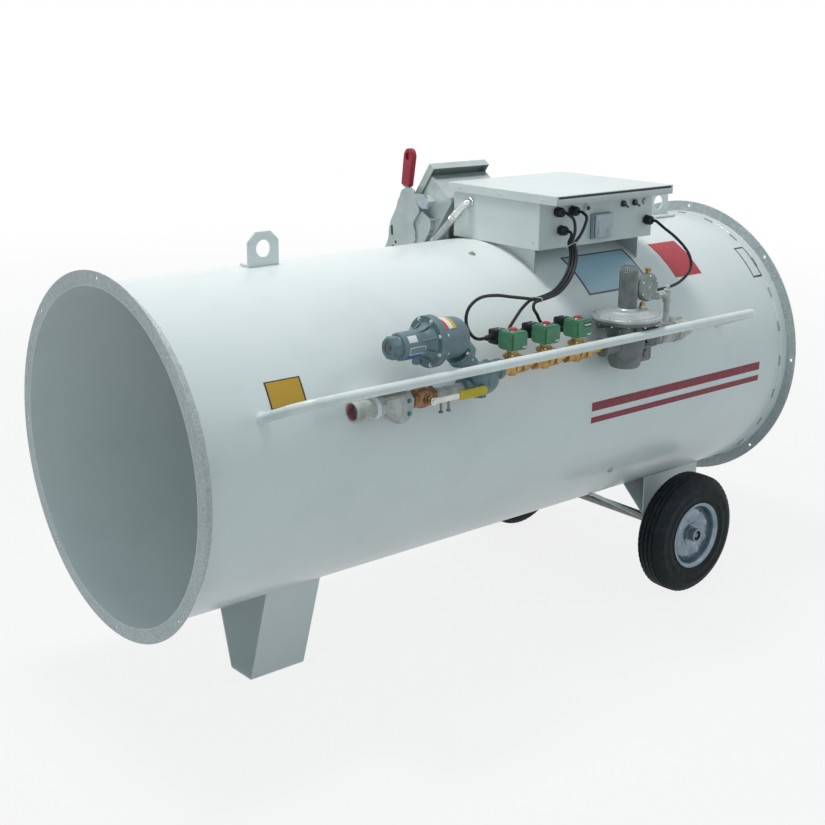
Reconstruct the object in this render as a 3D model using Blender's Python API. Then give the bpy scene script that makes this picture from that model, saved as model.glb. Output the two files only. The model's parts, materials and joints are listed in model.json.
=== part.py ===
# Direct fired heater: a rolled duct on two wheels and a front leg, with a fan and a gas burner inside,
# a gas train and its guard rail along one flank, a control box on top and a fused disconnect behind it.
# Metres, +Z up. The origin is the middle of the front foot's underside. The duct runs along X, the hot
# air leaves at the -X end, and the gas train is on the -Y side.
# Switch pieces are drawn in a section plane of their own, because that enclosure leans on the duct.

import math

import bmesh
import bpy
from mathutils import Matrix, Quaternion, Vector

# Duct
SHELL_RADIUS = 0.4572
SHELL_WALL = 0.002
SHELL_LENGTH = 2.337
SHELL_CLEARANCE = 0.2888
AXIS_HEIGHT = SHELL_RADIUS + SHELL_CLEARANCE
OUTLET_X = -0.485
INLET_X = OUTLET_X + SHELL_LENGTH
SHELL_INNER = SHELL_RADIUS - SHELL_WALL
GAP = 0.0003
OVERRUN = 0.02
WELD = 0.000002
DUCT_SIDES = 40
BOX_BOTTOM = AXIS_HEIGHT + SHELL_RADIUS + GAP
SUPPLY_SETBACK = 1.917
INLET_MOUTH_X = INLET_X - SUPPLY_SETBACK

# End rings, rolled from angle
RING_LEG = 0.038
RING_THICKNESS = 0.003
RING_HOLE_RADIUS = 0.0055
RING_HOLES = 8
RING_BORE = SHELL_RADIUS + GAP
RING_HOLE_CIRCLE = RING_BORE + RING_LEG * 0.57

# Lifting lugs
LUG_WIDTH = 0.1016
LUG_HEIGHT = 0.0948
LUG_THICKNESS = 0.006
LUG_CHAMFER = 0.026
LUG_EYE_RADIUS = 0.024
LUG_EYE_DROP = 0.047
LUG_BASE_LENGTH = 0.04
LUG_BASE_HOLE = 0.012
LUG_FRONT_X = 0.017
LUG_REAR_SETBACK = 0.175
LUG_REAR_X = INLET_X - LUG_REAR_SETBACK

# Front leg, one strip
LEG_WIDTH = 0.185
LEG_FOOT_HALF = 0.0546
LEG_TOP_HALF = 0.148
LEG_THICKNESS = 0.0048
LEG_BEND = 0.012

# Running gear
AXLE_SETBACK = 0.432
AXLE_X = INLET_X - AXLE_SETBACK
WHEEL_RADIUS = 0.203
AXLE_RADIUS = 0.0095
AXLE_BODY_RADIUS = 0.016
WHEEL_MID_Y = 0.408
HUB_RADIUS = 0.0225
HUB_HALF = 0.055
HUB_POCKET_RADIUS = 0.0165
HUB_POCKET_DEPTH = 0.014
RUNNING_GAP = 0.0004
RIM_SEAT_RADIUS = 0.1012
RIM_LIP_HEIGHT = 0.0128
RIM_LIP_RADIUS = RIM_SEAT_RADIUS + RIM_LIP_HEIGHT
RIM_WELL_DEPTH = 0.0142
RIM_WELL_RADIUS = RIM_SEAT_RADIUS - RIM_WELL_DEPTH
RIM_HALF_WIDTH = 0.047
RIM_SHEET = 0.003
RIM_DISH = 0.024
TYRE_HALF_WIDTH = 0.0515
TYRE_WALL = 0.012
TYRE_TREAD = 0.014
TYRE_GROOVE = 0.006
WHEEL_SIDES = 20
CLIP_THICKNESS = 0.003

# Axle brackets
BRACKET_FRONT_REACH = 0.035
BRACKET_FRONT_X = AXLE_X - BRACKET_FRONT_REACH
BRACKET_REAR_REACH = 0.245
BRACKET_REAR_X = AXLE_X + BRACKET_REAR_REACH
BRACKET_OUTER_Y = 0.2525
BRACKET_THICKNESS = 0.005
BRACKET_DROP = 0.068
BRACKET_BOTTOM = WHEEL_RADIUS - BRACKET_DROP
BRACKET_CHAMFER = 0.1
BRACE_RISE = 0.029
BRACE_LOW_Z = WHEEL_RADIUS + BRACE_RISE
BRACE_TOP_Y = 0.157
BRACE_THICKNESS = 0.004
STAY_RADIUS = 0.006
STAY_RISE = 0.012
STAY_LOW_Z = WHEEL_RADIUS + STAY_RISE
STAY_REACH = 0.305
STAY_FRONT_X = AXLE_X - STAY_REACH

# Guard rail
RAIL_RADIUS = 0.0133
RAIL_STANDOFF = 0.18
RAIL_LEAD = 0.211
RAIL_FRONT_X = INLET_MOUTH_X - RAIL_LEAD
RAIL_LENGTH = 1.766
RAIL_REAR_X = RAIL_FRONT_X + RAIL_LENGTH
RAIL_BEND = 0.06
RAIL_BRACKET_OFFSET = 0.05
RAIL_BRACKET_X = INLET_MOUTH_X + RAIL_BRACKET_OFFSET
RAIL_BRACKET_LENGTH = 0.13
RAIL_BRACKET_THICKNESS = 0.005

# Gas train line
RUN_STANDOFF = 0.0478
RUN_Y = -SHELL_RADIUS - RUN_STANDOFF
RUN_RISE = 0.199
RUN_Z = AXIS_HEIGHT + RUN_RISE
RAIL_LIFT = 0.045873
RAIL_ANGLE = math.degrees(math.asin((RUN_RISE + RAIL_LIFT) / (SHELL_RADIUS + RAIL_STANDOFF)))
SUPPLY_DROP = 0.033
SUPPLY_Z = RUN_Z - SUPPLY_DROP
SUPPLY_RADIUS = 0.0241
SUPPLY_WALL = 0.0036
INCH_PIPE_RADIUS = 0.0167
SUPPLY_LIP = 0.0285
SUPPLY_LIP_LENGTH = 0.024
STRAINER_OFFSET = 0.077
STRAINER_X = INLET_MOUTH_X + STRAINER_OFFSET
STRAINER_LENGTH = 0.107
STRAINER_HALF_WIDTH = 0.03
STRAINER_TOP = 0.0255
STRAINER_DROP = 0.052
BALL_VALVE_OFFSET = 0.2285
BALL_VALVE_X = INLET_MOUTH_X + BALL_VALVE_OFFSET
BALL_VALVE_HALF = 0.0375
BALL_RADIUS = 0.0285
HEX_RADIUS = 0.0255
HEX_LENGTH = 0.016
STEM_RADIUS = 0.0095
LEVER_STANDOFF = 0.0505
LEVER_Y = RUN_Y - LEVER_STANDOFF
LEVER_THICKNESS = 0.003
LEVER_HALF = 0.0075
LEVER_LENGTH = 0.186
LEVER_GRIP_LENGTH = 0.1
LEVER_GRIP_HALF = 0.0125
LEVER_GRIP_SHEET = 0.0022

# High pressure regulator
REGULATOR_OFFSET = 0.368
REGULATOR_X = INLET_MOUTH_X + REGULATOR_OFFSET
REGULATOR_LENGTH = 0.138
REGULATOR_BELLY = 0.046
REGULATOR_BOSS = 0.029
CASE_RISE = 0.113
CASE_Z = RUN_Z + CASE_RISE
CASE_LEAD = 0.251
CASE_END_X = REGULATOR_X - CASE_LEAD
CASE_BARREL_LENGTH = 0.123
CASE_FLANGE_X = CASE_END_X + CASE_BARREL_LENGTH
CASE_FLANGE_THICKNESS = 0.012
CASE_FLANGE_RADIUS = 0.0685
CASE_BARREL_RADIUS = 0.031
CASE_BARREL_ROOT = 0.037
CASE_DOME_RADIUS = 0.056
CASE_DOME_LENGTH = 0.1
CASE_PLUG_RADIUS = 0.016
NECK_RADIUS = 0.024
NECK_FLANGE_RADIUS = 0.04
NECK_FLANGE_THICKNESS = 0.011

# Solenoid valves
VALVE_OFFSET = 0.187
VALVE_FIRST_X = REGULATOR_X + VALVE_OFFSET
VALVE_PITCH = 0.1275
VALVE_COUNT = 3
VALVE_HALF = 0.0485
VALVE_BODY_RADIUS = 0.019
VALVE_HEX_RADIUS = 0.0245
VALVE_HEX_LENGTH = 0.02
VALVE_NIPPLE_RADIUS = 0.0135
BONNET_RADIUS = 0.0265
BONNET_RISE = 0.04
BONNET_TOP = RUN_Z + BONNET_RISE
CORE_RADIUS = 0.0085
COIL_RISE = 0.049
COIL_BOTTOM = RUN_Z + COIL_RISE
COIL_HEIGHT = 0.05
COIL_HALF = 0.03
COIL_ROUND = 0.004
CORE_PROUD = 0.008
CORE_CAP_RADIUS = 0.0115
PLUG_SIDE = 0.04
PLUG_DEPTH = 0.036
PLUG_SHIFT = 0.012
PLUG_LIFT = 0.008
GLAND_RADIUS = 0.0095
GLAND_LENGTH = 0.026

# Low pressure regulator
LOW_OFFSET = 0.475
LOW_X = VALVE_FIRST_X + LOW_OFFSET
LOW_INSET = 0.0075
LOW_Y = RUN_Y + LOW_INSET
LOW_COVER_RADIUS = 0.1035
LOW_COVER_RISE = 0.0715
LOW_COVER_BOTTOM = RUN_Z + LOW_COVER_RISE
LOW_COVER_THICKNESS = 0.026
LOW_TOWER_RADIUS = 0.028
LOW_TOWER_RISE = 0.225
LOW_TOWER_TOP = RUN_Z + LOW_TOWER_RISE
LOW_BODY_RADIUS = 0.057
LOW_BODY_DROP = 0.077
LOW_BODY_BOTTOM = RUN_Z - LOW_BODY_DROP
LOW_HALF = 0.115
LOW_BOSS_RADIUS = 0.03
LOW_REAR_DEPTH = 0.053
LOW_REAR_Y = RUN_Y + LOW_REAR_DEPTH
LOW_FOOT_HALF = 0.045
LOW_FOOT_HEIGHT = 0.035

# Pressure switch and the pipe into the duct
SWITCH_OFFSET = 0.076
SWITCH_X = LOW_X + SWITCH_OFFSET
SWITCH_RISE = 0.155
SWITCH_Z = RUN_Z + SWITCH_RISE
SWITCH_RADIUS = 0.043
SWITCH_THICKNESS = 0.02
SWITCH_HOUSING_HALF = 0.026
SWITCH_HOUSING_DEPTH = 0.03
SWITCH_KNOB_RADIUS = 0.009
SWITCH_KNOB_HEIGHT = 0.014
RISER_OFFSET = 0.17
RISER_X = LOW_X + RISER_OFFSET
RISER_RADIUS = 0.009
RISER_RISE = 0.149
RISER_TOP = RUN_Z + RISER_RISE
ARM_DROP = 0.033
ARM_Z = SWITCH_Z - ARM_DROP
ARM_RADIUS = 0.0075
OUTLET_UNION_RADIUS = 0.034
OUTLET_PIPE_RADIUS = 0.0211
OUTLET_REACH = 0.235
OUTLET_END_X = LOW_X + OUTLET_REACH
FEED_LEAD = 0.065
FEED_X = OUTLET_END_X + FEED_LEAD
FEED_BEND = 0.045

# Burner
HEAD_RADIUS = 0.062
HEAD_LEAD = 0.075
HEAD_FRONT_X = FEED_X - HEAD_LEAD
HEAD_LENGTH = 0.13
HEAD_NOZZLE = 0.028
CONE_LEAD = 0.04
CONE_SMALL_X = HEAD_FRONT_X - CONE_LEAD
CONE_LENGTH = 0.42
CONE_SMALL_RADIUS = 0.11
CONE_WALL_GAP = 0.1652
CONE_LARGE_RADIUS = SHELL_INNER - CONE_WALL_GAP
CONE_SHEET = 0.003
CONE_COLUMNS = 10
CONE_HOLE_ROWS = 3
CONE_WEB = 0.03
CONE_STAY_HALF = 0.014
CONE_STAY_THICKNESS = 0.004
ELECTRODE_RADIUS = 0.004
ELECTRODE_BASE_RADIUS = 0.009
ELECTRODE_BASE_LENGTH = 0.02
ELECTRODE_LENGTH = 0.09
ELECTRODE_OFFSET = 0.046

# Fan, motor, guard
FAN_SETBACK = 0.352
FAN_X = INLET_X - FAN_SETBACK
FAN_WALL_GAP = 0.0502
FAN_RADIUS = SHELL_INNER - FAN_WALL_GAP
FAN_HUB_RADIUS = 0.062
FAN_HUB_LENGTH = 0.06
FAN_BLADES = 5
FAN_BLADE_SHEET = 0.004
FAN_ROOT_CHORD = 0.1
FAN_TIP_CHORD = 0.15
SHAFT_RADIUS = 0.011
SHROUD_CLEARANCE = 0.008
SHROUD_SHEET = 0.003
SHROUD_LENGTH = 0.055
MOTOR_OFFSET = 0.09
MOTOR_X = FAN_X + MOTOR_OFFSET
MOTOR_LENGTH = 0.2
MOTOR_RADIUS = 0.085
MOTOR_FOOT_HEIGHT = 0.1
MOTOR_FOOT_HALF = 0.07
PEDESTAL_SHEET = 0.005
PEDESTAL_HALF = 0.085
PEDESTAL_INSET = 0.015
GUARD_SHEET = 0.004
GUARD_INSET = 0.012
GUARD_WIRE = 0.005
GUARD_RINGS = 5
GUARD_SPOKES = 8
GUARD_CENTRE = 0.05

# Control box
BOX_LEAD = 0.165
BOX_X = LOW_X - BOX_LEAD
BOX_LENGTH = 0.505
BOX_FRONT_Y = -0.285
BOX_REAR_Y = 0.092
BOX_HEIGHT = 0.1645
BOX_SHEET = 0.002
LID_SIDE = 0.007
LID_FRONT = 0.075
LID_REAR = 0.026
LID_LIP = 0.025
BOX_GUSSET_INSET = 0.02
BOX_GUSSET_SHEET = 0.003
BOX_GUSSET_EDGE_Y = -0.25

# Controls on the box
CONTROL_RISE = 0.1115
CONTROL_TOP_Z = BOX_BOTTOM + CONTROL_RISE
BUTTON_OFFSET = 0.199
BUTTON_X = BOX_X + BUTTON_OFFSET
BUTTON_RADIUS = 0.0065
BUTTON_COLLAR_RADIUS = 0.011
BUTTON_COLLAR_DEPTH = 0.009
BUTTON_PROUD = 0.004
BUTTON_TRAVEL = 0.003
TOGGLE_INSETS = (0.139, 0.087)
TOGGLE_XS = [BOX_X + BOX_LENGTH - inset for inset in TOGGLE_INSETS]
TOGGLE_NUT_RADIUS = 0.009
TOGGLE_NUT_DEPTH = 0.008
TOGGLE_SOCKET_RADIUS = 0.0055
TOGGLE_LEVER_RADIUS = 0.003
TOGGLE_TIP_RADIUS = 0.0038
TOGGLE_LENGTH = 0.022
TOGGLE_BALL_RADIUS = 0.0045
TOGGLE_REST_ANGLE = 25.0
LAMP_INSET = 0.038
LAMP_X = BOX_X + BOX_LENGTH - LAMP_INSET
LAMP_RADIUS = 0.008
LAMP_DEPTH = 0.007
SOCKET_OFFSET = 0.222
SOCKET_X = BOX_X + SOCKET_OFFSET
SOCKET_LENGTH = 0.083
SOCKET_RISE = 0.0145
SOCKET_BOTTOM = BOX_BOTTOM + SOCKET_RISE
SOCKET_HEIGHT = 0.076
SOCKET_DEPTH = 0.014
SOCKET_BORDER = 0.007
SOCKET_RECESS = 0.009
FLAP_SHEET = 0.005
FLAP_PIN_RADIUS = 0.0025

# Fused disconnect, drawn in its own leaning section
LEAN = 35.6
DISCONNECT_X = BOX_X
DISCONNECT_LENGTH = 0.235
DISCONNECT_DEPTH = 0.126
DISCONNECT_HEIGHT = 0.196
DISCONNECT_SHEET = 0.002
DISCONNECT_FOOT_ANGLE = 61.8
DOOR_DEPTH = 0.026
DOOR_HOOD = 0.027
DOOR_SIDE = 0.003
DOOR_DROP = 0.008
DOOR_SHEET = 0.002
DOOR_PIN_RADIUS = 0.004
DOOR_LEAF = 0.03
PIVOT_DEPTH = 0.04
PIVOT_HEIGHT = 0.065
LEVER_HUB_RADIUS = 0.026
LEVER_PLATE = 0.004
LEVER_ARM_HALF = 0.013
GRIP_FOOT_DEPTH = 0.148
GRIP_FOOT_HEIGHT = 0.044
GRIP_LENGTH = 0.116
GRIP_ANGLE = 62.8
GRIP_HALF = 0.018
GRIP_THICKNESS = 0.02
GUARD_PLATE = 0.003
SIDE_SPACE = 0.03
# The side plate round the lever's pivot, as shares of its reach
SIDE_PLATE_REACH = 0.142
SIDE_PLATE_SHARES = (
    (-0.0141, -0.493), (0.704, -0.423), (0.93, -0.352), (1, -0.106), (0.972, 0.113),
    (0.606, 0.401), (0.423, 0.549), (0.141, 0.563), (0.141, 0.366), (0.352, 0.317),
    (0.352, 0.0704), (0.261, -0.211), (0.0845, -0.317),
)
SIDE_LUG_SHARES = (
    (0.155, 0.38), (0.338, 0.366), (0.408, 0.451), (0.394, 0.535), (0.155, 0.549),
)
SADDLE_INSET = 0.03
SADDLE_HEIGHT = 0.11
SADDLE_DEPTH = 0.08
SADDLE_SHEET = 0.004

# Conduit from the box to the duct
CONDUIT_RADIUS = 0.0105
CONDUIT_LEAD = 0.0235
CONDUIT_X = BOX_X - CONDUIT_LEAD
CONDUIT_Y = 0.014
CONDUIT_Z = CONTROL_TOP_Z
CONDUIT_NUT_RADIUS = 0.0165
CONDUIT_NUT_LENGTH = 0.018
CONDUIT_FOOT_Y = 0.168
CONDUIT_BEND = 0.018

# Cables
CABLE_RADIUS = 0.0046
BUNDLE_STEP = 0.0118
BOX_GLAND_RADIUS = 0.0125
BOX_GLAND_LENGTH = 0.03
CABLE_STEP = 0.026
BOX_TOP = BOX_BOTTOM + BOX_HEIGHT


def paint(name, colour, roughness, metallic=0.0):
    found = bpy.data.materials.get(name)
    if found:
        return found
    made = bpy.data.materials.new(name)
    made.use_nodes = True
    shader = made.node_tree.nodes["Principled BSDF"]
    shader.inputs["Base Color"].default_value = (*colour, 1.0)
    shader.inputs["Roughness"].default_value = roughness
    shader.inputs["Metallic"].default_value = metallic
    return made


def axes_of(direction):
    """Two directions square to the given one. Along X they are Y and Z, along Y they are X and Z."""
    forward = Vector(direction).normalized()
    side = Vector((0, 1, 0)) if abs(forward.x) > 0.9 else Vector((1, 0, 0))
    side = (side - forward * side.dot(forward)).normalized()
    up = forward.cross(side)
    if up.z < 0 or (abs(up.z) < 1e-6 and up.y < 0):
        up = -up
    return side, up, forward


def solid_from(mesh_builder):
    bmesh.ops.recalc_face_normals(mesh_builder, faces=mesh_builder.faces)
    data = bpy.data.meshes.new("solid")
    mesh_builder.to_mesh(data)
    mesh_builder.free()
    item = bpy.data.objects.new("solid", data)
    bpy.context.collection.objects.link(item)
    return item


def turned(profile, centre, direction=(1, 0, 0), sides=24, turn=0.0):
    """Revolves (radius, distance along) points. Without a point on the axis the profile is a closed loop."""
    side, up, forward = axes_of(direction)
    middle = Vector(centre)
    builder = bmesh.new()
    rings = []
    for radius, along in profile:
        if radius == 0:
            rings.append([builder.verts.new(middle + forward * along)])
            continue
        ring = []
        for index in range(sides):
            angle = turn + math.tau * index / sides
            spoke = side * math.cos(angle) + up * math.sin(angle)
            ring.append(builder.verts.new(middle + forward * along + spoke * radius))
        rings.append(ring)
    pairs = list(zip(rings, rings[1:]))
    if profile[0][0] != 0:
        pairs.append((rings[-1], rings[0]))
    for first, second in pairs:
        for index in range(sides):
            after = (index + 1) % sides
            corners = [first[index % len(first)], first[after % len(first)]]
            corners += [second[after % len(second)], second[index % len(second)]]
            builder.faces.new(list(dict.fromkeys(corners)))
    return solid_from(builder)


def rod(radius, start, end, sides=16, turn=0.0):
    span = Vector(end) - Vector(start)
    return turned([(0, 0), (radius, 0), (radius, span.length), (0, span.length)], start, span, sides, turn)


def tube(outer, inner, start, end, sides=24):
    span = Vector(end) - Vector(start)
    far = span.length
    return turned([(outer, 0), (outer, far), (inner, far), (inner, 0)], start, span, sides)


def prism(outline, axis, low, high):
    """Extrudes a flat outline along X, Y or Z. Its points are the other two coordinates, in their order."""
    builder = bmesh.new()
    ends = []
    for level in (low, high):
        spots = []
        for first, second in outline:
            spot = [first, second]
            spot.insert("XYZ".index(axis), level)
            spots.append(builder.verts.new(spot))
        ends.append(spots)
        builder.faces.new(spots)
    for index in range(len(outline)):
        after = (index + 1) % len(outline)
        builder.faces.new((ends[0][index], ends[0][after], ends[1][after], ends[1][index]))
    return solid_from(builder)


def block(low, high):
    return prism([(low[0], low[1]), (high[0], low[1]), (high[0], high[1]), (low[0], high[1])], "Z", low[2],
                 high[2])


def swept(points, radius, sides=12):
    """A round bar along a path, with flat ends."""
    builder = bmesh.new()
    path = [Vector(point) for point in points]
    heading = (path[1] - path[0]).normalized()
    side, up, _ = axes_of(heading)
    rings = []
    for index, point in enumerate(path):
        before = path[max(index - 1, 0)]
        after = path[min(index + 1, len(path) - 1)]
        ahead = (after - before).normalized()
        bend = heading.rotation_difference(ahead)
        side = bend @ side
        up = bend @ up
        heading = ahead
        ring = []
        for step in range(sides):
            angle = math.tau * step / sides
            ring.append(builder.verts.new(point + (side * math.cos(angle) + up * math.sin(angle)) * radius))
        rings.append(ring)
    for first, second in zip(rings, rings[1:]):
        for step in range(sides):
            after = (step + 1) % sides
            builder.faces.new((first[step], first[after], second[after], second[step]))
    builder.faces.new(rings[0])
    builder.faces.new(rings[-1])
    return solid_from(builder)


def rounded(corners, radius, steps=4):
    """Replaces the inner corners of a path by arcs of the given radius."""
    path = [Vector(corner) for corner in corners]
    made = [path[0]]
    for before, corner, after in zip(path, path[1:], path[2:]):
        back = (before - corner).normalized()
        ahead = (after - corner).normalized()
        half = back.angle(ahead) / 2
        reach = radius / math.tan(half)
        centre = corner + (back + ahead).normalized() * (radius / math.sin(half))
        start = corner + back * reach - centre
        end = corner + ahead * reach - centre
        swing = start.rotation_difference(end)
        for step in range(steps + 1):
            made.append(centre + Quaternion().slerp(swing, step / steps) @ start)
    made.append(path[-1])
    return made


def smooth_route(points, spacing):
    """Points at an even spacing on a smooth curve through the given ones."""
    anchors = [Vector(point) for point in points]
    anchors = [anchors[0] * 2 - anchors[1]] + anchors + [anchors[-1] * 2 - anchors[-2]]
    fine = []
    parts = 24
    for a, b, c, d in zip(anchors, anchors[1:], anchors[2:], anchors[3:]):
        for step in range(parts):
            t = step / parts
            fine.append(((b * 2) + (c - a) * t + (a * 2 - b * 5 + c * 4 - d) * t * t
                         + (b * 3 - a - c * 3 + d) * t * t * t) / 2)
    fine.append(anchors[-2])
    total = sum((after - before).length for before, after in zip(fine, fine[1:]))
    count = round(total / spacing)
    pitch = total / count
    made = [fine[0]]
    travelled = 0.0
    for before, after in zip(fine, fine[1:]):
        length = (after - before).length
        while len(made) < count and travelled + length >= pitch * len(made):
            made.append(before.lerp(after, (pitch * len(made) - travelled) / length))
        travelled += length
    made.append(fine[-1])
    return made


def weld(item):
    """Merges corners that a cut has left on top of each other."""
    builder = bmesh.new()
    builder.from_mesh(item.data)
    bmesh.ops.remove_doubles(builder, verts=builder.verts, dist=WELD)
    bmesh.ops.dissolve_degenerate(builder, edges=builder.edges, dist=WELD)
    builder.to_mesh(item.data)
    builder.free()


def apply_boolean(base, tool, operation):
    step = base.modifiers.new("step", "BOOLEAN")
    step.operation = operation
    step.solver = "EXACT"
    step.object = tool
    graph = bpy.context.evaluated_depsgraph_get()
    result = bpy.data.meshes.new_from_object(base.evaluated_get(graph))
    base.modifiers.clear()
    base.data = result
    bpy.data.objects.remove(tool, do_unlink=True)
    weld(base)
    return base


def join(base, *tools):
    for tool in tools:
        apply_boolean(base, tool, "UNION")
    return base


def cut(base, *tools):
    for tool in tools:
        apply_boolean(base, tool, "DIFFERENCE")
    return base


def soften(item, width, steps=2):
    bevel = item.modifiers.new("soften", "BEVEL")
    bevel.width = width
    bevel.segments = steps
    bevel.limit_method = "ANGLE"
    bevel.angle_limit = math.radians(40)
    graph = bpy.context.evaluated_depsgraph_get()
    result = bpy.data.meshes.new_from_object(item.evaluated_get(graph))
    item.modifiers.clear()
    item.data = result
    return item


def duct_core(radius):
    """A round cutter on the duct's axis, longer than the duct."""
    start = (OUTLET_X - OVERRUN, 0, AXIS_HEIGHT)
    end = (INLET_X + OVERRUN, 0, AXIS_HEIGHT)
    return rod(radius, start, end, DUCT_SIDES)


def seat_outside(item):
    return cut(item, duct_core(SHELL_RADIUS + GAP))


def seat_inside(item):
    """Keeps what lies inside the duct's wall."""
    return apply_boolean(item, duct_core(SHELL_INNER - GAP), "INTERSECT")


def named(item, name, finish, pivot=None):
    item.name = name
    item.data.name = name
    item.data.materials.clear()
    item.data.materials.append(finish)
    item.data.shade_smooth()
    item.data.set_sharp_from_angle(angle=math.radians(35))
    if pivot is not None:
        item.data.transform(Matrix.Translation(-Vector(pivot)))
        item.location = pivot
    return item


def lattice(spot, columns, rows, is_open):
    """A sheet on a grid that closes round in columns, with some cells left open.
    spot(column, row, face) gives a corner, on the sheet's first or second face."""
    builder = bmesh.new()
    corners = {}
    for column in range(columns):
        for row in range(rows + 1):
            for face in (0, 1):
                corners[column, row, face] = builder.verts.new(spot(column, row, face))

    def solid_cell(column, row):
        return 0 <= row < rows and not is_open(column % columns, row)

    for column in range(columns):
        after = (column + 1) % columns
        for row in range(rows):
            if not solid_cell(column, row):
                continue
            for face in (0, 1):
                cell = [(column, row), (after, row), (after, row + 1), (column, row + 1)]
                builder.faces.new([corners[c, r, face] for c, r in cell])
            edges = {(column, row - 1): ((column, row), (after, row)),
                     (column, row + 1): ((column, row + 1), (after, row + 1)),
                     (column - 1, row): ((column, row), (column, row + 1)),
                     (column + 1, row): ((after, row), (after, row + 1))}
            for beside, (one, two) in edges.items():
                if not solid_cell(*beside):
                    builder.faces.new((corners[(*one, 0)], corners[(*two, 0)],
                                       corners[(*two, 1)], corners[(*one, 1)]))
    for vertex in [v for v in builder.verts if not v.link_faces]:
        builder.verts.remove(vertex)
    return solid_from(builder)


def duct_point(x, radius, degrees):
    """A point beside the duct's axis. 0 degrees looks along -Y and 90 looks up."""
    angle = math.radians(degrees)
    return Vector((x, -radius * math.cos(angle), AXIS_HEIGHT + radius * math.sin(angle)))


def galvanised():
    return paint("galvanised", (0.42, 0.46, 0.47), 0.45, 0.8)


def make_duct():
    white = paint("duct_white", (0.82, 0.85, 0.86), 0.35)
    zinc = galvanised()
    shell = tube(SHELL_RADIUS, SHELL_INNER, (OUTLET_X, 0, AXIS_HEIGHT), (INLET_X, 0, AXIS_HEIGHT),
                 DUCT_SIDES)
    cut(shell, rod(OUTLET_PIPE_RADIUS + GAP, (FEED_X, RUN_Y, RUN_Z), (FEED_X, 0, RUN_Z)))
    named(shell, "shell", white)
    for name, face_x, inward in (("outlet_ring", OUTLET_X, 1), ("inlet_ring", INLET_X, -1)):
        flange = RING_BORE + RING_LEG
        sleeve = RING_BORE + RING_THICKNESS
        profile = [(RING_BORE, 0), (flange, 0), (flange, RING_THICKNESS), (sleeve, RING_THICKNESS),
                   (sleeve, RING_LEG), (RING_BORE, RING_LEG)]
        ring = turned(profile, (face_x, 0, AXIS_HEIGHT), (inward, 0, 0), DUCT_SIDES)
        for index in range(RING_HOLES):
            near = duct_point(face_x - OVERRUN, RING_HOLE_CIRCLE, 90 + 360 * index / RING_HOLES)
            far = near + Vector((2 * OVERRUN, 0, 0))
            cut(ring, rod(RING_HOLE_RADIUS, near, far, 6))
        named(ring, name, zinc)


def make_lug(name, x, flange_side):
    half = LUG_WIDTH / 2
    top = BOX_BOTTOM + LUG_HEIGHT
    low = BOX_BOTTOM
    outline = [(x - half, low - OVERRUN), (x + half, low - OVERRUN), (x + half, top - LUG_CHAMFER),
               (x + half - LUG_CHAMFER, top), (x - half + LUG_CHAMFER, top), (x - half, top - LUG_CHAMFER)]
    plate = prism(outline, "Y", -LUG_THICKNESS / 2, LUG_THICKNESS / 2)
    eye_z = top - LUG_EYE_DROP
    cut(plate, rod(LUG_EYE_RADIUS, (x, -LUG_BASE_LENGTH, eye_z), (x, LUG_BASE_LENGTH, eye_z), 16))
    ends = sorted((0, flange_side * LUG_BASE_LENGTH))
    base = block((x - half, ends[0], low), (x + half, ends[1], low + LUG_THICKNESS))
    hole_y = flange_side * LUG_BASE_LENGTH * 0.55
    join(plate, base)
    cut(plate, rod(LUG_BASE_HOLE, (x, hole_y, low - OVERRUN), (x, hole_y, low + OVERRUN)))
    return named(seat_outside(plate), name, paint("duct_white", (0.82, 0.85, 0.86), 0.35))


def make_front_leg():
    slope = Vector((LEG_TOP_HALF - LEG_FOOT_HALF,
                    AXIS_HEIGHT - math.sqrt(SHELL_RADIUS**2 - LEG_TOP_HALF**2)))
    past = 1 + OVERRUN / slope.y
    across = slope.orthogonal().normalized() * LEG_THICKNESS
    if across.x > 0:
        across = -across
    right = rounded([(0, 0, 0), (LEG_FOOT_HALF, 0, 0),
                     (LEG_FOOT_HALF + slope.x * past, slope.y * past, 0)], LEG_BEND, 3)
    outer = [Vector((spot.x, spot.y)) for spot in right[1:]]
    lift = LEG_THICKNESS
    inner_half = LEG_FOOT_HALF + across.x + (lift - across.y) * slope.x / slope.y
    inner_end = outer[-1] + across
    loop = outer + [inner_end, Vector((inner_half, lift))]
    loop += [Vector((-spot.x, spot.y)) for spot in reversed(loop)]
    leg = prism([(spot.x, spot.y) for spot in loop], "X", -LEG_WIDTH / 2, LEG_WIDTH / 2)
    return named(seat_outside(leg), "front_leg", paint("duct_white", (0.82, 0.85, 0.86), 0.35))


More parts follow.
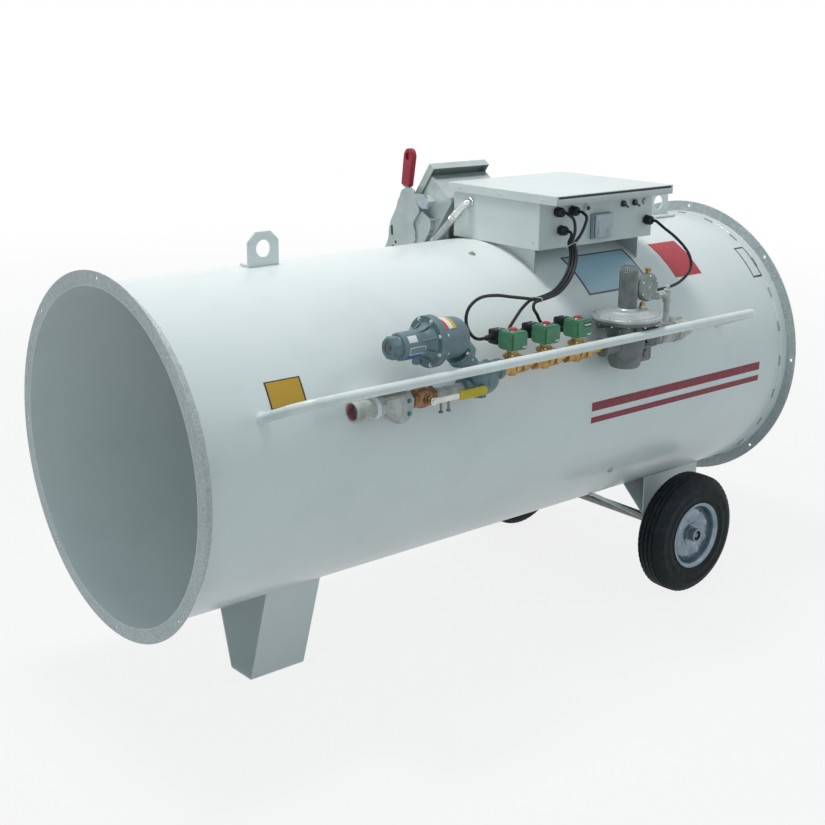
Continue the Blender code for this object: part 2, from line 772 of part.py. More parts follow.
def make_axle_bracket(name, side):
    white = paint("duct_white", (0.82, 0.85, 0.86), 0.35)
    outer = side * BRACKET_OUTER_Y
    inner = side * (BRACKET_OUTER_Y - BRACKET_THICKNESS)
    top = AXIS_HEIGHT
    outline = [(BRACKET_FRONT_X, BRACKET_BOTTOM), (BRACKET_REAR_X - BRACKET_CHAMFER, BRACKET_BOTTOM),
               (BRACKET_REAR_X, BRACKET_BOTTOM + BRACKET_CHAMFER), (BRACKET_REAR_X, top),
               (BRACKET_FRONT_X, top)]
    plate = prism(outline, "Y", min(inner, outer), max(inner, outer))
    top_z = AXIS_HEIGHT - math.sqrt(SHELL_RADIUS**2 - BRACE_TOP_Y**2)
    run = Vector((BRACE_TOP_Y - BRACKET_OUTER_Y, top_z - BRACE_LOW_Z))
    end = Vector((BRACKET_OUTER_Y, BRACE_LOW_Z)) + run * (1 + OVERRUN / run.length)
    across = run.orthogonal().normalized() * BRACE_THICKNESS
    low = Vector((BRACKET_OUTER_Y - BRACKET_THICKNESS / 2, BRACE_LOW_Z))
    strip = [low, end, end + across, low + across]
    brace = prism([(side * spot.x, spot.y) for spot in strip], "X", BRACKET_FRONT_X, BRACKET_REAR_X)
    join(plate, brace)
    stay_y = side * (BRACKET_OUTER_Y - BRACKET_THICKNESS / 2)
    shell_z = AXIS_HEIGHT - math.sqrt(SHELL_RADIUS**2 - stay_y**2)
    low_end = Vector((BRACKET_FRONT_X + STAY_RADIUS, stay_y, STAY_LOW_Z))
    high_end = Vector((STAY_FRONT_X, stay_y, shell_z))
    high_end += (high_end - low_end).normalized() * OVERRUN
    join(plate, rod(STAY_RADIUS, low_end, high_end, 8))
    cut(plate, rod(AXLE_BODY_RADIUS + GAP, (AXLE_X, 0, WHEEL_RADIUS), (AXLE_X, 2 * outer, WHEEL_RADIUS)))
    return named(seat_outside(plate), name, white)


def make_axle():
    steel = paint("axle_steel", (0.2, 0.21, 0.22), 0.4, 0.9)
    body = WHEEL_MID_Y - HUB_HALF - RUNNING_GAP
    tip = WHEEL_MID_Y + HUB_HALF - HUB_POCKET_DEPTH / 3
    profile = [(0, -tip), (AXLE_RADIUS, -tip), (AXLE_RADIUS, -body), (AXLE_BODY_RADIUS, -body),
               (AXLE_BODY_RADIUS, body), (AXLE_RADIUS, body), (AXLE_RADIUS, tip), (0, tip)]
    return named(turned(profile, (AXLE_X, 0, WHEEL_RADIUS), (0, 1, 0), 16), "axle", steel)


def make_wheel(suffix, side):
    zinc = paint("zinc_wheel", (0.62, 0.63, 0.6), 0.35, 0.7)
    rubber = paint("tyre_rubber", (0.008, 0.01, 0.012), 0.8)
    centre = (AXLE_X, side * WHEEL_MID_Y, WHEEL_RADIUS)
    outward = (0, side, 0)
    bore = AXLE_RADIUS + RUNNING_GAP
    pocket_floor = HUB_HALF - HUB_POCKET_DEPTH
    seat_outer = RIM_HALF_WIDTH - RIM_SHEET
    well_edge = RIM_HALF_WIDTH / 2
    dish = RIM_DISH + RIM_SHEET
    dish_foot = HUB_RADIUS * 1.9
    rim_loop = [
        (RIM_SEAT_RADIUS, -seat_outer), (RIM_SEAT_RADIUS, -well_edge), (RIM_WELL_RADIUS, 0),
        (RIM_SEAT_RADIUS, well_edge), (RIM_SEAT_RADIUS, seat_outer), (RIM_LIP_RADIUS, RIM_HALF_WIDTH),
        (RIM_LIP_RADIUS, RIM_HALF_WIDTH + RIM_SHEET), (RIM_SEAT_RADIUS - RIM_SHEET, RIM_HALF_WIDTH),
        (RIM_SEAT_RADIUS - RIM_SHEET * 2, well_edge),
        (dish_foot, dish + RIM_SHEET), (HUB_RADIUS, RIM_DISH), (HUB_RADIUS, HUB_HALF),
        (HUB_POCKET_RADIUS, HUB_HALF), (HUB_POCKET_RADIUS, pocket_floor), (bore, pocket_floor),
        (bore, -HUB_HALF), (HUB_RADIUS, -HUB_HALF), (HUB_RADIUS, RIM_DISH - RIM_SHEET), (dish_foot, dish),
        (RIM_WELL_RADIUS - RIM_SHEET, 0), (RIM_SEAT_RADIUS - RIM_SHEET, -RIM_HALF_WIDTH),
        (RIM_LIP_RADIUS, -RIM_HALF_WIDTH - RIM_SHEET),
        (RIM_LIP_RADIUS, -RIM_HALF_WIDTH)]
    named(turned(rim_loop, centre, outward, WHEEL_SIDES), f"rim_{suffix}", zinc, centre)
    bead = RIM_SEAT_RADIUS + GAP
    bead_half = seat_outer - GAP
    side_foot = RIM_LIP_RADIUS + TYRE_WALL
    side_top = WHEEL_RADIUS - TYRE_TREAD * 2
    groove = WHEEL_RADIUS - TYRE_GROOVE
    tyre_loop = [
        (bead, -bead_half), (RIM_LIP_RADIUS, -bead_half - GAP), (side_foot, -TYRE_HALF_WIDTH),
        (side_top, -TYRE_HALF_WIDTH), (WHEEL_RADIUS, -TYRE_HALF_WIDTH * 0.5),
        (groove, -TYRE_HALF_WIDTH * 0.3),
        (WHEEL_RADIUS, -TYRE_HALF_WIDTH * 0.1), (WHEEL_RADIUS, TYRE_HALF_WIDTH * 0.1),
        (groove, TYRE_HALF_WIDTH * 0.3), (WHEEL_RADIUS, TYRE_HALF_WIDTH * 0.5), (side_top, TYRE_HALF_WIDTH),
        (side_foot, TYRE_HALF_WIDTH), (RIM_LIP_RADIUS, bead_half + GAP), (bead, bead_half)]
    named(turned(tyre_loop, centre, outward, WHEEL_SIDES), f"tyre_{suffix}", rubber, centre)
    clip_start = pocket_floor + RUNNING_GAP
    clip = [(AXLE_RADIUS + GAP, clip_start), (AXLE_RADIUS + GAP, clip_start + CLIP_THICKNESS),
            (HUB_POCKET_RADIUS - CLIP_THICKNESS, clip_start + CLIP_THICKNESS),
            (HUB_POCKET_RADIUS - RUNNING_GAP * 2, clip_start)]
    steel = paint("axle_steel", (0.2, 0.21, 0.22), 0.4, 0.9)
    named(turned(clip, centre, outward, 16), f"wheel_clip_{suffix}", steel)


def make_guard_rail():
    white = paint("duct_white", (0.82, 0.85, 0.86), 0.35)
    reach = SHELL_RADIUS + RAIL_STANDOFF
    foot = SHELL_RADIUS - OVERRUN
    corners = [duct_point(RAIL_FRONT_X, foot, RAIL_ANGLE), duct_point(RAIL_FRONT_X, reach, RAIL_ANGLE),
               duct_point(RAIL_REAR_X, reach, RAIL_ANGLE), duct_point(RAIL_REAR_X, foot, RAIL_ANGLE)]
    rail = swept(rounded(corners, RAIL_BEND, 4), RAIL_RADIUS, 10)
    named(seat_outside(rail), "guard_rail", white)
    inner = duct_point(0, SHELL_RADIUS - OVERRUN, RAIL_ANGLE)
    outer = duct_point(0, reach - RAIL_RADIUS - GAP, RAIL_ANGLE)
    across = (outer - inner).normalized().cross(Vector((1, 0, 0))) * RAIL_BRACKET_THICKNESS / 2
    spots = [inner - across, outer - across, outer + across, inner + across]
    plate = prism([(spot.y, spot.z) for spot in spots], "X",
                  RAIL_BRACKET_X, RAIL_BRACKET_X + RAIL_BRACKET_LENGTH)
    clamp_x = RAIL_BRACKET_X + RAIL_BRACKET_LENGTH / 10
    hanger_z = duct_point(0, -RUN_Y / math.cos(math.radians(RAIL_ANGLE)), RAIL_ANGLE).z
    clamp_radius = SUPPLY_RADIUS + RAIL_BRACKET_THICKNESS
    strap = rod(clamp_radius, (clamp_x, RUN_Y, SUPPLY_Z), (clamp_x + SUPPLY_LIP_LENGTH / 2, RUN_Y, SUPPLY_Z),
                16)
    join(strap, block((clamp_x, RUN_Y - RAIL_BRACKET_THICKNESS, SUPPLY_Z),
                      (clamp_x + SUPPLY_LIP_LENGTH / 2, RUN_Y + RAIL_BRACKET_THICKNESS, hanger_z)))
    join(plate, strap)
    cut(plate, rod(SUPPLY_RADIUS + GAP, (clamp_x - OVERRUN, RUN_Y, SUPPLY_Z),
                   (clamp_x + 2 * OVERRUN, RUN_Y, SUPPLY_Z), 16))
    named(seat_outside(plate), "rail_bracket", white)


def make_supply():
    cast = paint("fitting_white", (0.7, 0.73, 0.73), 0.5)
    brass = paint("brass", (0.55, 0.38, 0.14), 0.35, 0.9)
    yellow = paint("lever_yellow", (0.7, 0.52, 0.02), 0.5)
    mouth = INLET_MOUTH_X
    inner = SUPPLY_RADIUS - SUPPLY_WALL
    profile = [(inner, 0), (SUPPLY_LIP, 0), (SUPPLY_LIP, SUPPLY_LIP_LENGTH),
               (SUPPLY_RADIUS, SUPPLY_LIP_LENGTH + SUPPLY_WALL), (SUPPLY_RADIUS, STRAINER_X - GAP - mouth),
               (inner, STRAINER_X - GAP - mouth)]
    named(turned(profile, (mouth, RUN_Y, SUPPLY_Z), (1, 0, 0), 16), "gas_inlet", cast)
    end = STRAINER_X + STRAINER_LENGTH
    low = SUPPLY_Z - STRAINER_DROP
    outline = [(STRAINER_X, SUPPLY_Z + STRAINER_TOP * 0.8),
               (STRAINER_X + STRAINER_LENGTH * 0.2, SUPPLY_Z + STRAINER_TOP),
               (end - STRAINER_LENGTH * 0.1, SUPPLY_Z + STRAINER_TOP), (end, SUPPLY_Z + STRAINER_TOP * 0.7),
               (end, SUPPLY_Z - STRAINER_TOP * 0.7), (end - STRAINER_LENGTH * 0.25, low),
               (STRAINER_X + STRAINER_LENGTH * 0.5, low), (STRAINER_X, SUPPLY_Z - STRAINER_TOP * 0.8)]
    body = prism(outline, "Y", RUN_Y - STRAINER_HALF_WIDTH, RUN_Y + STRAINER_HALF_WIDTH)
    soften(body, STRAINER_HALF_WIDTH / 4)
    named(body, "gas_strainer", cast)
    start = end + GAP
    far = REGULATOR_X - GAP
    low_x = BALL_VALVE_X - BALL_VALVE_HALF
    high_x = BALL_VALVE_X + BALL_VALVE_HALF
    line = rod(INCH_PIPE_RADIUS, (start, RUN_Y, SUPPLY_Z), (far, RUN_Y, SUPPLY_Z), 16)
    for hex_x in (low_x, high_x - HEX_LENGTH):
        join(line, rod(HEX_RADIUS, (hex_x, RUN_Y, SUPPLY_Z), (hex_x + HEX_LENGTH, RUN_Y, SUPPLY_Z), 6))
    half = BALL_VALVE_HALF - HEX_LENGTH / 2
    profile = [(0, -half), (BALL_RADIUS * 0.7, -half), (BALL_RADIUS, -half / 2), (BALL_RADIUS, half / 2),
               (BALL_RADIUS * 0.7, half), (0, half)]
    join(line, turned(profile, (BALL_VALVE_X, RUN_Y, SUPPLY_Z), (1, 0, 0), 16))
    join(line, rod(STEM_RADIUS, (BALL_VALVE_X, RUN_Y, SUPPLY_Z), (BALL_VALVE_X, LEVER_Y + GAP, SUPPLY_Z)))
    named(line, "ball_valve_body", brass)
    face = LEVER_Y - LEVER_THICKNESS
    tip = BALL_VALVE_X + LEVER_LENGTH
    grip = tip - LEVER_GRIP_LENGTH
    top = SUPPLY_Z + LEVER_HALF
    bottom = SUPPLY_Z - LEVER_HALF
    arm = [(BALL_VALVE_X - STEM_RADIUS, bottom), (grip, bottom), (grip, SUPPLY_Z - LEVER_GRIP_HALF),
           (tip - LEVER_HALF, SUPPLY_Z - LEVER_GRIP_HALF), (tip, bottom), (tip, top),
           (tip - LEVER_HALF, SUPPLY_Z + LEVER_GRIP_HALF), (grip, SUPPLY_Z + LEVER_GRIP_HALF), (grip, top),
           (BALL_VALVE_X - STEM_RADIUS, top)]
    lever = prism(arm, "Y", face, LEVER_Y)
    sleeve = block((grip, face - LEVER_GRIP_SHEET, SUPPLY_Z - LEVER_GRIP_HALF),
                   (tip - LEVER_HALF, LEVER_Y + LEVER_GRIP_SHEET, SUPPLY_Z + LEVER_GRIP_HALF))
    join(lever, sleeve)
    nut = rod(LEVER_HALF, (BALL_VALVE_X, face - LEVER_THICKNESS, SUPPLY_Z),
              (BALL_VALVE_X, LEVER_Y, SUPPLY_Z), 6)
    join(lever, nut)
    named(lever, "ball_valve_lever", yellow, (BALL_VALVE_X, LEVER_Y, SUPPLY_Z))


def make_high_regulator():
    grey = paint("regulator_grey", (0.19, 0.26, 0.29), 0.45, 0.2)
    end = REGULATOR_X + REGULATOR_LENGTH
    middle = REGULATOR_X + REGULATOR_LENGTH / 2
    body = rod(REGULATOR_BOSS, (REGULATOR_X, RUN_Y, SUPPLY_Z), (middle, RUN_Y, SUPPLY_Z), 16)
    join(body, rod(REGULATOR_BOSS, (middle, RUN_Y, RUN_Z), (end, RUN_Y, RUN_Z), 16))
    half = REGULATOR_LENGTH * 0.36
    belly = [(0, -half), (REGULATOR_BELLY * 0.6, -half), (REGULATOR_BELLY * 0.93, -half / 2),
             (REGULATOR_BELLY, 0), (REGULATOR_BELLY * 0.93, half / 2), (REGULATOR_BELLY * 0.6, half),
             (0, half)]
    level = (SUPPLY_Z + RUN_Z) / 2
    join(body, turned(belly, (middle, RUN_Y, level), (1, 0, 0), 16))
    dome_x = CASE_FLANGE_X + CASE_FLANGE_THICKNESS * 2 + CASE_DOME_LENGTH * 0.55
    top = Vector((dome_x, RUN_Y, CASE_Z))
    foot = Vector((middle, RUN_Y, level))
    reach = foot - top
    heading = reach.normalized()
    split = top + heading * (CASE_DOME_RADIUS + NECK_FLANGE_THICKNESS)
    join(body, rod(NECK_RADIUS, split + heading * GAP, foot, 16))
    join(body, rod(NECK_FLANGE_RADIUS, split + heading * GAP, split + heading * NECK_FLANGE_THICKNESS, 16))
    named(body, "regulator_body", grey)
    flange_end = CASE_FLANGE_X + CASE_FLANGE_THICKNESS * 2
    dome_end = flange_end + CASE_DOME_LENGTH
    shoulder = CASE_FLANGE_X - CASE_BARREL_ROOT
    profile = [(0, CASE_END_X + CASE_PLUG_RADIUS / 2), (CASE_PLUG_RADIUS, CASE_END_X + CASE_PLUG_RADIUS / 2),
               (CASE_PLUG_RADIUS, CASE_END_X), (CASE_BARREL_RADIUS * 0.85, CASE_END_X),
               (CASE_BARREL_RADIUS, CASE_END_X + CASE_BARREL_RADIUS / 3), (CASE_BARREL_ROOT, shoulder),
               (CASE_BARREL_ROOT * 1.3, CASE_FLANGE_X - CASE_FLANGE_THICKNESS),
               (CASE_BARREL_ROOT * 1.45, CASE_FLANGE_X), (CASE_FLANGE_RADIUS, CASE_FLANGE_X),
               (CASE_FLANGE_RADIUS, flange_end), (CASE_DOME_RADIUS, flange_end),
               (CASE_DOME_RADIUS * 0.95, dome_end - CASE_DOME_RADIUS / 2),
               (CASE_DOME_RADIUS * 0.6, dome_end),
               (0, dome_end)]
    case = turned(profile, (0, RUN_Y, CASE_Z), (1, 0, 0), 16)
    join(case, rod(NECK_RADIUS, top, split, 16))
    join(case, rod(NECK_FLANGE_RADIUS, split - heading * NECK_FLANGE_THICKNESS, split, 16))
    named(case, "regulator_case", grey)


def make_solenoid_valve(number):
    brass = paint("brass", (0.55, 0.38, 0.14), 0.35, 0.9)
    green = paint("coil_green", (0.03, 0.2, 0.09), 0.45)
    black = paint("plug_black", (0.02, 0.025, 0.028), 0.5)
    x = VALVE_FIRST_X + VALVE_PITCH * (number - 1)
    start = x - VALVE_HALF
    end = x + VALVE_HALF
    last = number == VALVE_COUNT
    reach = LOW_X - LOW_HALF - GAP if last else x + VALVE_PITCH - VALVE_HALF - GAP
    lead = REGULATOR_X + REGULATOR_LENGTH + GAP if number == 1 else start
    body = rod(VALVE_NIPPLE_RADIUS, (lead, RUN_Y, RUN_Z), (reach, RUN_Y, RUN_Z), 12)
    waist = VALVE_HEX_LENGTH
    barrel = [(0, start + waist / 2), (VALVE_BODY_RADIUS, start + waist / 2), (VALVE_BODY_RADIUS, x - waist),
              (VALVE_HEX_RADIUS, x - waist / 2), (VALVE_HEX_RADIUS, x + waist / 2),
              (VALVE_BODY_RADIUS, x + waist),
              (VALVE_BODY_RADIUS, end - waist / 2), (0, end - waist / 2)]
    join(body, turned(barrel, (0, RUN_Y, RUN_Z), (1, 0, 0), 12))
    for hex_x in (start, end - VALVE_HEX_LENGTH):
        join(body, rod(VALVE_HEX_RADIUS, (hex_x, RUN_Y, RUN_Z), (hex_x + VALVE_HEX_LENGTH, RUN_Y, RUN_Z), 6))
    top = COIL_BOTTOM + COIL_HEIGHT
    bonnet = [(0, RUN_Z), (BONNET_RADIUS, RUN_Z), (BONNET_RADIUS, BONNET_TOP - VALVE_HEX_LENGTH / 3),
              (BONNET_RADIUS * 0.8, BONNET_TOP), (BONNET_RADIUS * 0.6, BONNET_TOP),
              (BONNET_RADIUS * 0.6, COIL_BOTTOM - GAP), (CORE_RADIUS, COIL_BOTTOM - GAP),
              (CORE_RADIUS, top + GAP),
              (CORE_CAP_RADIUS, top + GAP), (CORE_CAP_RADIUS * 0.8, top + CORE_PROUD), (0, top + CORE_PROUD)]
    join(body, turned(bonnet, (x, RUN_Y, 0), (0, 0, 1), 12))
    named(body, f"valve_body_{number}", brass)
    coil = block((x - COIL_HALF, RUN_Y - COIL_HALF, COIL_BOTTOM), (x + COIL_HALF, RUN_Y + COIL_HALF, top))
    soften(coil, COIL_ROUND)
    cut(coil, rod(CORE_RADIUS + GAP, (x, RUN_Y, COIL_BOTTOM - OVERRUN), (x, RUN_Y, top + OVERRUN)))
    named(coil, f"valve_coil_{number}", green)
    plug_x = x - PLUG_SHIFT
    near = RUN_Y + COIL_HALF + GAP
    low = COIL_BOTTOM + PLUG_LIFT
    plug = block((plug_x - PLUG_SIDE / 2, near, low),
                 (plug_x + PLUG_SIDE / 2, near + PLUG_DEPTH, low + PLUG_SIDE))
    soften(plug, COIL_ROUND / 2, 1)
    spot = gland_spot(number)
    join(plug, rod(GLAND_RADIUS, spot + Vector((GAP, 0, 0)), (plug_x, spot.y, spot.z), 12))
    named(plug, f"valve_plug_{number}", black)


def gland_spot(number):
    """Where a valve's cable meets the gland of its plug."""
    x = VALVE_FIRST_X + VALVE_PITCH * (number - 1) - PLUG_SHIFT - PLUG_SIDE / 2 - GLAND_LENGTH
    y = RUN_Y + COIL_HALF + GAP + PLUG_DEPTH / 2
    return Vector((x, y, COIL_BOTTOM + PLUG_LIFT + PLUG_SIDE / 2))


def make_low_regulator():
    dark = paint("low_regulator_dark", (0.16, 0.18, 0.17), 0.55, 0.3)
    light = paint("low_regulator_light", (0.5, 0.53, 0.54), 0.45, 0.3)
    cover_low = LOW_COVER_BOTTOM
    narrow = RUN_Z - LOW_BOSS_RADIUS
    profile = [(0, LOW_BODY_BOTTOM + LOW_FOOT_HEIGHT * 0.2), (LOW_BODY_RADIUS * 0.7, LOW_BODY_BOTTOM),
               (LOW_BODY_RADIUS * 0.85, LOW_BODY_BOTTOM + LOW_FOOT_HEIGHT), (LOW_BODY_RADIUS * 0.95, narrow),
               (LOW_BODY_RADIUS, RUN_Z), (LOW_BODY_RADIUS, RUN_Z + LOW_BOSS_RADIUS),
               (LOW_COVER_RADIUS * 0.72, cover_low - LOW_COVER_THICKNESS * 0.55),
               (LOW_COVER_RADIUS * 0.97, cover_low - LOW_COVER_THICKNESS * 0.4),
               (LOW_COVER_RADIUS * 0.97, cover_low - GAP), (0, cover_low - GAP)]
    body = turned(profile, (LOW_X, LOW_Y, 0), (0, 0, 1), 16)
    join(body, rod(LOW_BOSS_RADIUS, (LOW_X - LOW_HALF, RUN_Y, RUN_Z), (LOW_X + LOW_HALF, RUN_Y, RUN_Z), 16))
    foot = block((LOW_X, LOW_Y - LOW_FOOT_HALF, LOW_BODY_BOTTOM + LOW_FOOT_HEIGHT / 2),
                 (LOW_X + LOW_HALF * 0.6, LOW_Y + LOW_FOOT_HALF, LOW_BODY_BOTTOM + LOW_FOOT_HEIGHT * 2))
    join(body, foot)
    named(body, "low_regulator_body", dark)
    top = cover_low + LOW_COVER_THICKNESS
    step = LOW_TOWER_TOP - LOW_TOWER_RADIUS / 2
    profile = [(0, cover_low), (LOW_COVER_RADIUS, cover_low),
               (LOW_COVER_RADIUS, cover_low + LOW_COVER_THICKNESS * 0.35),
               (LOW_COVER_RADIUS * 0.9, cover_low + LOW_COVER_THICKNESS * 0.5),
               (LOW_COVER_RADIUS * 0.62, top),
               (LOW_TOWER_RADIUS * 1.3, top), (LOW_TOWER_RADIUS, top + LOW_COVER_THICKNESS / 4),
               (LOW_TOWER_RADIUS, step), (LOW_TOWER_RADIUS * 0.85, step),
               (LOW_TOWER_RADIUS * 0.85, LOW_TOWER_TOP),
               (0, LOW_TOWER_TOP)]
    named(turned(profile, (LOW_X, LOW_Y, 0), (0, 0, 1), 20), "low_regulator_cover", light)


def make_outlet():
    cast = paint("fitting_white", (0.7, 0.73, 0.73), 0.5)
    grey = paint("pressure_switch_grey", (0.33, 0.37, 0.36), 0.5, 0.3)
    start = LOW_X + LOW_HALF + GAP
    tee = RISER_X
    pipe = OUTLET_PIPE_RADIUS
    union = OUTLET_UNION_RADIUS
    end = OUTLET_END_X - GAP
    profile = [(0, start), (pipe, start), (pipe, tee - union), (union * 0.85, tee - union),
               (union * 0.85, tee + union * 0.6), (pipe, tee + union * 0.6), (pipe, end - union * 0.7),
               (union, end - union * 0.7), (union, end), (0, end)]
    outlet = turned(profile, (0, RUN_Y, RUN_Z), (1, 0, 0), 12)
    riser = [(0, RUN_Z), (RISER_RADIUS, RUN_Z), (RISER_RADIUS, RISER_TOP - RISER_RADIUS),
             (RISER_RADIUS * 1.3, RISER_TOP - RISER_RADIUS), (RISER_RADIUS * 1.3, RISER_TOP), (0, RISER_TOP)]
    join(outlet, turned(riser, (tee, RUN_Y, 0), (0, 0, 1), 12))
    plate_edge = SWITCH_X + math.sqrt(SWITCH_RADIUS**2 - (SWITCH_Z - ARM_Z)**2)
    arm_end = plate_edge + RISER_RADIUS
    join(outlet, rod(ARM_RADIUS, (arm_end, RUN_Y, ARM_Z), (tee, RUN_Y, ARM_Z), 12))
    named(outlet, "gas_outlet", cast)
    half = SWITCH_THICKNESS / 2
    disc = [(0, -half), (SWITCH_RADIUS * 0.85, -half), (SWITCH_RADIUS, -half / 2), (SWITCH_RADIUS, half),
            (0, half)]
    switch = turned(disc, (SWITCH_X, RUN_Y, SWITCH_Z), (0, 1, 0), 16)
    housing = SWITCH_HOUSING_HALF
    join(switch, block((SWITCH_X - housing, RUN_Y, SWITCH_Z - housing),
                       (SWITCH_X + housing, RUN_Y + half + SWITCH_HOUSING_DEPTH, SWITCH_Z + housing)))
    knob_top = SWITCH_Z + SWITCH_RADIUS + SWITCH_KNOB_HEIGHT
    join(switch, rod(SWITCH_KNOB_RADIUS, (SWITCH_X, RUN_Y, SWITCH_Z), (SWITCH_X, RUN_Y, knob_top), 8))
    join(switch, rod(ARM_RADIUS, (SWITCH_X, RUN_Y, ARM_Z), (arm_end - GAP, RUN_Y, ARM_Z), 12))
    named(switch, "pressure_switch", grey)


def make_burner():
    iron = paint("burner_iron", (0.16, 0.15, 0.14), 0.6, 0.7)
    sheet = paint("burner_sheet", (0.35, 0.34, 0.33), 0.4, 0.9)
    ceramic = paint("ceramic", (0.8, 0.78, 0.72), 0.3)
    route = [(OUTLET_END_X, RUN_Y, RUN_Z), (FEED_X, RUN_Y, RUN_Z), (FEED_X, 0, RUN_Z),
             (FEED_X, 0, AXIS_HEIGHT)]
    feed = swept(rounded(route, FEED_BEND, 4), OUTLET_PIPE_RADIUS, 16)
    head = [(0, -HEAD_NOZZLE), (HEAD_NOZZLE, -HEAD_NOZZLE), (HEAD_NOZZLE, 0), (HEAD_RADIUS, 0),
            (HEAD_RADIUS, HEAD_LENGTH * 0.7), (HEAD_RADIUS * 0.7, HEAD_LENGTH), (0, HEAD_LENGTH)]
    join(feed, turned(head, (HEAD_FRONT_X, 0, AXIS_HEIGHT), (1, 0, 0), 16))
    named(feed, "burner_manifold", iron)
    rows = CONE_HOLE_ROWS * 2 + 1
    hole_length = (CONE_LENGTH - CONE_WEB * (CONE_HOLE_ROWS + 1)) / CONE_HOLE_ROWS
    stations = [0.0]
    for row in range(rows):
        stations.append(stations[-1] + (CONE_WEB if row % 2 == 0 else hole_length))
    columns = CONE_COLUMNS * 2

    def cone_spot(column, row, face):
        along = stations[row] / CONE_LENGTH
        radius = CONE_SMALL_RADIUS + (CONE_LARGE_RADIUS - CONE_SMALL_RADIUS) * along - face * CONE_SHEET
        angle = math.tau * column / columns
        return (CONE_SMALL_X - stations[row], radius * math.cos(angle),
                AXIS_HEIGHT + radius * math.sin(angle))

    cone = lattice(cone_spot, columns, rows, lambda column, row: column % 2 == 1 and row % 2 == 1)
    stay_x = CONE_SMALL_X - CONE_LENGTH + CONE_WEB / 2
    for degrees in (90, 210, 330):
        low = duct_point(stay_x, CONE_LARGE_RADIUS - CONE_SHEET * 3, degrees)
        high = duct_point(stay_x, SHELL_RADIUS, degrees)
        join(cone, flat_bar(low, high, (1, 0, 0), CONE_STAY_HALF, CONE_STAY_THICKNESS))
    bridge_low = duct_point(CONE_SMALL_X - CONE_WEB / 2, CONE_SMALL_RADIUS + CONE_SHEET, 270)
    bridge_high = duct_point(CONE_SMALL_X - CONE_WEB / 2, SHELL_RADIUS, 270)
    join(cone, flat_bar(bridge_high, bridge_low, (1, 0, 0), CONE_STAY_HALF, CONE_STAY_THICKNESS))
    named(seat_inside(cone), "burner_cone", sheet)
    for name, offset in (("igniter", ELECTRODE_OFFSET), ("flame_rod", -ELECTRODE_OFFSET)):
        root = HEAD_FRONT_X - GAP
        profile = [(0, root), (ELECTRODE_BASE_RADIUS, root),
                   (ELECTRODE_BASE_RADIUS, root - ELECTRODE_BASE_LENGTH),
                   (ELECTRODE_RADIUS, root - ELECTRODE_BASE_LENGTH * 1.5),
                   (ELECTRODE_RADIUS, root - ELECTRODE_LENGTH),
                   (0, root - ELECTRODE_LENGTH)]
        named(turned(profile, (0, offset, AXIS_HEIGHT), (1, 0, 0), 10), name, ceramic)


def flat_bar(start, end, width_direction, half_width, thickness):
    """A flat bar from start to end, wide along one direction."""
    wide = Vector(width_direction) * half_width
    thick = (Vector(end) - Vector(start)).normalized().cross(Vector(width_direction)) * thickness / 2
    builder = bmesh.new()
    ends = []
    for middle in (Vector(start), Vector(end)):
        corners = [middle + wide + thick, middle - wide + thick, middle - wide - thick,
                   middle + wide - thick]
        ends.append([builder.verts.new(corner) for corner in corners])
        builder.faces.new(ends[-1])
    for index in range(4):
        after = (index + 1) % 4
        builder.faces.new((ends[0][index], ends[0][after], ends[1][after], ends[1][index]))
    return solid_from(builder)


def make_blade(turn_degrees):
    """One fan blade: flat-backed sections along the radius, each with its own chord and pitch."""
    stations = [(0.0, 48.0), (0.3, 38.0), (0.65, 29.0), (1.0, 23.0)]
    chord_shares = (-0.5, -0.17, 0.17, 0.5)
    root = FAN_HUB_RADIUS * 0.85
    builder = bmesh.new()
    rings = []
    turn = math.radians(turn_degrees)
    for share, pitch in stations:
        radius = root + (FAN_RADIUS - root) * share
        chord = FAN_ROOT_CHORD + (FAN_TIP_CHORD - FAN_ROOT_CHORD) * share
        lean = math.radians(pitch)
        ring = []
        for face in (1, -1):
            for chord_share in chord_shares if face == 1 else reversed(chord_shares):
                camber = (0.25 - chord_share**2) * chord * 0.3
                across = chord * chord_share
                depth = camber + face * FAN_BLADE_SHEET / 2
                x = FAN_X + FAN_HUB_LENGTH / 2 + across * math.sin(lean) - depth * math.cos(lean)
                tangent = across * math.cos(lean) + depth * math.sin(lean)
                y = radius * math.cos(turn) - tangent * math.sin(turn)
                z = AXIS_HEIGHT + radius * math.sin(turn) + tangent * math.cos(turn)
                ring.append(builder.verts.new((x, y, z)))
        rings.append(ring)
    size = len(rings[0])
    for first, second in zip(rings, rings[1:]):
        for index in range(size):
            after = (index + 1) % size
            builder.faces.new((first[index], first[after], second[after], second[index]))
    builder.faces.new(rings[0])
    builder.faces.new(rings[-1])
    return solid_from(builder)


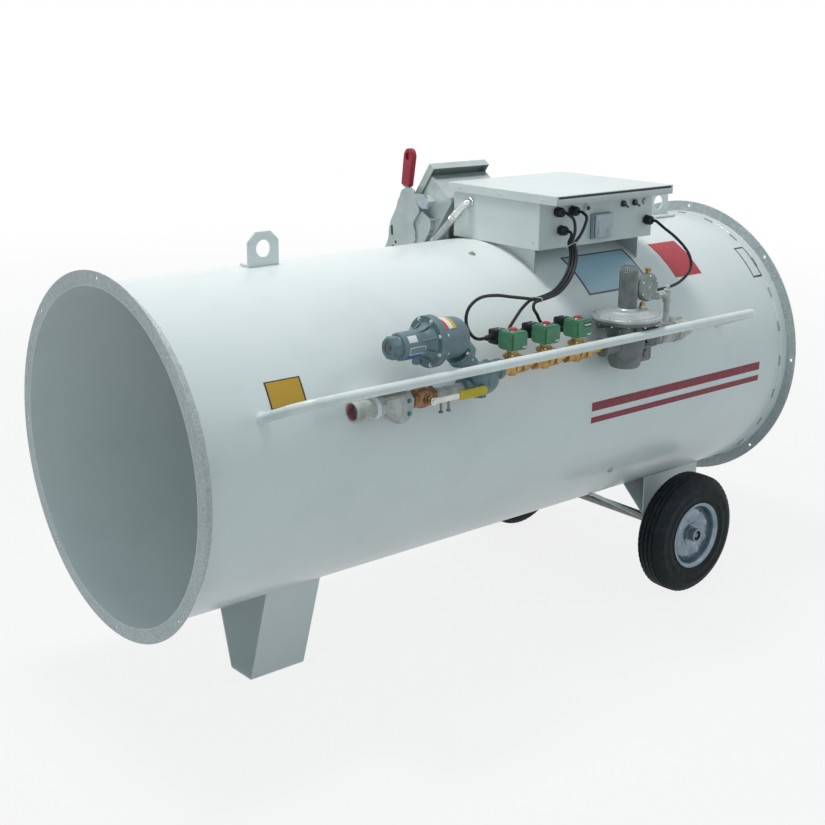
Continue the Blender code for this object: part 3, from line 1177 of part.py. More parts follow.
def make_fan():
    alloy = paint("fan_alloy", (0.5, 0.52, 0.53), 0.4, 0.9)
    motor_paint = paint("motor_grey", (0.1, 0.12, 0.14), 0.5)
    zinc = galvanised()
    centre = (0, 0, AXIS_HEIGHT)
    hub_end = FAN_X + FAN_HUB_LENGTH
    hub = turned([(SHAFT_RADIUS + GAP, FAN_X), (FAN_HUB_RADIUS, FAN_X), (FAN_HUB_RADIUS, hub_end),
                  (SHAFT_RADIUS + GAP, hub_end)], centre, (1, 0, 0), 16)
    for index in range(FAN_BLADES):
        join(hub, make_blade(360 * index / FAN_BLADES + 18))
    cut(hub,
        rod(SHAFT_RADIUS + GAP, (FAN_X - OVERRUN, 0, AXIS_HEIGHT), (hub_end + OVERRUN, 0, AXIS_HEIGHT), 16))
    named(hub, "fan_rotor", alloy, (FAN_X + FAN_HUB_LENGTH / 2, 0, AXIS_HEIGHT))
    far = MOTOR_X + MOTOR_LENGTH
    bell = MOTOR_RADIUS * 0.35
    profile = [(0, FAN_X - SHROUD_SHEET), (SHAFT_RADIUS, FAN_X - SHROUD_SHEET), (SHAFT_RADIUS, MOTOR_X),
               (MOTOR_RADIUS * 0.45, MOTOR_X), (MOTOR_RADIUS * 0.92, MOTOR_X + bell * 0.5),
               (MOTOR_RADIUS, MOTOR_X + bell), (MOTOR_RADIUS, far - bell),
               (MOTOR_RADIUS * 0.92, far - bell * 0.4),
               (MOTOR_RADIUS * 0.5, far), (0, far)]
    motor = turned(profile, centre, (1, 0, 0), 20)
    foot_z = AXIS_HEIGHT - MOTOR_FOOT_HEIGHT
    join(motor, block((MOTOR_X + bell, -MOTOR_FOOT_HALF, foot_z),
                      (far - bell, MOTOR_FOOT_HALF, foot_z + MOTOR_FOOT_HEIGHT * 0.4)))
    join(motor, block((MOTOR_X + bell * 1.5, 0, AXIS_HEIGHT), (far - bell * 1.5, MOTOR_RADIUS * 1.35,
                                                               AXIS_HEIGHT + MOTOR_RADIUS * 0.45)))
    named(motor, "fan_motor", motor_paint)
    top = foot_z - GAP
    floor = AXIS_HEIGHT - SHELL_RADIUS
    start = MOTOR_X + PEDESTAL_INSET
    end = far - PEDESTAL_INSET
    sheet = PEDESTAL_SHEET
    outline = [(start, floor), (start + sheet, floor), (start + sheet, top - sheet),
               (end - sheet, top - sheet),
               (end - sheet, floor), (end, floor), (end, top), (start, top)]
    pedestal = prism(outline, "Y", -PEDESTAL_HALF, PEDESTAL_HALF)
    named(seat_inside(pedestal), "motor_pedestal", zinc)
    tip = FAN_RADIUS + SHROUD_CLEARANCE
    sheet = SHROUD_SHEET
    wall = SHELL_INNER - GAP
    start = FAN_X - SHROUD_SHEET
    profile = [(wall, start), (wall, start + sheet), (tip + sheet, start + sheet),
               (tip + sheet, start + SHROUD_LENGTH), (tip, start + SHROUD_LENGTH), (tip, start)]
    named(turned(profile, centre, (1, 0, 0), DUCT_SIDES), "fan_shroud", zinc)


def make_guard():
    zinc = galvanised()
    outer = SHELL_INNER * math.cos(math.pi / DUCT_SIDES) - GAP
    rows = GUARD_RINGS * 2 - 1
    free = (outer - GUARD_CENTRE - GUARD_WIRE * GUARD_RINGS) / (GUARD_RINGS - 1)
    stations = [GUARD_CENTRE]
    for row in range(rows):
        stations.append(stations[-1] + (GUARD_WIRE if row % 2 == 0 else free))
    columns = GUARD_SPOKES * 3

    def guard_spot(column, row, face):
        radius = stations[row]
        spoke, place = divmod(column, 3)
        angle = math.tau * spoke / GUARD_SPOKES
        half = math.asin(GUARD_WIRE / 2 / radius)
        step = math.tau / GUARD_SPOKES
        angle += (-half, half, step / 2)[place]
        x = INLET_X - GUARD_INSET - face * GUARD_SHEET
        return (x, radius * math.cos(angle), AXIS_HEIGHT + radius * math.sin(angle))

    guard = lattice(guard_spot, columns, rows, lambda column, row: column % 3 != 0 and row % 2 == 1)
    return named(guard, "fan_guard", zinc)


def make_control_box():
    white = paint("box_white", (0.72, 0.76, 0.77), 0.4)
    end_x = BOX_X + BOX_LENGTH
    sheet = BOX_SHEET
    body = block((BOX_X, BOX_FRONT_Y, BOX_BOTTOM), (end_x, BOX_REAR_Y, BOX_TOP))
    cut(body, block((BOX_X + sheet, BOX_FRONT_Y + sheet, BOX_BOTTOM + sheet),
                    (end_x - sheet, BOX_REAR_Y - sheet, BOX_TOP + OVERRUN)))
    for gusset_x in (BOX_X + BOX_GUSSET_INSET, end_x - BOX_GUSSET_INSET - BOX_GUSSET_SHEET):
        edge = BOX_GUSSET_EDGE_Y
        outline = [(0, BOX_BOTTOM + sheet / 2), (edge, BOX_BOTTOM + sheet / 2),
                   (edge, AXIS_HEIGHT + math.sqrt(SHELL_RADIUS**2 - edge**2) - OVERRUN), (0, AXIS_HEIGHT)]
        join(body, prism(outline, "X", gusset_x, gusset_x + BOX_GUSSET_SHEET))
    front = BOX_FRONT_Y
    inside = front + sheet / 2
    collar = front - BUTTON_COLLAR_DEPTH
    join(body,
         rod(BUTTON_COLLAR_RADIUS, (BUTTON_X, inside, CONTROL_TOP_Z), (BUTTON_X, collar, CONTROL_TOP_Z)))
    cut(body, rod(BUTTON_RADIUS + RUNNING_GAP, (BUTTON_X, front, CONTROL_TOP_Z),
                  (BUTTON_X, collar - OVERRUN, CONTROL_TOP_Z)))
    for toggle_x in TOGGLE_XS:
        nut = front - TOGGLE_NUT_DEPTH
        join(body,
             rod(TOGGLE_NUT_RADIUS, (toggle_x, inside, CONTROL_TOP_Z), (toggle_x, nut, CONTROL_TOP_Z), 6))
        cut(body, rod(TOGGLE_SOCKET_RADIUS, (toggle_x, front, CONTROL_TOP_Z),
                      (toggle_x, nut - OVERRUN, CONTROL_TOP_Z)))
    join(body,
         rod(LAMP_RADIUS, (LAMP_X, inside, CONTROL_TOP_Z), (LAMP_X, front - LAMP_DEPTH, CONTROL_TOP_Z), 12))
    seat_outside(body)
    named(body, "control_box", white)
    low = (BOX_X - LID_SIDE, BOX_FRONT_Y - LID_FRONT, BOX_TOP - LID_LIP)
    high = (end_x + LID_SIDE, BOX_REAR_Y + LID_REAR, BOX_TOP + sheet + GAP)
    lid = block(low, high)
    cut(lid, block((low[0] + sheet, low[1] + sheet, low[2] - OVERRUN),
                   (high[0] - sheet, high[1] - sheet, BOX_TOP + GAP)))
    named(lid, "control_box_lid", white)
    floor = front - (BUTTON_COLLAR_DEPTH - BUTTON_PROUD) + BUTTON_TRAVEL / 2
    button = rod(BUTTON_RADIUS, (BUTTON_X, floor, CONTROL_TOP_Z),
                 (BUTTON_X, collar - BUTTON_PROUD, CONTROL_TOP_Z), 16)
    named(button, "push_button", paint("plug_black", (0.02, 0.025, 0.028), 0.5),
          (BUTTON_X, collar, CONTROL_TOP_Z))
    chrome = paint("chrome", (0.75, 0.77, 0.78), 0.15, 1.0)
    for number, toggle_x in enumerate(TOGGLE_XS, 1):
        pivot = Vector((toggle_x, front - TOGGLE_BALL_RADIUS - GAP, CONTROL_TOP_Z))
        lean = math.radians(TOGGLE_REST_ANGLE)
        heading = Vector((0, -math.cos(lean), -math.sin(lean)))
        profile = [(0, -TOGGLE_BALL_RADIUS), (TOGGLE_BALL_RADIUS * 0.8, -TOGGLE_BALL_RADIUS * 0.6),
                   (TOGGLE_BALL_RADIUS, 0), (TOGGLE_LEVER_RADIUS * 0.8, TOGGLE_BALL_RADIUS),
                   (TOGGLE_TIP_RADIUS, TOGGLE_LENGTH * 0.85), (TOGGLE_TIP_RADIUS * 0.7, TOGGLE_LENGTH),
                   (0, TOGGLE_LENGTH)]
        named(turned(profile, pivot, heading, 10), f"toggle_lever_{number}", chrome, pivot)


def make_receptacle():
    grey = paint("socket_grey", (0.4, 0.48, 0.5), 0.4, 0.3)
    near = BOX_FRONT_Y - GAP
    face = near - SOCKET_DEPTH
    end_x = SOCKET_X + SOCKET_LENGTH
    top = SOCKET_BOTTOM + SOCKET_HEIGHT
    frame = block((SOCKET_X, face, SOCKET_BOTTOM), (end_x, near, top))
    border = SOCKET_BORDER
    cut(frame, block((SOCKET_X + border, face - OVERRUN, SOCKET_BOTTOM + border),
                     (end_x - border, face + SOCKET_RECESS, top - border)))
    named(frame, "receptacle", grey)
    pin_y = face - FLAP_SHEET / 2 - GAP
    pin_z = top - FLAP_PIN_RADIUS
    flap = block((SOCKET_X + border / 2, face - FLAP_SHEET - GAP, SOCKET_BOTTOM + border / 2),
                 (end_x - border / 2, face - GAP, pin_z))
    soften(flap, FLAP_SHEET / 3)
    join(flap,
         rod(FLAP_PIN_RADIUS, (SOCKET_X + border / 2, pin_y, pin_z), (end_x - border / 2, pin_y, pin_z), 12))
    named(flap, "receptacle_flap", grey, (SOCKET_X, pin_y, pin_z))


def leaning(depth, height, x=0.0):
    """A point of the disconnect: depth out from its back, height up along its back, from its lower edge."""
    foot = duct_point(0, -(SHELL_RADIUS + GAP), -DISCONNECT_FOOT_ANGLE)
    lean = math.radians(LEAN)
    out = Vector((0, math.cos(lean), math.sin(lean)))
    up = Vector((0, -math.sin(lean), math.cos(lean)))
    spot = foot + out * depth + up * height
    return Vector((x, spot.y, spot.z))


def leaning_prism(outline, low_x, high_x):
    spots = [leaning(depth, height) for depth, height in outline]
    return prism([(spot.y, spot.z) for spot in spots], "X", low_x, high_x)


def make_disconnect():
    grey = paint("disconnect_grey", (0.38, 0.44, 0.45), 0.45, 0.2)
    red = paint("grip_red", (0.45, 0.02, 0.04), 0.4)
    end_x = DISCONNECT_X + DISCONNECT_LENGTH
    deep = DISCONNECT_DEPTH
    high = DISCONNECT_HEIGHT
    sheet = DISCONNECT_SHEET
    box = leaning_prism([(0, 0), (deep, 0), (deep, high), (0, high)], DISCONNECT_X, end_x)
    cut(box, leaning_prism([(sheet, sheet), (deep + OVERRUN, sheet), (deep + OVERRUN, high - sheet),
                            (sheet, high - sheet)], DISCONNECT_X + sheet, end_x - sheet))
    fuse_low = high * 0.25
    fuse_high = high * 0.75
    join(box, leaning_prism([(sheet / 2, fuse_low), (deep * 0.45, fuse_low), (deep * 0.45, fuse_high),
                             (sheet / 2, fuse_high)], DISCONNECT_X + DISCONNECT_LENGTH * 0.3,
                            end_x - DISCONNECT_LENGTH * 0.3))
    outer = DISCONNECT_X - SIDE_SPACE

    def beside_pivot(shares):
        return [(PIVOT_DEPTH + SIDE_PLATE_REACH * along, PIVOT_HEIGHT + SIDE_PLATE_REACH * rise)
                for along, rise in shares]

    join(box, leaning_prism(beside_pivot(SIDE_PLATE_SHARES), outer, outer + GUARD_PLATE))
    join(box,
         leaning_prism(beside_pivot(SIDE_LUG_SHARES), outer + GUARD_PLATE / 2, DISCONNECT_X + sheet / 2))
    join(box, leaning_prism([(deep - DOOR_LEAF, high * 0.05), (deep, high * 0.05), (deep, high * 0.95),
                             (deep - DOOR_LEAF, high * 0.95)], end_x - sheet / 2, end_x + DOOR_SIDE * 3))
    for gusset_x in (DISCONNECT_X + SADDLE_INSET, end_x - SADDLE_INSET):
        join(box, leaning_prism([(sheet / 2, sheet), (sheet / 2, SADDLE_HEIGHT), (-SADDLE_DEPTH, 0)],
                                gusset_x, gusset_x + SADDLE_SHEET))
    named(seat_outside(box), "disconnect_box", grey)
    front = deep + GAP
    face = front + DOOR_DEPTH
    hood = high + DOOR_HOOD
    low_x = DISCONNECT_X - DOOR_SIDE
    high_x = end_x + DOOR_SIDE
    door = leaning_prism([(front, -DOOR_DROP), (face, -DOOR_DROP), (face, hood), (front, hood)], low_x,
                         high_x)
    cut(door, leaning_prism([(front - OVERRUN, -DOOR_DROP + sheet), (face - sheet, -DOOR_DROP + sheet),
                             (face - sheet, hood - sheet), (front - OVERRUN, hood - sheet)],
                            low_x + sheet, high_x - sheet))
    pin = DOOR_PIN_RADIUS
    join(door, rod(pin, leaning(front + pin, high * 0.05, high_x + pin * 0.6),
                   leaning(front + pin, high * 0.95, high_x + pin * 0.6), 10))
    named(door, "disconnect_door", grey, leaning(front + pin, high / 2, high_x + pin * 0.6))
    pivot = leaning(PIVOT_DEPTH, PIVOT_HEIGHT)
    hub_outer = DISCONNECT_X - GAP
    arm_x = DISCONNECT_X - SIDE_SPACE / 2
    grip_foot = Vector((PIVOT_DEPTH + GRIP_FOOT_DEPTH, PIVOT_HEIGHT + GRIP_FOOT_HEIGHT))
    grip_run = Vector((math.cos(math.radians(GRIP_ANGLE)), math.sin(math.radians(GRIP_ANGLE))))

    def strip(start, end, half):
        run = (end - start).normalized()
        aside = Vector((-run.y, run.x)) * half
        return [start - aside, end - aside, end + aside, start + aside]

    hub = rod(LEVER_HUB_RADIUS, (hub_outer, pivot.y, pivot.z), (arm_x - LEVER_PLATE / 2, pivot.y, pivot.z),
              20)
    arm_end = grip_foot + grip_run * GRIP_HALF
    join(hub, leaning_prism(strip(Vector((PIVOT_DEPTH, PIVOT_HEIGHT)), arm_end, LEVER_ARM_HALF),
                            arm_x - LEVER_PLATE / 2, arm_x + LEVER_PLATE / 2))
    grip = leaning_prism(strip(grip_foot, grip_foot + grip_run * GRIP_LENGTH, GRIP_HALF),
                         arm_x - GRIP_THICKNESS / 2, arm_x + GRIP_THICKNESS / 2)
    soften(grip, GRIP_THICKNESS * 0.3)
    join(hub, grip)
    named(hub, "disconnect_lever", red, (arm_x, pivot.y, pivot.z))


def make_conduit():
    zinc = galvanised()
    foot_z = AXIS_HEIGHT + math.sqrt(SHELL_RADIUS**2 - CONDUIT_FOOT_Y**2)
    wall = BOX_X - GAP
    start = Vector((wall, CONDUIT_Y, CONDUIT_Z))
    elbow = Vector((CONDUIT_X, CONDUIT_Y, CONDUIT_Z))
    foot = Vector((CONDUIT_X, CONDUIT_FOOT_Y, foot_z))
    inward = (foot - elbow).normalized() * OVERRUN * 3
    path = rounded([start, elbow, foot + inward], CONDUIT_BEND, 4)
    conduit = swept(path, CONDUIT_RADIUS, 10)
    join(conduit, rod(CONDUIT_NUT_RADIUS, start, start - Vector((CONDUIT_NUT_LENGTH / 3, 0, 0)), 8))
    run = (foot - elbow).normalized()
    nut = elbow + run * CONDUIT_NUT_LENGTH * 3
    join(conduit, rod(CONDUIT_NUT_RADIUS, nut, nut + run * CONDUIT_NUT_LENGTH, 8))
    named(seat_outside(conduit), "conduit", zinc)


def make_cable(name, gland, route, last):
    black = paint("cable_black", (0.015, 0.018, 0.02), 0.55)
    wall = Vector((BOX_X + gland[0], BOX_FRONT_Y - GAP, BOX_BOTTOM + gland[1]))
    start = Vector((wall.x, BOX_FRONT_Y - BOX_GLAND_LENGTH, wall.z))
    path = smooth_route([start, *route, last], CABLE_STEP)
    cable = swept(path, CABLE_RADIUS, 8)
    profile = [(0, 0), (BOX_GLAND_RADIUS, 0), (BOX_GLAND_RADIUS, BOX_GLAND_LENGTH * 0.35),
               (BOX_GLAND_RADIUS * 0.85, BOX_GLAND_LENGTH * 0.4),
               (BOX_GLAND_RADIUS * 0.85, BOX_GLAND_LENGTH * 0.8),
               (CABLE_RADIUS * 1.15, BOX_GLAND_LENGTH), (CABLE_RADIUS * 1.15, BOX_GLAND_LENGTH * 1.1),
               (0, BOX_GLAND_LENGTH * 1.1)]
    join(cable, turned(profile, wall, (0, -1, 0), 12))
    named(cable, name, black)


# Cable routes, chosen by hand, in metres: the bundle and the leads from the control box's lower front corner,
# the tails from the gland or switch where they end. The three valve cables share the bundle between its ties.
BUNDLE = [
    (0.071, -0.067, 0.0245), (0.063, -0.082, 0.0035), (0.048, -0.097, -0.0205), (0.023, -0.112, -0.0465),
    (-0.016, -0.127, -0.0735), (-0.062, -0.137, -0.0955), (-0.117, -0.147, -0.1025),
    (-0.154, -0.152, -0.1035)]
VALVE_CABLES = [
    ("valve_cable_1", (0.072, 0.1095), 0,
     [(0.073, -0.043, 0.1085), (0.081, -0.062, 0.0925), (0.083, -0.067, 0.0585)],
     [(0.182, 0.0137, 0.085), (0.103, 0.0087, 0.101), (0.043, 0.0057, 0.113), (-0.016, 0.0027, 0.115),
      (-0.056, 0.0002, 0.099), (-0.072, -0.0003, 0.072), (-0.068, -0.0003, 0.04),
      (-0.048, -0.0003, 0.013), (-0.026, -0.0003, 0.0015)]),
    ("valve_cable_2", (0.089, 0.0535), 1,
     [(0.089, -0.043, 0.052), (0.084, -0.053, 0.0415)],
     [(0.0565, 0.0237, 0.074), (0.0225, 0.0137, 0.061), (-0.0065, 0.0047, 0.044),
      (-0.0315, -0.0003, 0.024), (-0.0395, -0.0003, 0.01), (-0.0275, -0.0003, 0.0005)]),
    ("valve_cable_3", (0.135, 0.1085), -1,
     [(0.136, -0.045, 0.1075), (0.131, -0.067, 0.0955), (0.114, -0.076, 0.0725), (0.095, -0.0775, 0.0465)],
     [(-0.063, 0.0067, 0.072), (-0.069, 0.0027, 0.058), (-0.057, 0.0007, 0.04), (-0.046, -0.0003, 0.021),
      (-0.024, -0.0003, 0.0005)]),
]
SWITCH_GLAND = (0.477, 0.0525)
SWITCH_LEAD = [
    (0.477, -0.045, 0.052), (0.473, -0.081, 0.0355), (0.479, -0.117, 0.0145), (0.49, -0.147, -0.0135),
    (0.496, -0.167, -0.0405)]
SWITCH_TAIL = [
    (0.2257, 0.041, 0.035), (0.2067, 0.035, 0.012), (0.1637, 0.031, -0.01), (0.1127, 0.027, -0.019),
    (0.0627, 0.025, -0.021), (0.0227, 0.025, -0.021)]


def moved(points, base):
    return [tuple(place + shift for place, shift in zip(point, base)) for point in points]


def make_cables():
    corner = (BOX_X, BOX_FRONT_Y, BOX_BOTTOM)
    for number, (name, gland, lane, lead, tail) in enumerate(VALVE_CABLES, 1):
        shared = moved(moved(BUNDLE, corner), (0, lane * BUNDLE_STEP, 0))
        end = gland_spot(number)
        make_cable(name, gland, moved(lead, corner) + shared + moved(tail, end), end)
    side = (SWITCH_X + SWITCH_HOUSING_HALF + GAP, RUN_Y, SWITCH_Z)
    route = moved(SWITCH_LEAD, corner) + moved(SWITCH_TAIL, side)
    last = (side[0], RUN_Y + SWITCH_THICKNESS / 2 + SWITCH_HOUSING_DEPTH / 2, route[-1][2])
    make_cable("switch_cable", SWITCH_GLAND, route, last)


def main():
    for item in list(bpy.data.objects):
        bpy.data.objects.remove(item, do_unlink=True)
    make_duct()
    make_lug("lifting_lug_front", LUG_FRONT_X, 1)
    make_lug("lifting_lug_rear", LUG_REAR_X, -1)
    make_front_leg()
    make_axle()
    for suffix, side in (("gas_side", -1), ("switch_side", 1)):
        make_axle_bracket(f"axle_bracket_{suffix}", side)
        make_wheel(suffix, side)
    make_guard_rail()
    make_supply()
    make_high_regulator()
    for number in range(1, VALVE_COUNT + 1):
        make_solenoid_valve(number)
    make_low_regulator()
    make_outlet()
    make_burner()
    make_fan()
    make_guard()
    make_control_box()
    make_receptacle()
    make_disconnect()
    make_conduit()
    make_cables()


main()
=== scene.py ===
import json
from math import atan2, copysign, cos, hypot, pi, radians, sin, sqrt, tan, tau
import bmesh
import bpy
from mathutils import Matrix, Quaternion, Vector

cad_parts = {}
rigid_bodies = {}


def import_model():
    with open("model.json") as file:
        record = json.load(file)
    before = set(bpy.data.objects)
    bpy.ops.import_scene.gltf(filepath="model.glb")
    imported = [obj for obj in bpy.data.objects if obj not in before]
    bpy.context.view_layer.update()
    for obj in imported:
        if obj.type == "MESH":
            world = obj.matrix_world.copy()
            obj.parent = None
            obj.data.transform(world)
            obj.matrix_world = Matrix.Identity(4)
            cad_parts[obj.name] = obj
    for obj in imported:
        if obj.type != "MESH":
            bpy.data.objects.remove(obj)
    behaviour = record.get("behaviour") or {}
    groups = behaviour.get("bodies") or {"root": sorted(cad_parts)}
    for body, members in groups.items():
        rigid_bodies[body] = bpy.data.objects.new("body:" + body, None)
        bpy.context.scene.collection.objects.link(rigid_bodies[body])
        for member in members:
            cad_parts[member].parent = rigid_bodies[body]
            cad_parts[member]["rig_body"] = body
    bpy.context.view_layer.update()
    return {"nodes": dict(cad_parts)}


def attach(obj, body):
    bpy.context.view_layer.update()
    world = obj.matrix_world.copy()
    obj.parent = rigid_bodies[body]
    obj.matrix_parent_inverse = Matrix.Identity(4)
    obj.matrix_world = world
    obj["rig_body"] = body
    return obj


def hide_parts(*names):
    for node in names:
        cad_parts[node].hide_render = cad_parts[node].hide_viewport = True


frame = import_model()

# A direct fired duct heater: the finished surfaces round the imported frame.
# Metres, +X from the outlet to the air inlet, +Z up, the gas train on the -Y side.

fixed = "heater_frame"  # the body that everything still rides on
hair = 0.0003  # the gap between pieces that touch


def srgb(red, green, blue):
    # a colour as a screen shows it, made linear for the shaders
    shares = (red / 255, green / 255, blue / 255)
    return [s / 12.92 if s <= 0.04045 else ((s + 0.055) / 1.055) ** 2.4 for s in shares]


# Mesh making

def axesOf(direction):
    forward = Vector(direction).normalized()
    side = Vector((0, 1, 0)) if abs(forward.x) > 0.9 else Vector((1, 0, 0))
    side = (side - forward * side.dot(forward)).normalized()
    return side, forward.cross(side), forward


def addTurned(mesh, profile, centre, direction=(1, 0, 0), sides=48, turn=0.0):
    # (radius, along) points; with no point on the axis the profile closes on itself
    side, up, forward = axesOf(direction)
    middle = Vector(centre)
    rings = []
    for radius, along in profile:
        spot = middle + forward * along
        count = sides if radius > 0 else 1
        angles = [turn + tau * index / sides for index in range(count)]
        rings.append([mesh.verts.new(spot + (side * cos(a) + up * sin(a)) * radius) for a in angles])
    pairs = list(zip(rings, rings[1:]))
    if profile[0][0] > 0:
        pairs.append((rings[-1], rings[0]))
    made = []
    for first, second in pairs:
        for index in range(sides):
            after = (index + 1) % sides
            corners = [first[index % len(first)], first[after % len(first)], second[after % len(second)],
                second[index % len(second)]]
            made.append(mesh.faces.new(list(dict.fromkeys(corners))))
    return made


def addRod(mesh, radius, start, end, sides=32, edge=0.0, turn=0.0):
    span = Vector(end) - Vector(start)
    far = span.length
    profile = [(0, 0), (radius, 0), (radius, far), (0, far)]
    if edge > 0:
        profile = [(0, 0), (radius - edge, 0), (radius, edge), (radius, far - edge), (radius - edge, far), (0, far)]
    return addTurned(mesh, profile, start, span, sides, turn)


def addPrism(mesh, outline, axis, low, high, edge=0.0, steps=2):
    # a flat outline along X, Y or Z; its points are the other two coordinates in their order
    ends = []
    for level in (low, high):
        spots = []
        for pair in outline:
            spot = list(pair)
            spot.insert("XYZ".index(axis), level)
            spots.append(mesh.verts.new(spot))
        ends.append(spots)
    addWalls(mesh, ends, edge, steps)


def addWalls(mesh, ends, edge, steps=2):
    # a bar's two end faces, its sides and its rounded edges
    made = [mesh.faces.new(spots) for spots in ends]
    count = len(ends[0])
    for index in range(count):
        after = (index + 1) % count
        made.append(mesh.faces.new((ends[0][index], ends[0][after], ends[1][after], ends[1][index])))
    if edge > 0:
        edges = list({line for face in made for line in face.edges})
        bmesh.ops.bevel(mesh, geom=edges, offset=edge, segments=steps, affect="EDGES", clamp_overlap=True)


def addBlock(mesh, low, high, edge=0.0, steps=2):
    corners = [(low[0], low[1]), (high[0], low[1]), (high[0], high[1]), (low[0], high[1])]
    addPrism(mesh, corners, "Z", low[2], high[2], edge, steps)


def addTube(mesh, path, radius, sides=16, bulge=None):
    # a round bar along a path; bulge gives a radius share at each point
    path = [Vector(point) for point in path]
    heading = (path[1] - path[0]).normalized()
    side, up, _ = axesOf(heading)
    rings = []
    for index, point in enumerate(path):
        ahead = (path[min(index + 1, len(path) - 1)] - path[max(index - 1, 0)]).normalized()
        bend = heading.rotation_difference(ahead)
        side, up, heading = bend @ side, bend @ up, ahead
        size = radius * (bulge(index / (len(path) - 1)) if bulge else 1)
        angles = [tau * step / sides for step in range(sides)]
        rings.append([mesh.verts.new(point + (side * cos(a) + up * sin(a)) * size) for a in angles])
    for first, second in zip(rings, rings[1:]):
        for step in range(sides):
            after = (step + 1) % sides
            mesh.faces.new((first[step], first[after], second[after], second[step]))
    mesh.faces.new(rings[0])
    mesh.faces.new(rings[-1])


def rounded(corners, radius, steps=10):
    # the inner corners of a path become arcs
    path = [Vector(corner) for corner in corners]
    made = [path[0]]
    for before, corner, after in zip(path, path[1:], path[2:]):
        back, ahead = (before - corner).normalized(), (after - corner).normalized()
        half = back.angle(ahead) / 2
        centre = corner + (back + ahead).normalized() * (radius / sin(half))
        start = corner + back * (radius / tan(half)) - centre
        swing = start.rotation_difference(corner + ahead * (radius / tan(half)) - centre)
        made += [centre + Quaternion().slerp(swing, step / steps) @ start for step in range(steps + 1)]
    return made + [path[-1]]


def smoothPath(points, spacing):
    # evenly spaced points on one smooth curve through the given ones
    anchors = [Vector(point) for point in points]
    anchors = [anchors[0] * 2 - anchors[1]] + anchors + [anchors[-1] * 2 - anchors[-2]]
    fine = []
    for a, b, c, d in zip(anchors, anchors[1:], anchors[2:], anchors[3:]):
        for step in range(24):
            t = step / 24
            fine.append((b * 2 + (c - a) * t + (a * 2 - b * 5 + c * 4 - d) * t * t + (b * 3 - a - c * 3
                + d) * t * t * t) / 2)
    fine.append(anchors[-2])
    pitch = sum((q - p).length for p, q in zip(fine, fine[1:])) / spacing
    count = round(pitch)
    pitch = pitch * spacing / count
    made, travelled = [fine[0]], 0.0
    for p, q in zip(fine, fine[1:]):
        length = (q - p).length
        while len(made) < count and travelled + length >= pitch * len(made):
            made.append(p.lerp(q, (pitch * len(made) - travelled) / length))
        travelled += length
    return made + [fine[-1]]


def newItem(name, mesh):
    data = bpy.data.meshes.new(name)
    mesh.to_mesh(data)
    mesh.free()
    item = bpy.data.objects.new(name, data)
    bpy.context.scene.collection.objects.link(item)
    return item


def bakeModifiers(item):
    graph = bpy.context.evaluated_depsgraph_get()
    made = bpy.data.meshes.new_from_object(item.evaluated_get(graph))
    item.modifiers.clear()
    item.data = made
    return item


def finishPiece(mesh, name, material, slot=None, replaces=(), body=fixed, sharp=32, turnOut=True):
    if turnOut:
        bmesh.ops.recalc_face_normals(mesh, faces=mesh.faces)
    return settle(newItem(name, mesh), material, slot, replaces, body, sharp)


def shadeItem(item, sharp=32):
    item.data.shade_smooth()
    item.data.set_sharp_from_angle(angle=radians(sharp))


def settle(item, material, slot=None, replaces=(), body=fixed, sharp=32):
    # finish, shading and the body that it rides on
    if material is not None:
        item.data.materials.clear()
        item.data.materials.append(finish[material])
    shadeItem(item, sharp)
    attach(item, body)
    if replaces:
        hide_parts(*replaces)
    return item


def carve(item, *cutters):
    # cutters are meshes still in bmesh form
    for cutter in cutters:
        bmesh.ops.recalc_face_normals(cutter, faces=cutter.faces)
        tool = newItem("cutter", cutter)
        step = item.modifiers.new("carve", "BOOLEAN")
        step.operation, step.solver, step.object = "DIFFERENCE", "EXACT", tool
        bakeModifiers(item)
        bpy.data.objects.remove(tool)
    shadeItem(item)
    return item


def refined(node, material, edge=0.0008, slot=None, steps=2, sharp=32):
    # a CAD solid with the small round edges of the real piece
    source = frame["nodes"][node]
    mesh = bmesh.new()
    mesh.from_mesh(source.data)
    bmesh.ops.remove_doubles(mesh, verts=mesh.verts, dist=0.00002)
    bmesh.ops.dissolve_limit(mesh, angle_limit=radians(1), verts=mesh.verts, edges=mesh.edges)
    hard = [line for line in mesh.edges if line.is_manifold and line.calc_face_angle(0) > radians(sharp)]
    bmesh.ops.bevel(mesh, geom=hard, offset=edge, segments=steps, affect="EDGES", clamp_overlap=True)
    return finishPiece(mesh, node + "_skin", material, slot, (node,), source["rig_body"], sharp, turnOut=False)


def ductPoint(x, radius, degrees):
    # 0 degrees is the gas side, 90 the top
    angle = radians(degrees)
    return Vector((x, -radius * cos(angle), duct["axisZ"] + radius * sin(angle)))


# Geometry Nodes trees for what repeats

def nodeTree(name, inputs):
    tree = bpy.data.node_groups.new(name, "GeometryNodeTree")
    tree.interface.new_socket(name="Geometry", in_out="INPUT", socket_type="NodeSocketGeometry")
    for label, kind, value in inputs:
        socket = tree.interface.new_socket(name=label, in_out="INPUT", socket_type="NodeSocket" + kind)
        if value is not None:
            socket.default_value = value
    tree.interface.new_socket(name="Geometry", in_out="OUTPUT", socket_type="NodeSocketGeometry")
    return tree, tree.nodes.new("NodeGroupInput"), tree.nodes.new("NodeGroupOutput")


def place(tree, kind, links=None, **settings):
    # a node with its settings, its plain values and its links
    node = tree.nodes.new(kind)
    for key, value in settings.items():
        setattr(node, key, value)
    for socket, value in (links or {}).items():
        target = node.inputs[socket]
        if isinstance(value, bpy.types.NodeSocket):
            tree.links.new(value, target)
        else:
            target.default_value = value
    return node


def mathNode(tree, operation, first, second=0.0):
    return place(tree, "ShaderNodeMath", {0: first, 1: second}, operation=operation).outputs[0]


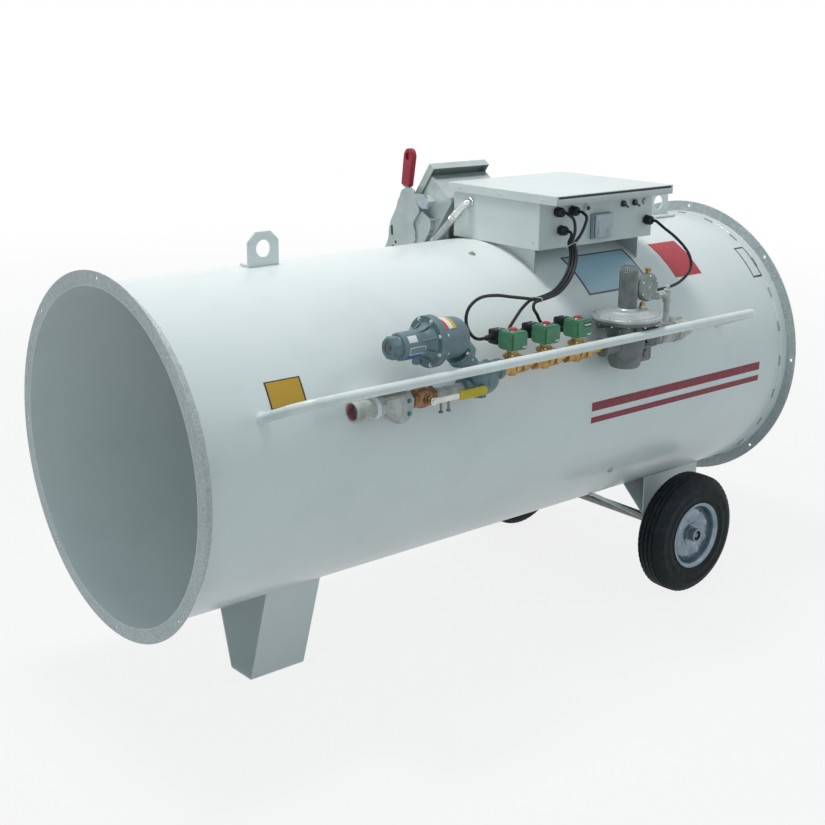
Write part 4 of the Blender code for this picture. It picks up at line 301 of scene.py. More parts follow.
def endTree(tree, geometry, material, output):
    real = place(tree, "GeometryNodeRealizeInstances", {"Geometry": geometry})
    coated = place(tree, "GeometryNodeSetMaterial", {"Geometry": real.outputs[0], "Material": material})
    tree.links.new(coated.outputs[0], output.inputs[0])


def makeFastenerTree():
    # a washer and a head at every point, facing along its own direction
    tree, start, end = nodeTree("fasteners", [("Head Radius", "Float", 0.006), ("Head Height", "Float", 0.004),
        ("Sides", "Int", 6), ("Taper", "Float", 0.85), ("Washer Radius", "Float", 0.008),
        ("Washer Height", "Float", 0.001), ("Material", "Material", None)])
    given = start.outputs
    washer = place(tree, "GeometryNodeMeshCylinder", {"Vertices": 28, "Radius": given["Washer Radius"],
        "Depth": given["Washer Height"]})
    top = mathNode(tree, "MULTIPLY", given["Head Radius"], given["Taper"])
    head = place(tree, "GeometryNodeMeshCone", {"Vertices": given["Sides"], "Radius Top": top,
        "Radius Bottom": given["Head Radius"], "Depth": given["Head Height"]})
    lift = place(tree, "ShaderNodeCombineXYZ", {"Z": mathNode(tree, "MULTIPLY", given["Washer Height"], 0.5)})
    raised = place(tree, "GeometryNodeTransform", {"Geometry": head.outputs[0], "Translation": lift.outputs[0]})
    both = place(tree, "GeometryNodeJoinGeometry")
    tree.links.new(washer.outputs[0], both.inputs[0])
    tree.links.new(raised.outputs[0], both.inputs[0])
    facing = place(tree, "GeometryNodeInputNamedAttribute", {"Name": "facing"}, data_type="FLOAT_VECTOR")
    turned = place(tree, "FunctionNodeAlignRotationToVector", {"Vector": facing.outputs[0]}, axis="Z")
    many = place(tree, "GeometryNodeInstanceOnPoints", {"Points": given["Geometry"], "Instance": both.outputs[0],
        "Rotation": turned.outputs[0]})
    endTree(tree, many.outputs[0], given["Material"], end)
    return tree


def makeFinTree():
    # bars round the Z axis, their X side pointing outwards
    tree, start, end = nodeTree("fins", [("Count", "Int", 12), ("Radius", "Float", 0.02),
        ("Bar", "Vector", (0.002, 0.002, 0.01)), ("Material", "Material", None)])
    given = start.outputs
    circle = place(tree, "GeometryNodeMeshCircle", {"Vertices": given["Count"], "Radius": given["Radius"]})
    bar = place(tree, "GeometryNodeMeshCube", {"Size": given["Bar"]})
    spot = place(tree, "GeometryNodeInputPosition")
    turned = place(tree, "FunctionNodeAlignRotationToVector", {"Vector": spot.outputs[0]}, axis="X", pivot_axis="Z")
    many = place(tree, "GeometryNodeInstanceOnPoints", {"Points": circle.outputs[0], "Instance": bar.outputs[0],
        "Rotation": turned.outputs[0]})
    endTree(tree, many.outputs[0], given["Material"], end)
    return tree


def makeGuardTree():
    # welded wire: rings at even steps and straight spokes, in the plane of X and Y
    tree, start, end = nodeTree("wireGuard", [("Inner", "Float", 0.05), ("Outer", "Float", 0.45),
        ("Rings", "Int", 14), ("Spokes", "Int", 8), ("Wire", "Float", 0.0015), ("Spoke Wire", "Float", 0.0025),
        ("Material", "Material", None)])
    given = start.outputs
    index = place(tree, "GeometryNodeInputIndex").outputs[0]
    gaps = mathNode(tree, "SUBTRACT", given["Rings"], 1.0)
    pitch = mathNode(tree, "DIVIDE", mathNode(tree, "SUBTRACT", given["Outer"], given["Inner"]), gaps)
    radius = mathNode(tree, "ADD", given["Inner"], mathNode(tree, "MULTIPLY", index, pitch))
    size = place(tree, "ShaderNodeCombineXYZ", {"X": radius, "Y": radius, "Z": 1.0})
    spots = place(tree, "GeometryNodePoints", {"Count": given["Rings"]})
    circle = place(tree, "GeometryNodeCurvePrimitiveCircle", {"Resolution": 120, "Radius": 1.0})
    rings = place(tree, "GeometryNodeInstanceOnPoints", {"Points": spots.outputs[0], "Instance": circle.outputs[0],
        "Scale": size.outputs[0]})
    inner = place(tree, "ShaderNodeCombineXYZ", {"X": given["Inner"]})
    outer = place(tree, "ShaderNodeCombineXYZ", {"X": given["Outer"]})
    line = place(tree, "GeometryNodeCurvePrimitiveLine", {"Start": inner.outputs[0], "End": outer.outputs[0]})
    feet = place(tree, "GeometryNodePoints", {"Count": given["Spokes"]})
    turn = mathNode(tree, "DIVIDE", mathNode(tree, "MULTIPLY", index, tau), given["Spokes"])
    spin = place(tree, "ShaderNodeCombineXYZ", {"Z": turn})
    spokes = place(tree, "GeometryNodeInstanceOnPoints", {"Points": feet.outputs[0], "Instance": line.outputs[0],
        "Rotation": spin.outputs[0]})
    both = place(tree, "GeometryNodeJoinGeometry")
    for curves, wire in ((rings, "Wire"), (spokes, "Spoke Wire")):
        real = place(tree, "GeometryNodeRealizeInstances", {"Geometry": curves.outputs[0]})
        even = place(tree, "GeometryNodeSetCurveRadius", {"Curve": real.outputs[0], "Radius": 1.0})
        profile = place(tree, "GeometryNodeCurvePrimitiveCircle", {"Resolution": 8, "Radius": given[wire]})
        solid = place(tree, "GeometryNodeCurveToMesh", {"Curve": even.outputs[0], "Profile Curve": profile.outputs[0],
            "Fill Caps": True})
        tree.links.new(solid.outputs[0], both.inputs[0])
    endTree(tree, both.outputs[0], given["Material"], end)
    return tree


def makePerforationTree():
    # every face of the given sheet keeps its rim and loses a round hole
    tree, start, end = nodeTree("perforations", [("Hole Share", "Float", 0.6), ("Material", "Material", None)])
    given = start.outputs
    raised = place(tree, "GeometryNodeExtrudeMesh", {"Mesh": given["Geometry"], "Offset Scale": 0.0,
        "Individual": True}, mode="FACES")
    shrunk = place(tree, "GeometryNodeScaleElements", {"Geometry": raised.outputs["Mesh"],
        "Selection": raised.outputs["Top"], "Scale": given["Hole Share"]}, domain="FACE")
    opened = place(tree, "GeometryNodeDeleteGeometry", {"Geometry": shrunk.outputs[0],
        "Selection": raised.outputs["Top"]}, domain="FACE")
    soft = place(tree, "GeometryNodeSubdivisionSurface", {"Mesh": opened.outputs[0], "Level": 1})
    endTree(tree, soft.outputs[0], given["Material"], end)
    return tree


def runTree(item, tree, values):
    step = item.modifiers.new("repeat", "NODES")
    step.node_group = tree
    for socket in tree.interface.items_tree:
        if socket.in_out == "INPUT" and socket.name in values:
            step[socket.identifier] = values[socket.name]
    return bakeModifiers(item)


def emptyItem(name, spots=()):
    data = bpy.data.meshes.new(name)
    data.from_pydata([tuple(spot) for spot in spots], [], [])
    item = bpy.data.objects.new(name, data)
    bpy.context.scene.collection.objects.link(item)
    return item


def fasteners(name, places, material, slot=None, body=fixed, head=(0.006, 0.004), washer=(0.008, 0.001), sides=6,
        taper=0.85):
    # places are (point, direction) pairs, sizes (radius, height) pairs
    item = emptyItem(name, [spot for spot, _ in places])
    facing = item.data.attributes.new("facing", "FLOAT_VECTOR", "POINT")
    facing.data.foreach_set("vector", [n for _, way in places for n in Vector(way).normalized()])
    runTree(item, trees["fasteners"], {"Head Radius": head[0], "Head Height": head[1], "Washer Radius": washer[0],
        "Washer Height": washer[1], "Sides": sides, "Taper": taper, "Material": finish[material]})
    return settle(item, None, slot, (), body, 30)


def fins(name, centre, direction, material, slot=None, body=fixed, count=12, radius=0.02, bar=(0.002, 0.002, 0.01)):
    item = emptyItem(name)
    runTree(item, trees["fins"], {"Count": count, "Radius": radius, "Bar": bar, "Material": finish[material]})
    side, up, forward = axesOf(direction)
    turn = Matrix((side, up, forward)).transposed().to_4x4()
    item.data.transform(Matrix.Translation(Vector(centre)) @ turn)
    return settle(item, None, slot, (), body, 30)


def onCircle(centre, direction, radius, count, turn=0.0):
    side, up, forward = axesOf(direction)
    angles = [turn + tau * index / count for index in range(count)]
    return [(Vector(centre) + (side * cos(a) + up * sin(a)) * radius, forward) for a in angles]


trees = {"fasteners": makeFastenerTree(), "fins": makeFinTree(), "guard": makeGuardTree(),
    "perforations": makePerforationTree()}
print("node trees ready")


# Shared surface effects, as shader node groups

def shaderGroup(name, inputs, outputs):
    tree = bpy.data.node_groups.new(name, "ShaderNodeTree")
    for label, kind, value in inputs:
        socket = tree.interface.new_socket(name=label, in_out="INPUT", socket_type="NodeSocket" + kind)
        socket.default_value = value
    for label, kind in outputs:
        tree.interface.new_socket(name=label, in_out="OUTPUT", socket_type="NodeSocket" + kind)
    return tree, tree.nodes.new("NodeGroupInput"), tree.nodes.new("NodeGroupOutput")


def noiseNode(tree, scale, detail=3.0, stretch=None):
    spot = place(tree, "ShaderNodeTexCoord").outputs["Object"]
    if stretch:
        spot = place(tree, "ShaderNodeMapping", {"Vector": spot, "Scale": stretch}).outputs[0]
    return place(tree, "ShaderNodeTexNoise", {"Vector": spot, "Scale": scale, "Detail": detail}).outputs["Fac"]


def blend(tree, factor, first, second):
    node = place(tree, "ShaderNodeMix", data_type="RGBA")
    for socket, value in ((0, factor), (6, first), (7, second)):
        if isinstance(value, bpy.types.NodeSocket):
            tree.links.new(value, node.inputs[socket])
        else:
            node.inputs[socket].default_value = value
    return node.outputs[2]


def spread(tree, value, low, high, bottom=0.0, top=1.0):
    return place(tree, "ShaderNodeMapRange", {"Value": value, "From Min": low, "From Max": high, "To Min": bottom,
        "To Max": top}).outputs[0]


def makeCoatGroup():
    # painted, moulded or cast skins: broad tone, fine grain, uneven gloss
    tree, start, end = shaderGroup("coat", [("Colour", "Color", (1, 1, 1, 1)), ("Shade", "Color", (0.5, 0.5, 0.5, 1)),
        ("Tone Scale", "Float", 4.0), ("Tone", "Float", 0.3), ("Grain Scale", "Float", 400.0),
        ("Gloss", "Float", 0.4), ("Uneven", "Float", 0.1)],
        [("Colour", "Color"), ("Roughness", "Float"), ("Height", "Float")])
    given = start.outputs
    broad = noiseNode(tree, given["Tone Scale"], 5.0)
    fine = noiseNode(tree, given["Grain Scale"], 2.0)
    mottle = mathNode(tree, "MULTIPLY", spread(tree, broad, 0.38, 0.7), given["Tone"])
    tree.links.new(blend(tree, mottle, given["Colour"], given["Shade"]), end.inputs["Colour"])
    swing = mathNode(tree, "MULTIPLY", mathNode(tree, "SUBTRACT", broad, 0.5), given["Uneven"])
    tree.links.new(mathNode(tree, "ADD", given["Gloss"], swing), end.inputs["Roughness"])
    tree.links.new(fine, end.inputs["Height"])
    return tree


def makeSpangleGroup():
    # the crystals of hot dip zinc
    tree, start, end = shaderGroup("spangle", [("Light", "Color", (0.7, 0.72, 0.72, 1)),
        ("Dark", "Color", (0.4, 0.44, 0.45, 1)), ("Scale", "Float", 60.0), ("Gloss", "Float", 0.4)],
        [("Colour", "Color"), ("Roughness", "Float"), ("Height", "Float")])
    given = start.outputs
    spot = place(tree, "ShaderNodeTexCoord").outputs["Object"]
    cells = place(tree, "ShaderNodeTexVoronoi", {"Vector": spot, "Scale": given["Scale"], "Randomness": 1.0})
    tint = place(tree, "ShaderNodeSeparateColor", {"Color": cells.outputs["Color"]}).outputs[0]
    cloud = noiseNode(tree, 7.0, 6.0)
    mixed = mathNode(tree, "ADD", mathNode(tree, "MULTIPLY", tint, 0.55), mathNode(tree, "MULTIPLY", cloud, 0.5))
    tree.links.new(blend(tree, spread(tree, mixed, 0.25, 0.75), given["Dark"], given["Light"]), end.inputs["Colour"])
    tree.links.new(mathNode(tree, "ADD", given["Gloss"], mathNode(tree, "MULTIPLY", tint, 0.2)),
        end.inputs["Roughness"])
    tree.links.new(cloud, end.inputs["Height"])
    return tree


def makeGrimeGroup():
    # specks of dirt in drifts, the same on every side
    tree, start, end = shaderGroup("grime", [("Colour", "Color", (1, 1, 1, 1)),
        ("Dirt", "Color", (0.25, 0.22, 0.18, 1)), ("Amount", "Float", 0.2), ("Scale", "Float", 30.0)],
        [("Colour", "Color")])
    given = start.outputs
    specks = spread(tree, noiseNode(tree, given["Scale"], 8.0), 0.5, 0.75)
    dirt = mathNode(tree, "MULTIPLY", specks, given["Amount"])
    tree.links.new(blend(tree, dirt, given["Colour"], given["Dirt"]), end.inputs["Colour"])
    return tree


groups = {"coat": makeCoatGroup(), "spangle": makeSpangleGroup(), "grime": makeGrimeGroup()}


def startMaterial(name):
    made = bpy.data.materials.new(name)
    made.use_nodes = True
    tree = made.node_tree
    return made, tree, tree.nodes["Principled BSDF"]


def putGroup(tree, name, values):
    node = place(tree, "ShaderNodeGroup", node_tree=groups[name])
    for key, value in values.items():
        if isinstance(value, bpy.types.NodeSocket):
            tree.links.new(value, node.inputs[key])
        elif isinstance(value, (list, tuple)):
            node.inputs[key].default_value = (*value, 1) if len(value) == 3 else value
        else:
            node.inputs[key].default_value = value
    return node


def addBump(tree, shader, height, strength, distance):
    bump = place(tree, "ShaderNodeBump", {"Height": height, "Strength": strength, "Distance": distance})
    tree.links.new(bump.outputs[0], shader.inputs["Normal"])


def coatMaterial(name, colour, shade, metallic=0.0, gloss=0.4, uneven=0.12, toneScale=5.0, tone=0.35, grain=500.0,
        bump=0.15, depth=0.0004, dirt=0.12, dirtScale=40.0, clear=0.0):
    made, tree, shader = startMaterial(name)
    coat = putGroup(tree, "coat", {"Colour": srgb(*colour), "Shade": srgb(*shade), "Tone Scale": toneScale,
        "Tone": tone, "Grain Scale": grain, "Gloss": gloss, "Uneven": uneven})
    grime = putGroup(tree, "grime", {"Colour": coat.outputs["Colour"], "Amount": dirt, "Scale": dirtScale})
    tree.links.new(grime.outputs[0], shader.inputs["Base Color"])
    tree.links.new(coat.outputs["Roughness"], shader.inputs["Roughness"])
    shader.inputs["Metallic"].default_value = metallic
    shader.inputs["Coat Weight"].default_value = clear
    addBump(tree, shader, coat.outputs["Height"], bump, depth)
    return made


def zincMaterial(name, light, dark, scale=60.0, gloss=0.38, metallic=0.85, bump=0.12):
    made, tree, shader = startMaterial(name)
    cells = putGroup(tree, "spangle", {"Light": srgb(*light), "Dark": srgb(*dark), "Scale": scale, "Gloss": gloss})
    grime = putGroup(tree, "grime", {"Colour": cells.outputs["Colour"], "Amount": 0.15, "Scale": 60.0})
    tree.links.new(grime.outputs[0], shader.inputs["Base Color"])
    tree.links.new(cells.outputs["Roughness"], shader.inputs["Roughness"])
    shader.inputs["Metallic"].default_value = metallic
    addBump(tree, shader, cells.outputs["Height"], bump, 0.0006)
    return made


white = (236, 241, 241)
finish = {
    "duct": coatMaterial("ductWhite", white, (222, 230, 230), gloss=0.33, toneScale=1.5, tone=0.5, grain=260,
        bump=0.06, dirt=0.05, dirtScale=6, clear=0.15),
    "box": coatMaterial("boxWhite", (226, 232, 232), (208, 216, 214), gloss=0.4, toneScale=3, tone=0.4, grain=700,
        bump=0.1, dirt=0.06, dirtScale=12),
    "rail": coatMaterial("railWhite", (238, 242, 242), (205, 212, 212), gloss=0.28, toneScale=9, tone=0.4, grain=300,
        bump=0.08, dirt=0.1, dirtScale=20, clear=0.25),
    "fitting": coatMaterial("fittingWhite", (206, 208, 204), (150, 150, 145), gloss=0.42, toneScale=35, tone=0.6,
        grain=260, bump=0.35, dirt=0.35, dirtScale=60),
    "thread": coatMaterial("threadRed", (170, 110, 112), (110, 62, 66), gloss=0.6, toneScale=60, tone=0.6, grain=500,
        bump=0.4, dirt=0.3),
    "zinc": zincMaterial("galvanised", (190, 199, 200), (162, 172, 174), scale=210, metallic=0.35),
    "zincPaint": zincMaterial("galvanisedDull", (176, 180, 176), (146, 150, 146), scale=210, metallic=0.3),
    "plated": coatMaterial("zincPlated", (205, 208, 204), (150, 154, 150), metallic=0.9, gloss=0.28, toneScale=25,
        tone=0.5, grain=300, bump=0.08, dirt=0.15, dirtScale=50),
    # the wheel steel's blue, dark base colour is a painted reflection of the sky and painted shade, not the plated
    # steel's own colour
    "wheel": coatMaterial("wheelSteelPaintedSkyReflection", (132, 148, 158), (88, 104, 116), metallic=0.85, gloss=0.3, toneScale=22,
        tone=0.6, grain=300, bump=0.1, dirt=0.2, dirtScale=50),
    "steel": coatMaterial("oiledSteel", (120, 122, 122), (70, 72, 72), metallic=0.9, gloss=0.38, toneScale=40,
        tone=0.5, grain=600, bump=0.15, dirt=0.3),
    "chrome": coatMaterial("plateBright", (214, 218, 220), (180, 186, 190), metallic=1.0, gloss=0.14, uneven=0.06,
        toneScale=30, tone=0.3, grain=400, bump=0.03, dirt=0.05),
    "rubber": coatMaterial("tyreRubber", (22, 30, 33), (44, 54, 57), gloss=0.62, toneScale=14, tone=0.5, grain=420,
        bump=0.3, dirt=0.08, dirtScale=40),
    "brass": coatMaterial("castBrass", (186, 152, 88), (118, 90, 44), metallic=0.85, gloss=0.36, toneScale=45,
        tone=0.6, grain=420, bump=0.35, dirt=0.35, dirtScale=80),
    "brownBrass": coatMaterial("agedBrass", (150, 116, 80), (98, 74, 50), metallic=0.7, gloss=0.45, toneScale=60,
        tone=0.6, grain=420, bump=0.35, dirt=0.4),
    "yellow": coatMaterial("vinylYellow", (214, 192, 34), (180, 156, 24), gloss=0.42, toneScale=40, tone=0.4,
        grain=700, bump=0.12, dirt=0.2, dirtScale=90),
    "regulator": coatMaterial("regulatorGrey", (104, 130, 138), (78, 100, 108), metallic=0.15, gloss=0.4,
        toneScale=30, tone=0.5, grain=330, bump=0.3, dirt=0.2, dirtScale=60),
    "recess": coatMaterial("recessRed", (140, 96, 92), (96, 62, 60), gloss=0.6, toneScale=70, tone=0.6),
    "green": coatMaterial("coilGreen", (78, 142, 108), (56, 114, 82), gloss=0.38, toneScale=40, tone=0.5, grain=650,
        bump=0.2, dirt=0.12, dirtScale=90),
    "capRed": coatMaterial("capRed", (196, 44, 78), (160, 28, 56), gloss=0.34, toneScale=90, tone=0.3),
    "black": coatMaterial("mouldedBlack", (28, 33, 35), (46, 52, 53), gloss=0.44, toneScale=50, tone=0.5, grain=900,
        bump=0.15, dirt=0.15, dirtScale=80),
    "cable": coatMaterial("cableSheath", (20, 24, 27), (32, 38, 42), gloss=0.4, toneScale=40, tone=0.5, grain=900,
        bump=0.12, dirt=0.1, dirtScale=60),
    "dark": coatMaterial("darkCasting", (118, 124, 124), (76, 82, 84), metallic=0.25, gloss=0.5, toneScale=35,
        tone=0.6, grain=260, bump=0.5, depth=0.0008, dirt=0.35, dirtScale=50),
    "light": coatMaterial("lightCasting", (190, 196, 196), (150, 158, 160), metallic=0.25, gloss=0.4, toneScale=30,
        tone=0.5, grain=300, bump=0.3, dirt=0.2, dirtScale=50),
    "switch": coatMaterial("switchGrey", (134, 146, 142), (102, 116, 112), metallic=0.45, gloss=0.4, toneScale=30,
        tone=0.5, grain=350, bump=0.2, dirt=0.2),
    "socket": coatMaterial("socketGrey", (166, 182, 188), (128, 146, 154), metallic=0.3, gloss=0.34, toneScale=40,
        tone=0.4, grain=500, bump=0.15, dirt=0.12),
    "disconnect": coatMaterial("disconnectGrey", (196, 206, 204), (164, 178, 178), metallic=0.1, gloss=0.42,
        toneScale=18, tone=0.5, grain=420, bump=0.15, dirt=0.12, dirtScale=30),
    "blue": coatMaterial("mechanismBlue", (184, 198, 208), (156, 172, 184), metallic=0.2, gloss=0.4, toneScale=30,
        tone=0.5),
    "red": coatMaterial("gripRed", (178, 32, 58), (132, 16, 38), gloss=0.36, toneScale=50, tone=0.5, grain=700,
        bump=0.1, dirt=0.1),
    "motor": coatMaterial("motorEnamel", (72, 84, 92), (48, 58, 64), gloss=0.4, toneScale=20, tone=0.5, grain=420,
        bump=0.2, dirt=0.3, dirtScale=30),
    "alloy": coatMaterial("fanAlloy", (176, 182, 184), (138, 146, 150), metallic=0.8, gloss=0.36, toneScale=12,
        tone=0.5, grain=300, bump=0.12, dirt=0.2, dirtScale=18),
    "iron": coatMaterial("burnerIron", (98, 92, 86), (128, 86, 62), metallic=0.5, gloss=0.55, toneScale=30, tone=0.7,
        grain=260, bump=0.5, depth=0.0008, dirt=0.3),
    "heatSheet": coatMaterial("heatedSheet", (158, 156, 152), (142, 110, 82), metallic=0.85, gloss=0.34, toneScale=8,
        tone=0.7, grain=400, bump=0.08, dirt=0.2, dirtScale=12),
    "ceramic": coatMaterial("glazedCeramic", (232, 228, 214), (210, 202, 184), gloss=0.2, toneScale=60, tone=0.3,
        clear=0.4),
    "tie": coatMaterial("nylonTie", (222, 226, 222), (196, 200, 196), gloss=0.35, toneScale=80, tone=0.3),
    "teal": coatMaterial("tealBolt", (86, 138, 138), (52, 92, 96), metallic=0.4, gloss=0.35, toneScale=90, tone=0.5),
    "lamp": coatMaterial("lampLens", (196, 204, 206), (150, 160, 164), gloss=0.15, toneScale=60, tone=0.3,
        clear=0.5),
}

for key, level in (("rubber", 0.15), ("cable", 0.3), ("black", 0.3)):
    finish[key].node_tree.nodes["Principled BSDF"].inputs["Specular IOR Level"].default_value = level


def plateMaterial(name, field, border=None, width=(0.0, 0.0), gloss=0.35, bands=()):
    # a plain plate read from its own UV map: a border, a field and any plain bands (low, high, colour)
    made, tree, shader = startMaterial(name)
    uv = place(tree, "ShaderNodeUVMap", uv_map="plate").outputs[0]
    across = place(tree, "ShaderNodeSeparateXYZ", {"Vector": uv})
    colour = (*srgb(*field), 1)
    for low, high, tint in bands:
        above = mathNode(tree, "GREATER_THAN", across.outputs[0], low)
        inside = mathNode(tree, "MULTIPLY", above, mathNode(tree, "LESS_THAN", across.outputs[0], high))
        colour = blend(tree, inside, colour, (*srgb(*tint), 1))
    edges = []
    for axis, share in ((0, width[0]), (1, width[1])):
        off = mathNode(tree, "ABSOLUTE", mathNode(tree, "SUBTRACT", across.outputs[axis], 0.5))
        edges.append(mathNode(tree, "GREATER_THAN", off, 0.5 - share))
    rim = mathNode(tree, "MAXIMUM", edges[0], edges[1])
    printed = blend(tree, rim, colour, (*srgb(*(border or field)), 1))
    grime = putGroup(tree, "grime", {"Colour": printed, "Amount": 0.12, "Scale": 60.0})
    tree.links.new(grime.outputs[0], shader.inputs["Base Color"])
    shader.inputs["Roughness"].default_value = gloss
    addBump(tree, shader, noiseNode(tree, 220.0), 0.05, 0.0004)
    return made


maroon = (134, 12, 48)
finish.update({
    "plateYellow": plateMaterial("plateYellow", (200, 156, 34), (40, 34, 24), (0.045, 0.045)),
    "platePale": plateMaterial("platePale", (176, 208, 224), (72, 44, 72), (0.025, 0.035)),
    "plateEdged": plateMaterial("plateEdged", (120, 136, 142), (206, 216, 218), (0.04, 0.12)),
    "plateRed": plateMaterial("plateRed", (180, 24, 48), (196, 48, 62), (0.03, 0.03)),
    "plateMaroon": plateMaterial("stripeMaroon", maroon, maroon, gloss=0.4),
    "plateOutlined": plateMaterial("plateOutlined", (234, 238, 238), (52, 52, 56), (0.09, 0.05)),
    "plateWhite": plateMaterial("stickerWhite", (236, 238, 238)),
    "plateBlue": plateMaterial("stickerBlue", (30, 78, 160)),
    "plateRainbow": plateMaterial("stickerBands", (238, 238, 234), bands=((0.0, 0.3, (206, 60, 50)),
        (0.7, 1.0, (222, 176, 60)))),
})
print("materials ready")


# Duct: shell, rings, lugs, front leg and bare plates

duct = {"radius": 0.4572, "wall": 0.002, "axisZ": 0.746, "outletX": -0.485, "inletX": 1.852, "sides": 192,
    "feedX": 1.265, "feedZ": 0.945, "feedRadius": 0.0214, "lineY": -0.505}


def makeShell():
    mesh = bmesh.new()
    outer, inner = duct["radius"], duct["radius"] - duct["wall"]
    far = duct["inletX"] - duct["outletX"]
    profile = [(outer, 0), (outer, far), (inner, far), (inner, 0)]
    addTurned(mesh, profile, (duct["outletX"], 0, duct["axisZ"]), (1, 0, 0), duct["sides"])
    shell = finishPiece(mesh, "shell_skin", "duct", "duct_white", ("shell",))
    hole = bmesh.new()
    addRod(hole, duct["feedRadius"], (duct["feedX"], duct["lineY"], duct["feedZ"]),
        (duct["feedX"], -0.3, duct["feedZ"]))
    carve(shell, hole)


ring = {"leg": 0.038, "sheet": 0.003, "holes": 8, "holeRadius": 0.0055, "holeCircle": 0.4792, "round": 0.0008,
    "beads": 24, "bead": (0.004, 0.034, 0.004)}


def makeRing(name, faceX, inward, legFinish):
    bore = duct["radius"] + hair
    flange, sleeve, edge = bore + ring["leg"], bore + ring["sheet"], ring["round"]
    centre = (faceX, 0, duct["axisZ"])
    mesh = bmesh.new()
    profile = [(bore, 0), (flange - edge, 0), (flange, edge), (flange, ring["sheet"] - edge),
        (flange - edge, ring["sheet"]), (bore, ring["sheet"])]
    addTurned(mesh, profile, centre, (inward, 0, 0), duct["sides"])
    face = finishPiece(mesh, name + "_face", "zinc", "galvanised", (name,))
    cutters = []
    for index in range(ring["holes"]):
        spot = ductPoint(faceX, ring["holeCircle"], 90 + 360 * index / ring["holes"])
        hole = bmesh.new()
        addRod(hole, ring["holeRadius"], spot - Vector((0.02, 0, 0)), spot + Vector((0.02, 0, 0)), 20)
        cutters.append(hole)
    carve(face, *cutters)
    mesh = bmesh.new()
    profile = [(bore, ring["sheet"]), (sleeve, ring["sheet"]), (sleeve, ring["leg"] - edge),
        (sleeve - edge, ring["leg"]), (bore, ring["leg"])]
    addTurned(mesh, profile, centre, (inward, 0, 0), duct["sides"])
    finishPiece(mesh, name + "_leg", legFinish, "galvanised")
    spot = Vector(centre) + Vector((inward * (ring["leg"] + ring["bead"][2] / 3), 0, 0))
    # the weld beads are real; on the inlet ring their grey is painted shade standing for the dark gaps between the
    # stitch welds, on the outlet ring they stay white
    fins(name + "_welds", spot, (1, 0, 0), "duct" if inward > 0 else "zincPaint", "galvanised", count=ring["beads"],
        radius=bore + 0.001, bar=ring["bead"])


def makeRings():
    makeRing("outlet_ring", duct["outletX"], 1, "zinc")
    makeRing("inlet_ring", duct["inletX"], -1, "duct")


lug = {"xs": (0.017, 1.677), "width": 0.1016, "height": 0.0948, "sheet": 0.006, "chamfer": 0.026, "eye": 0.024,
    "eyeDrop": 0.047, "base": 0.04, "baseHole": 0.0085, "round": 0.0009}


def makeLug(name, x, side):
    low = duct["axisZ"] + duct["radius"] + hair
    half, top, chamfer, sheet = lug["width"] / 2, low + lug["height"], lug["chamfer"], lug["sheet"]
    mesh = bmesh.new()
    outline = [(x - half, low), (x + half, low), (x + half, top - chamfer), (x + half - chamfer, top),
        (x - half + chamfer, top), (x - half, top - chamfer)]
    addPrism(mesh, outline, "Y", -sheet / 2, sheet / 2, lug["round"])
    plate = finishPiece(mesh, name + "_plate", "duct", "duct_white", (name,))
    hole = bmesh.new()
    addRod(hole, lug["eye"], (x, -0.02, top - lug["eyeDrop"]), (x, 0.02, top - lug["eyeDrop"]), 56)
    carve(plate, hole)
    ends = sorted((side * sheet / 2, side * lug["base"]))
    mesh = bmesh.new()
    addBlock(mesh, (x - half, ends[0], low), (x + half, ends[1], low + sheet), lug["round"])
    foot = finishPiece(mesh, name + "_foot", "duct", "duct_white")
    hole = bmesh.new()
    holeY = side * lug["base"] * 0.55
    addRod(hole, lug["baseHole"], (x + half * 0.6, holeY, low - 0.01), (x + half * 0.6, holeY, low + 0.02), 24)
    carve(foot, hole)


def roundPlate(name, material, centre, radius, along, degrees, steps=16, thickness=0.0004):
    # a thin plate round a barrel; its UV map runs along the axis and round it
    side, up, forward = axesOf((1, 0, 0))
    mesh = bmesh.new()
    layer = mesh.loops.layers.uv.new("plate")
    share, rows = {}, []
    for step in range(steps + 1):
        angle = radians(degrees[0] + (degrees[1] - degrees[0]) * step / steps)
        ray = side * cos(angle) + up * sin(angle)
        row = []
        for level in (radius, radius + thickness):
            for column in (0, 1):
                vert = mesh.verts.new(Vector(centre) + forward * along[column] + ray * level)
                share[vert] = (column, step / steps)
                row.append(vert)
        rows.append(row)
    for first, second in zip(rows, rows[1:]):
        for a, b in ((0, 1), (2, 3), (0, 2), (1, 3)):
            mesh.faces.new((first[a], first[b], second[b], second[a]))
    for row in (rows[0], rows[-1]):
        mesh.faces.new((row[0], row[1], row[3], row[2]))
    for face in mesh.faces:
        for loop in face.loops:
            loop[layer].uv = share[loop.vert]
    return finishPiece(mesh, name, material)


patches = {  # x from and to in metres, degrees up from the gas side
    "side_plate_yellow": ("yellow", (-0.246, -0.138), (23.8, 32.8)),
    "plate_pale": ("pale", (0.975, 1.259), (42.7, 63.1)),
    "plate_red": ("red", (1.39, 1.522), (43.9, 63.5)),
    "plate_outlined": ("outlined", (1.765, 1.812), (37.7, 53.7)),
    "stripe_high": ("maroon", (0.875, 1.7), (-1.6, 1.8)),
    "stripe_low": ("maroon", (0.875, 1.7), (-6.4, -4.0)),
}

stayBolts = ((0.68, 74), (1.06, -34.1))  # x, and degrees up from the gas side


def makeDuctTrim():
    for name, (material, x, degrees) in patches.items():
        turned = [180 - angle for angle in degrees]
        roundPlate(name, "plate" + material.capitalize(), (0, 0, duct["axisZ"]), duct["radius"] + 0.0001, x, turned,
            24)
    heads = [ductPoint(x, duct["radius"], degrees) for x, degrees in stayBolts]
    middle = Vector((0, 0, duct["axisZ"]))
    outward = [Vector((0, spot.y, spot.z - middle.z)) for spot in heads]
    fasteners("stay_bolts", list(zip(heads, outward)), "zincPaint", "galvanised", head=(0.009, 0.005), sides=28,
        taper=0.6, washer=(0.0115, 0.002))


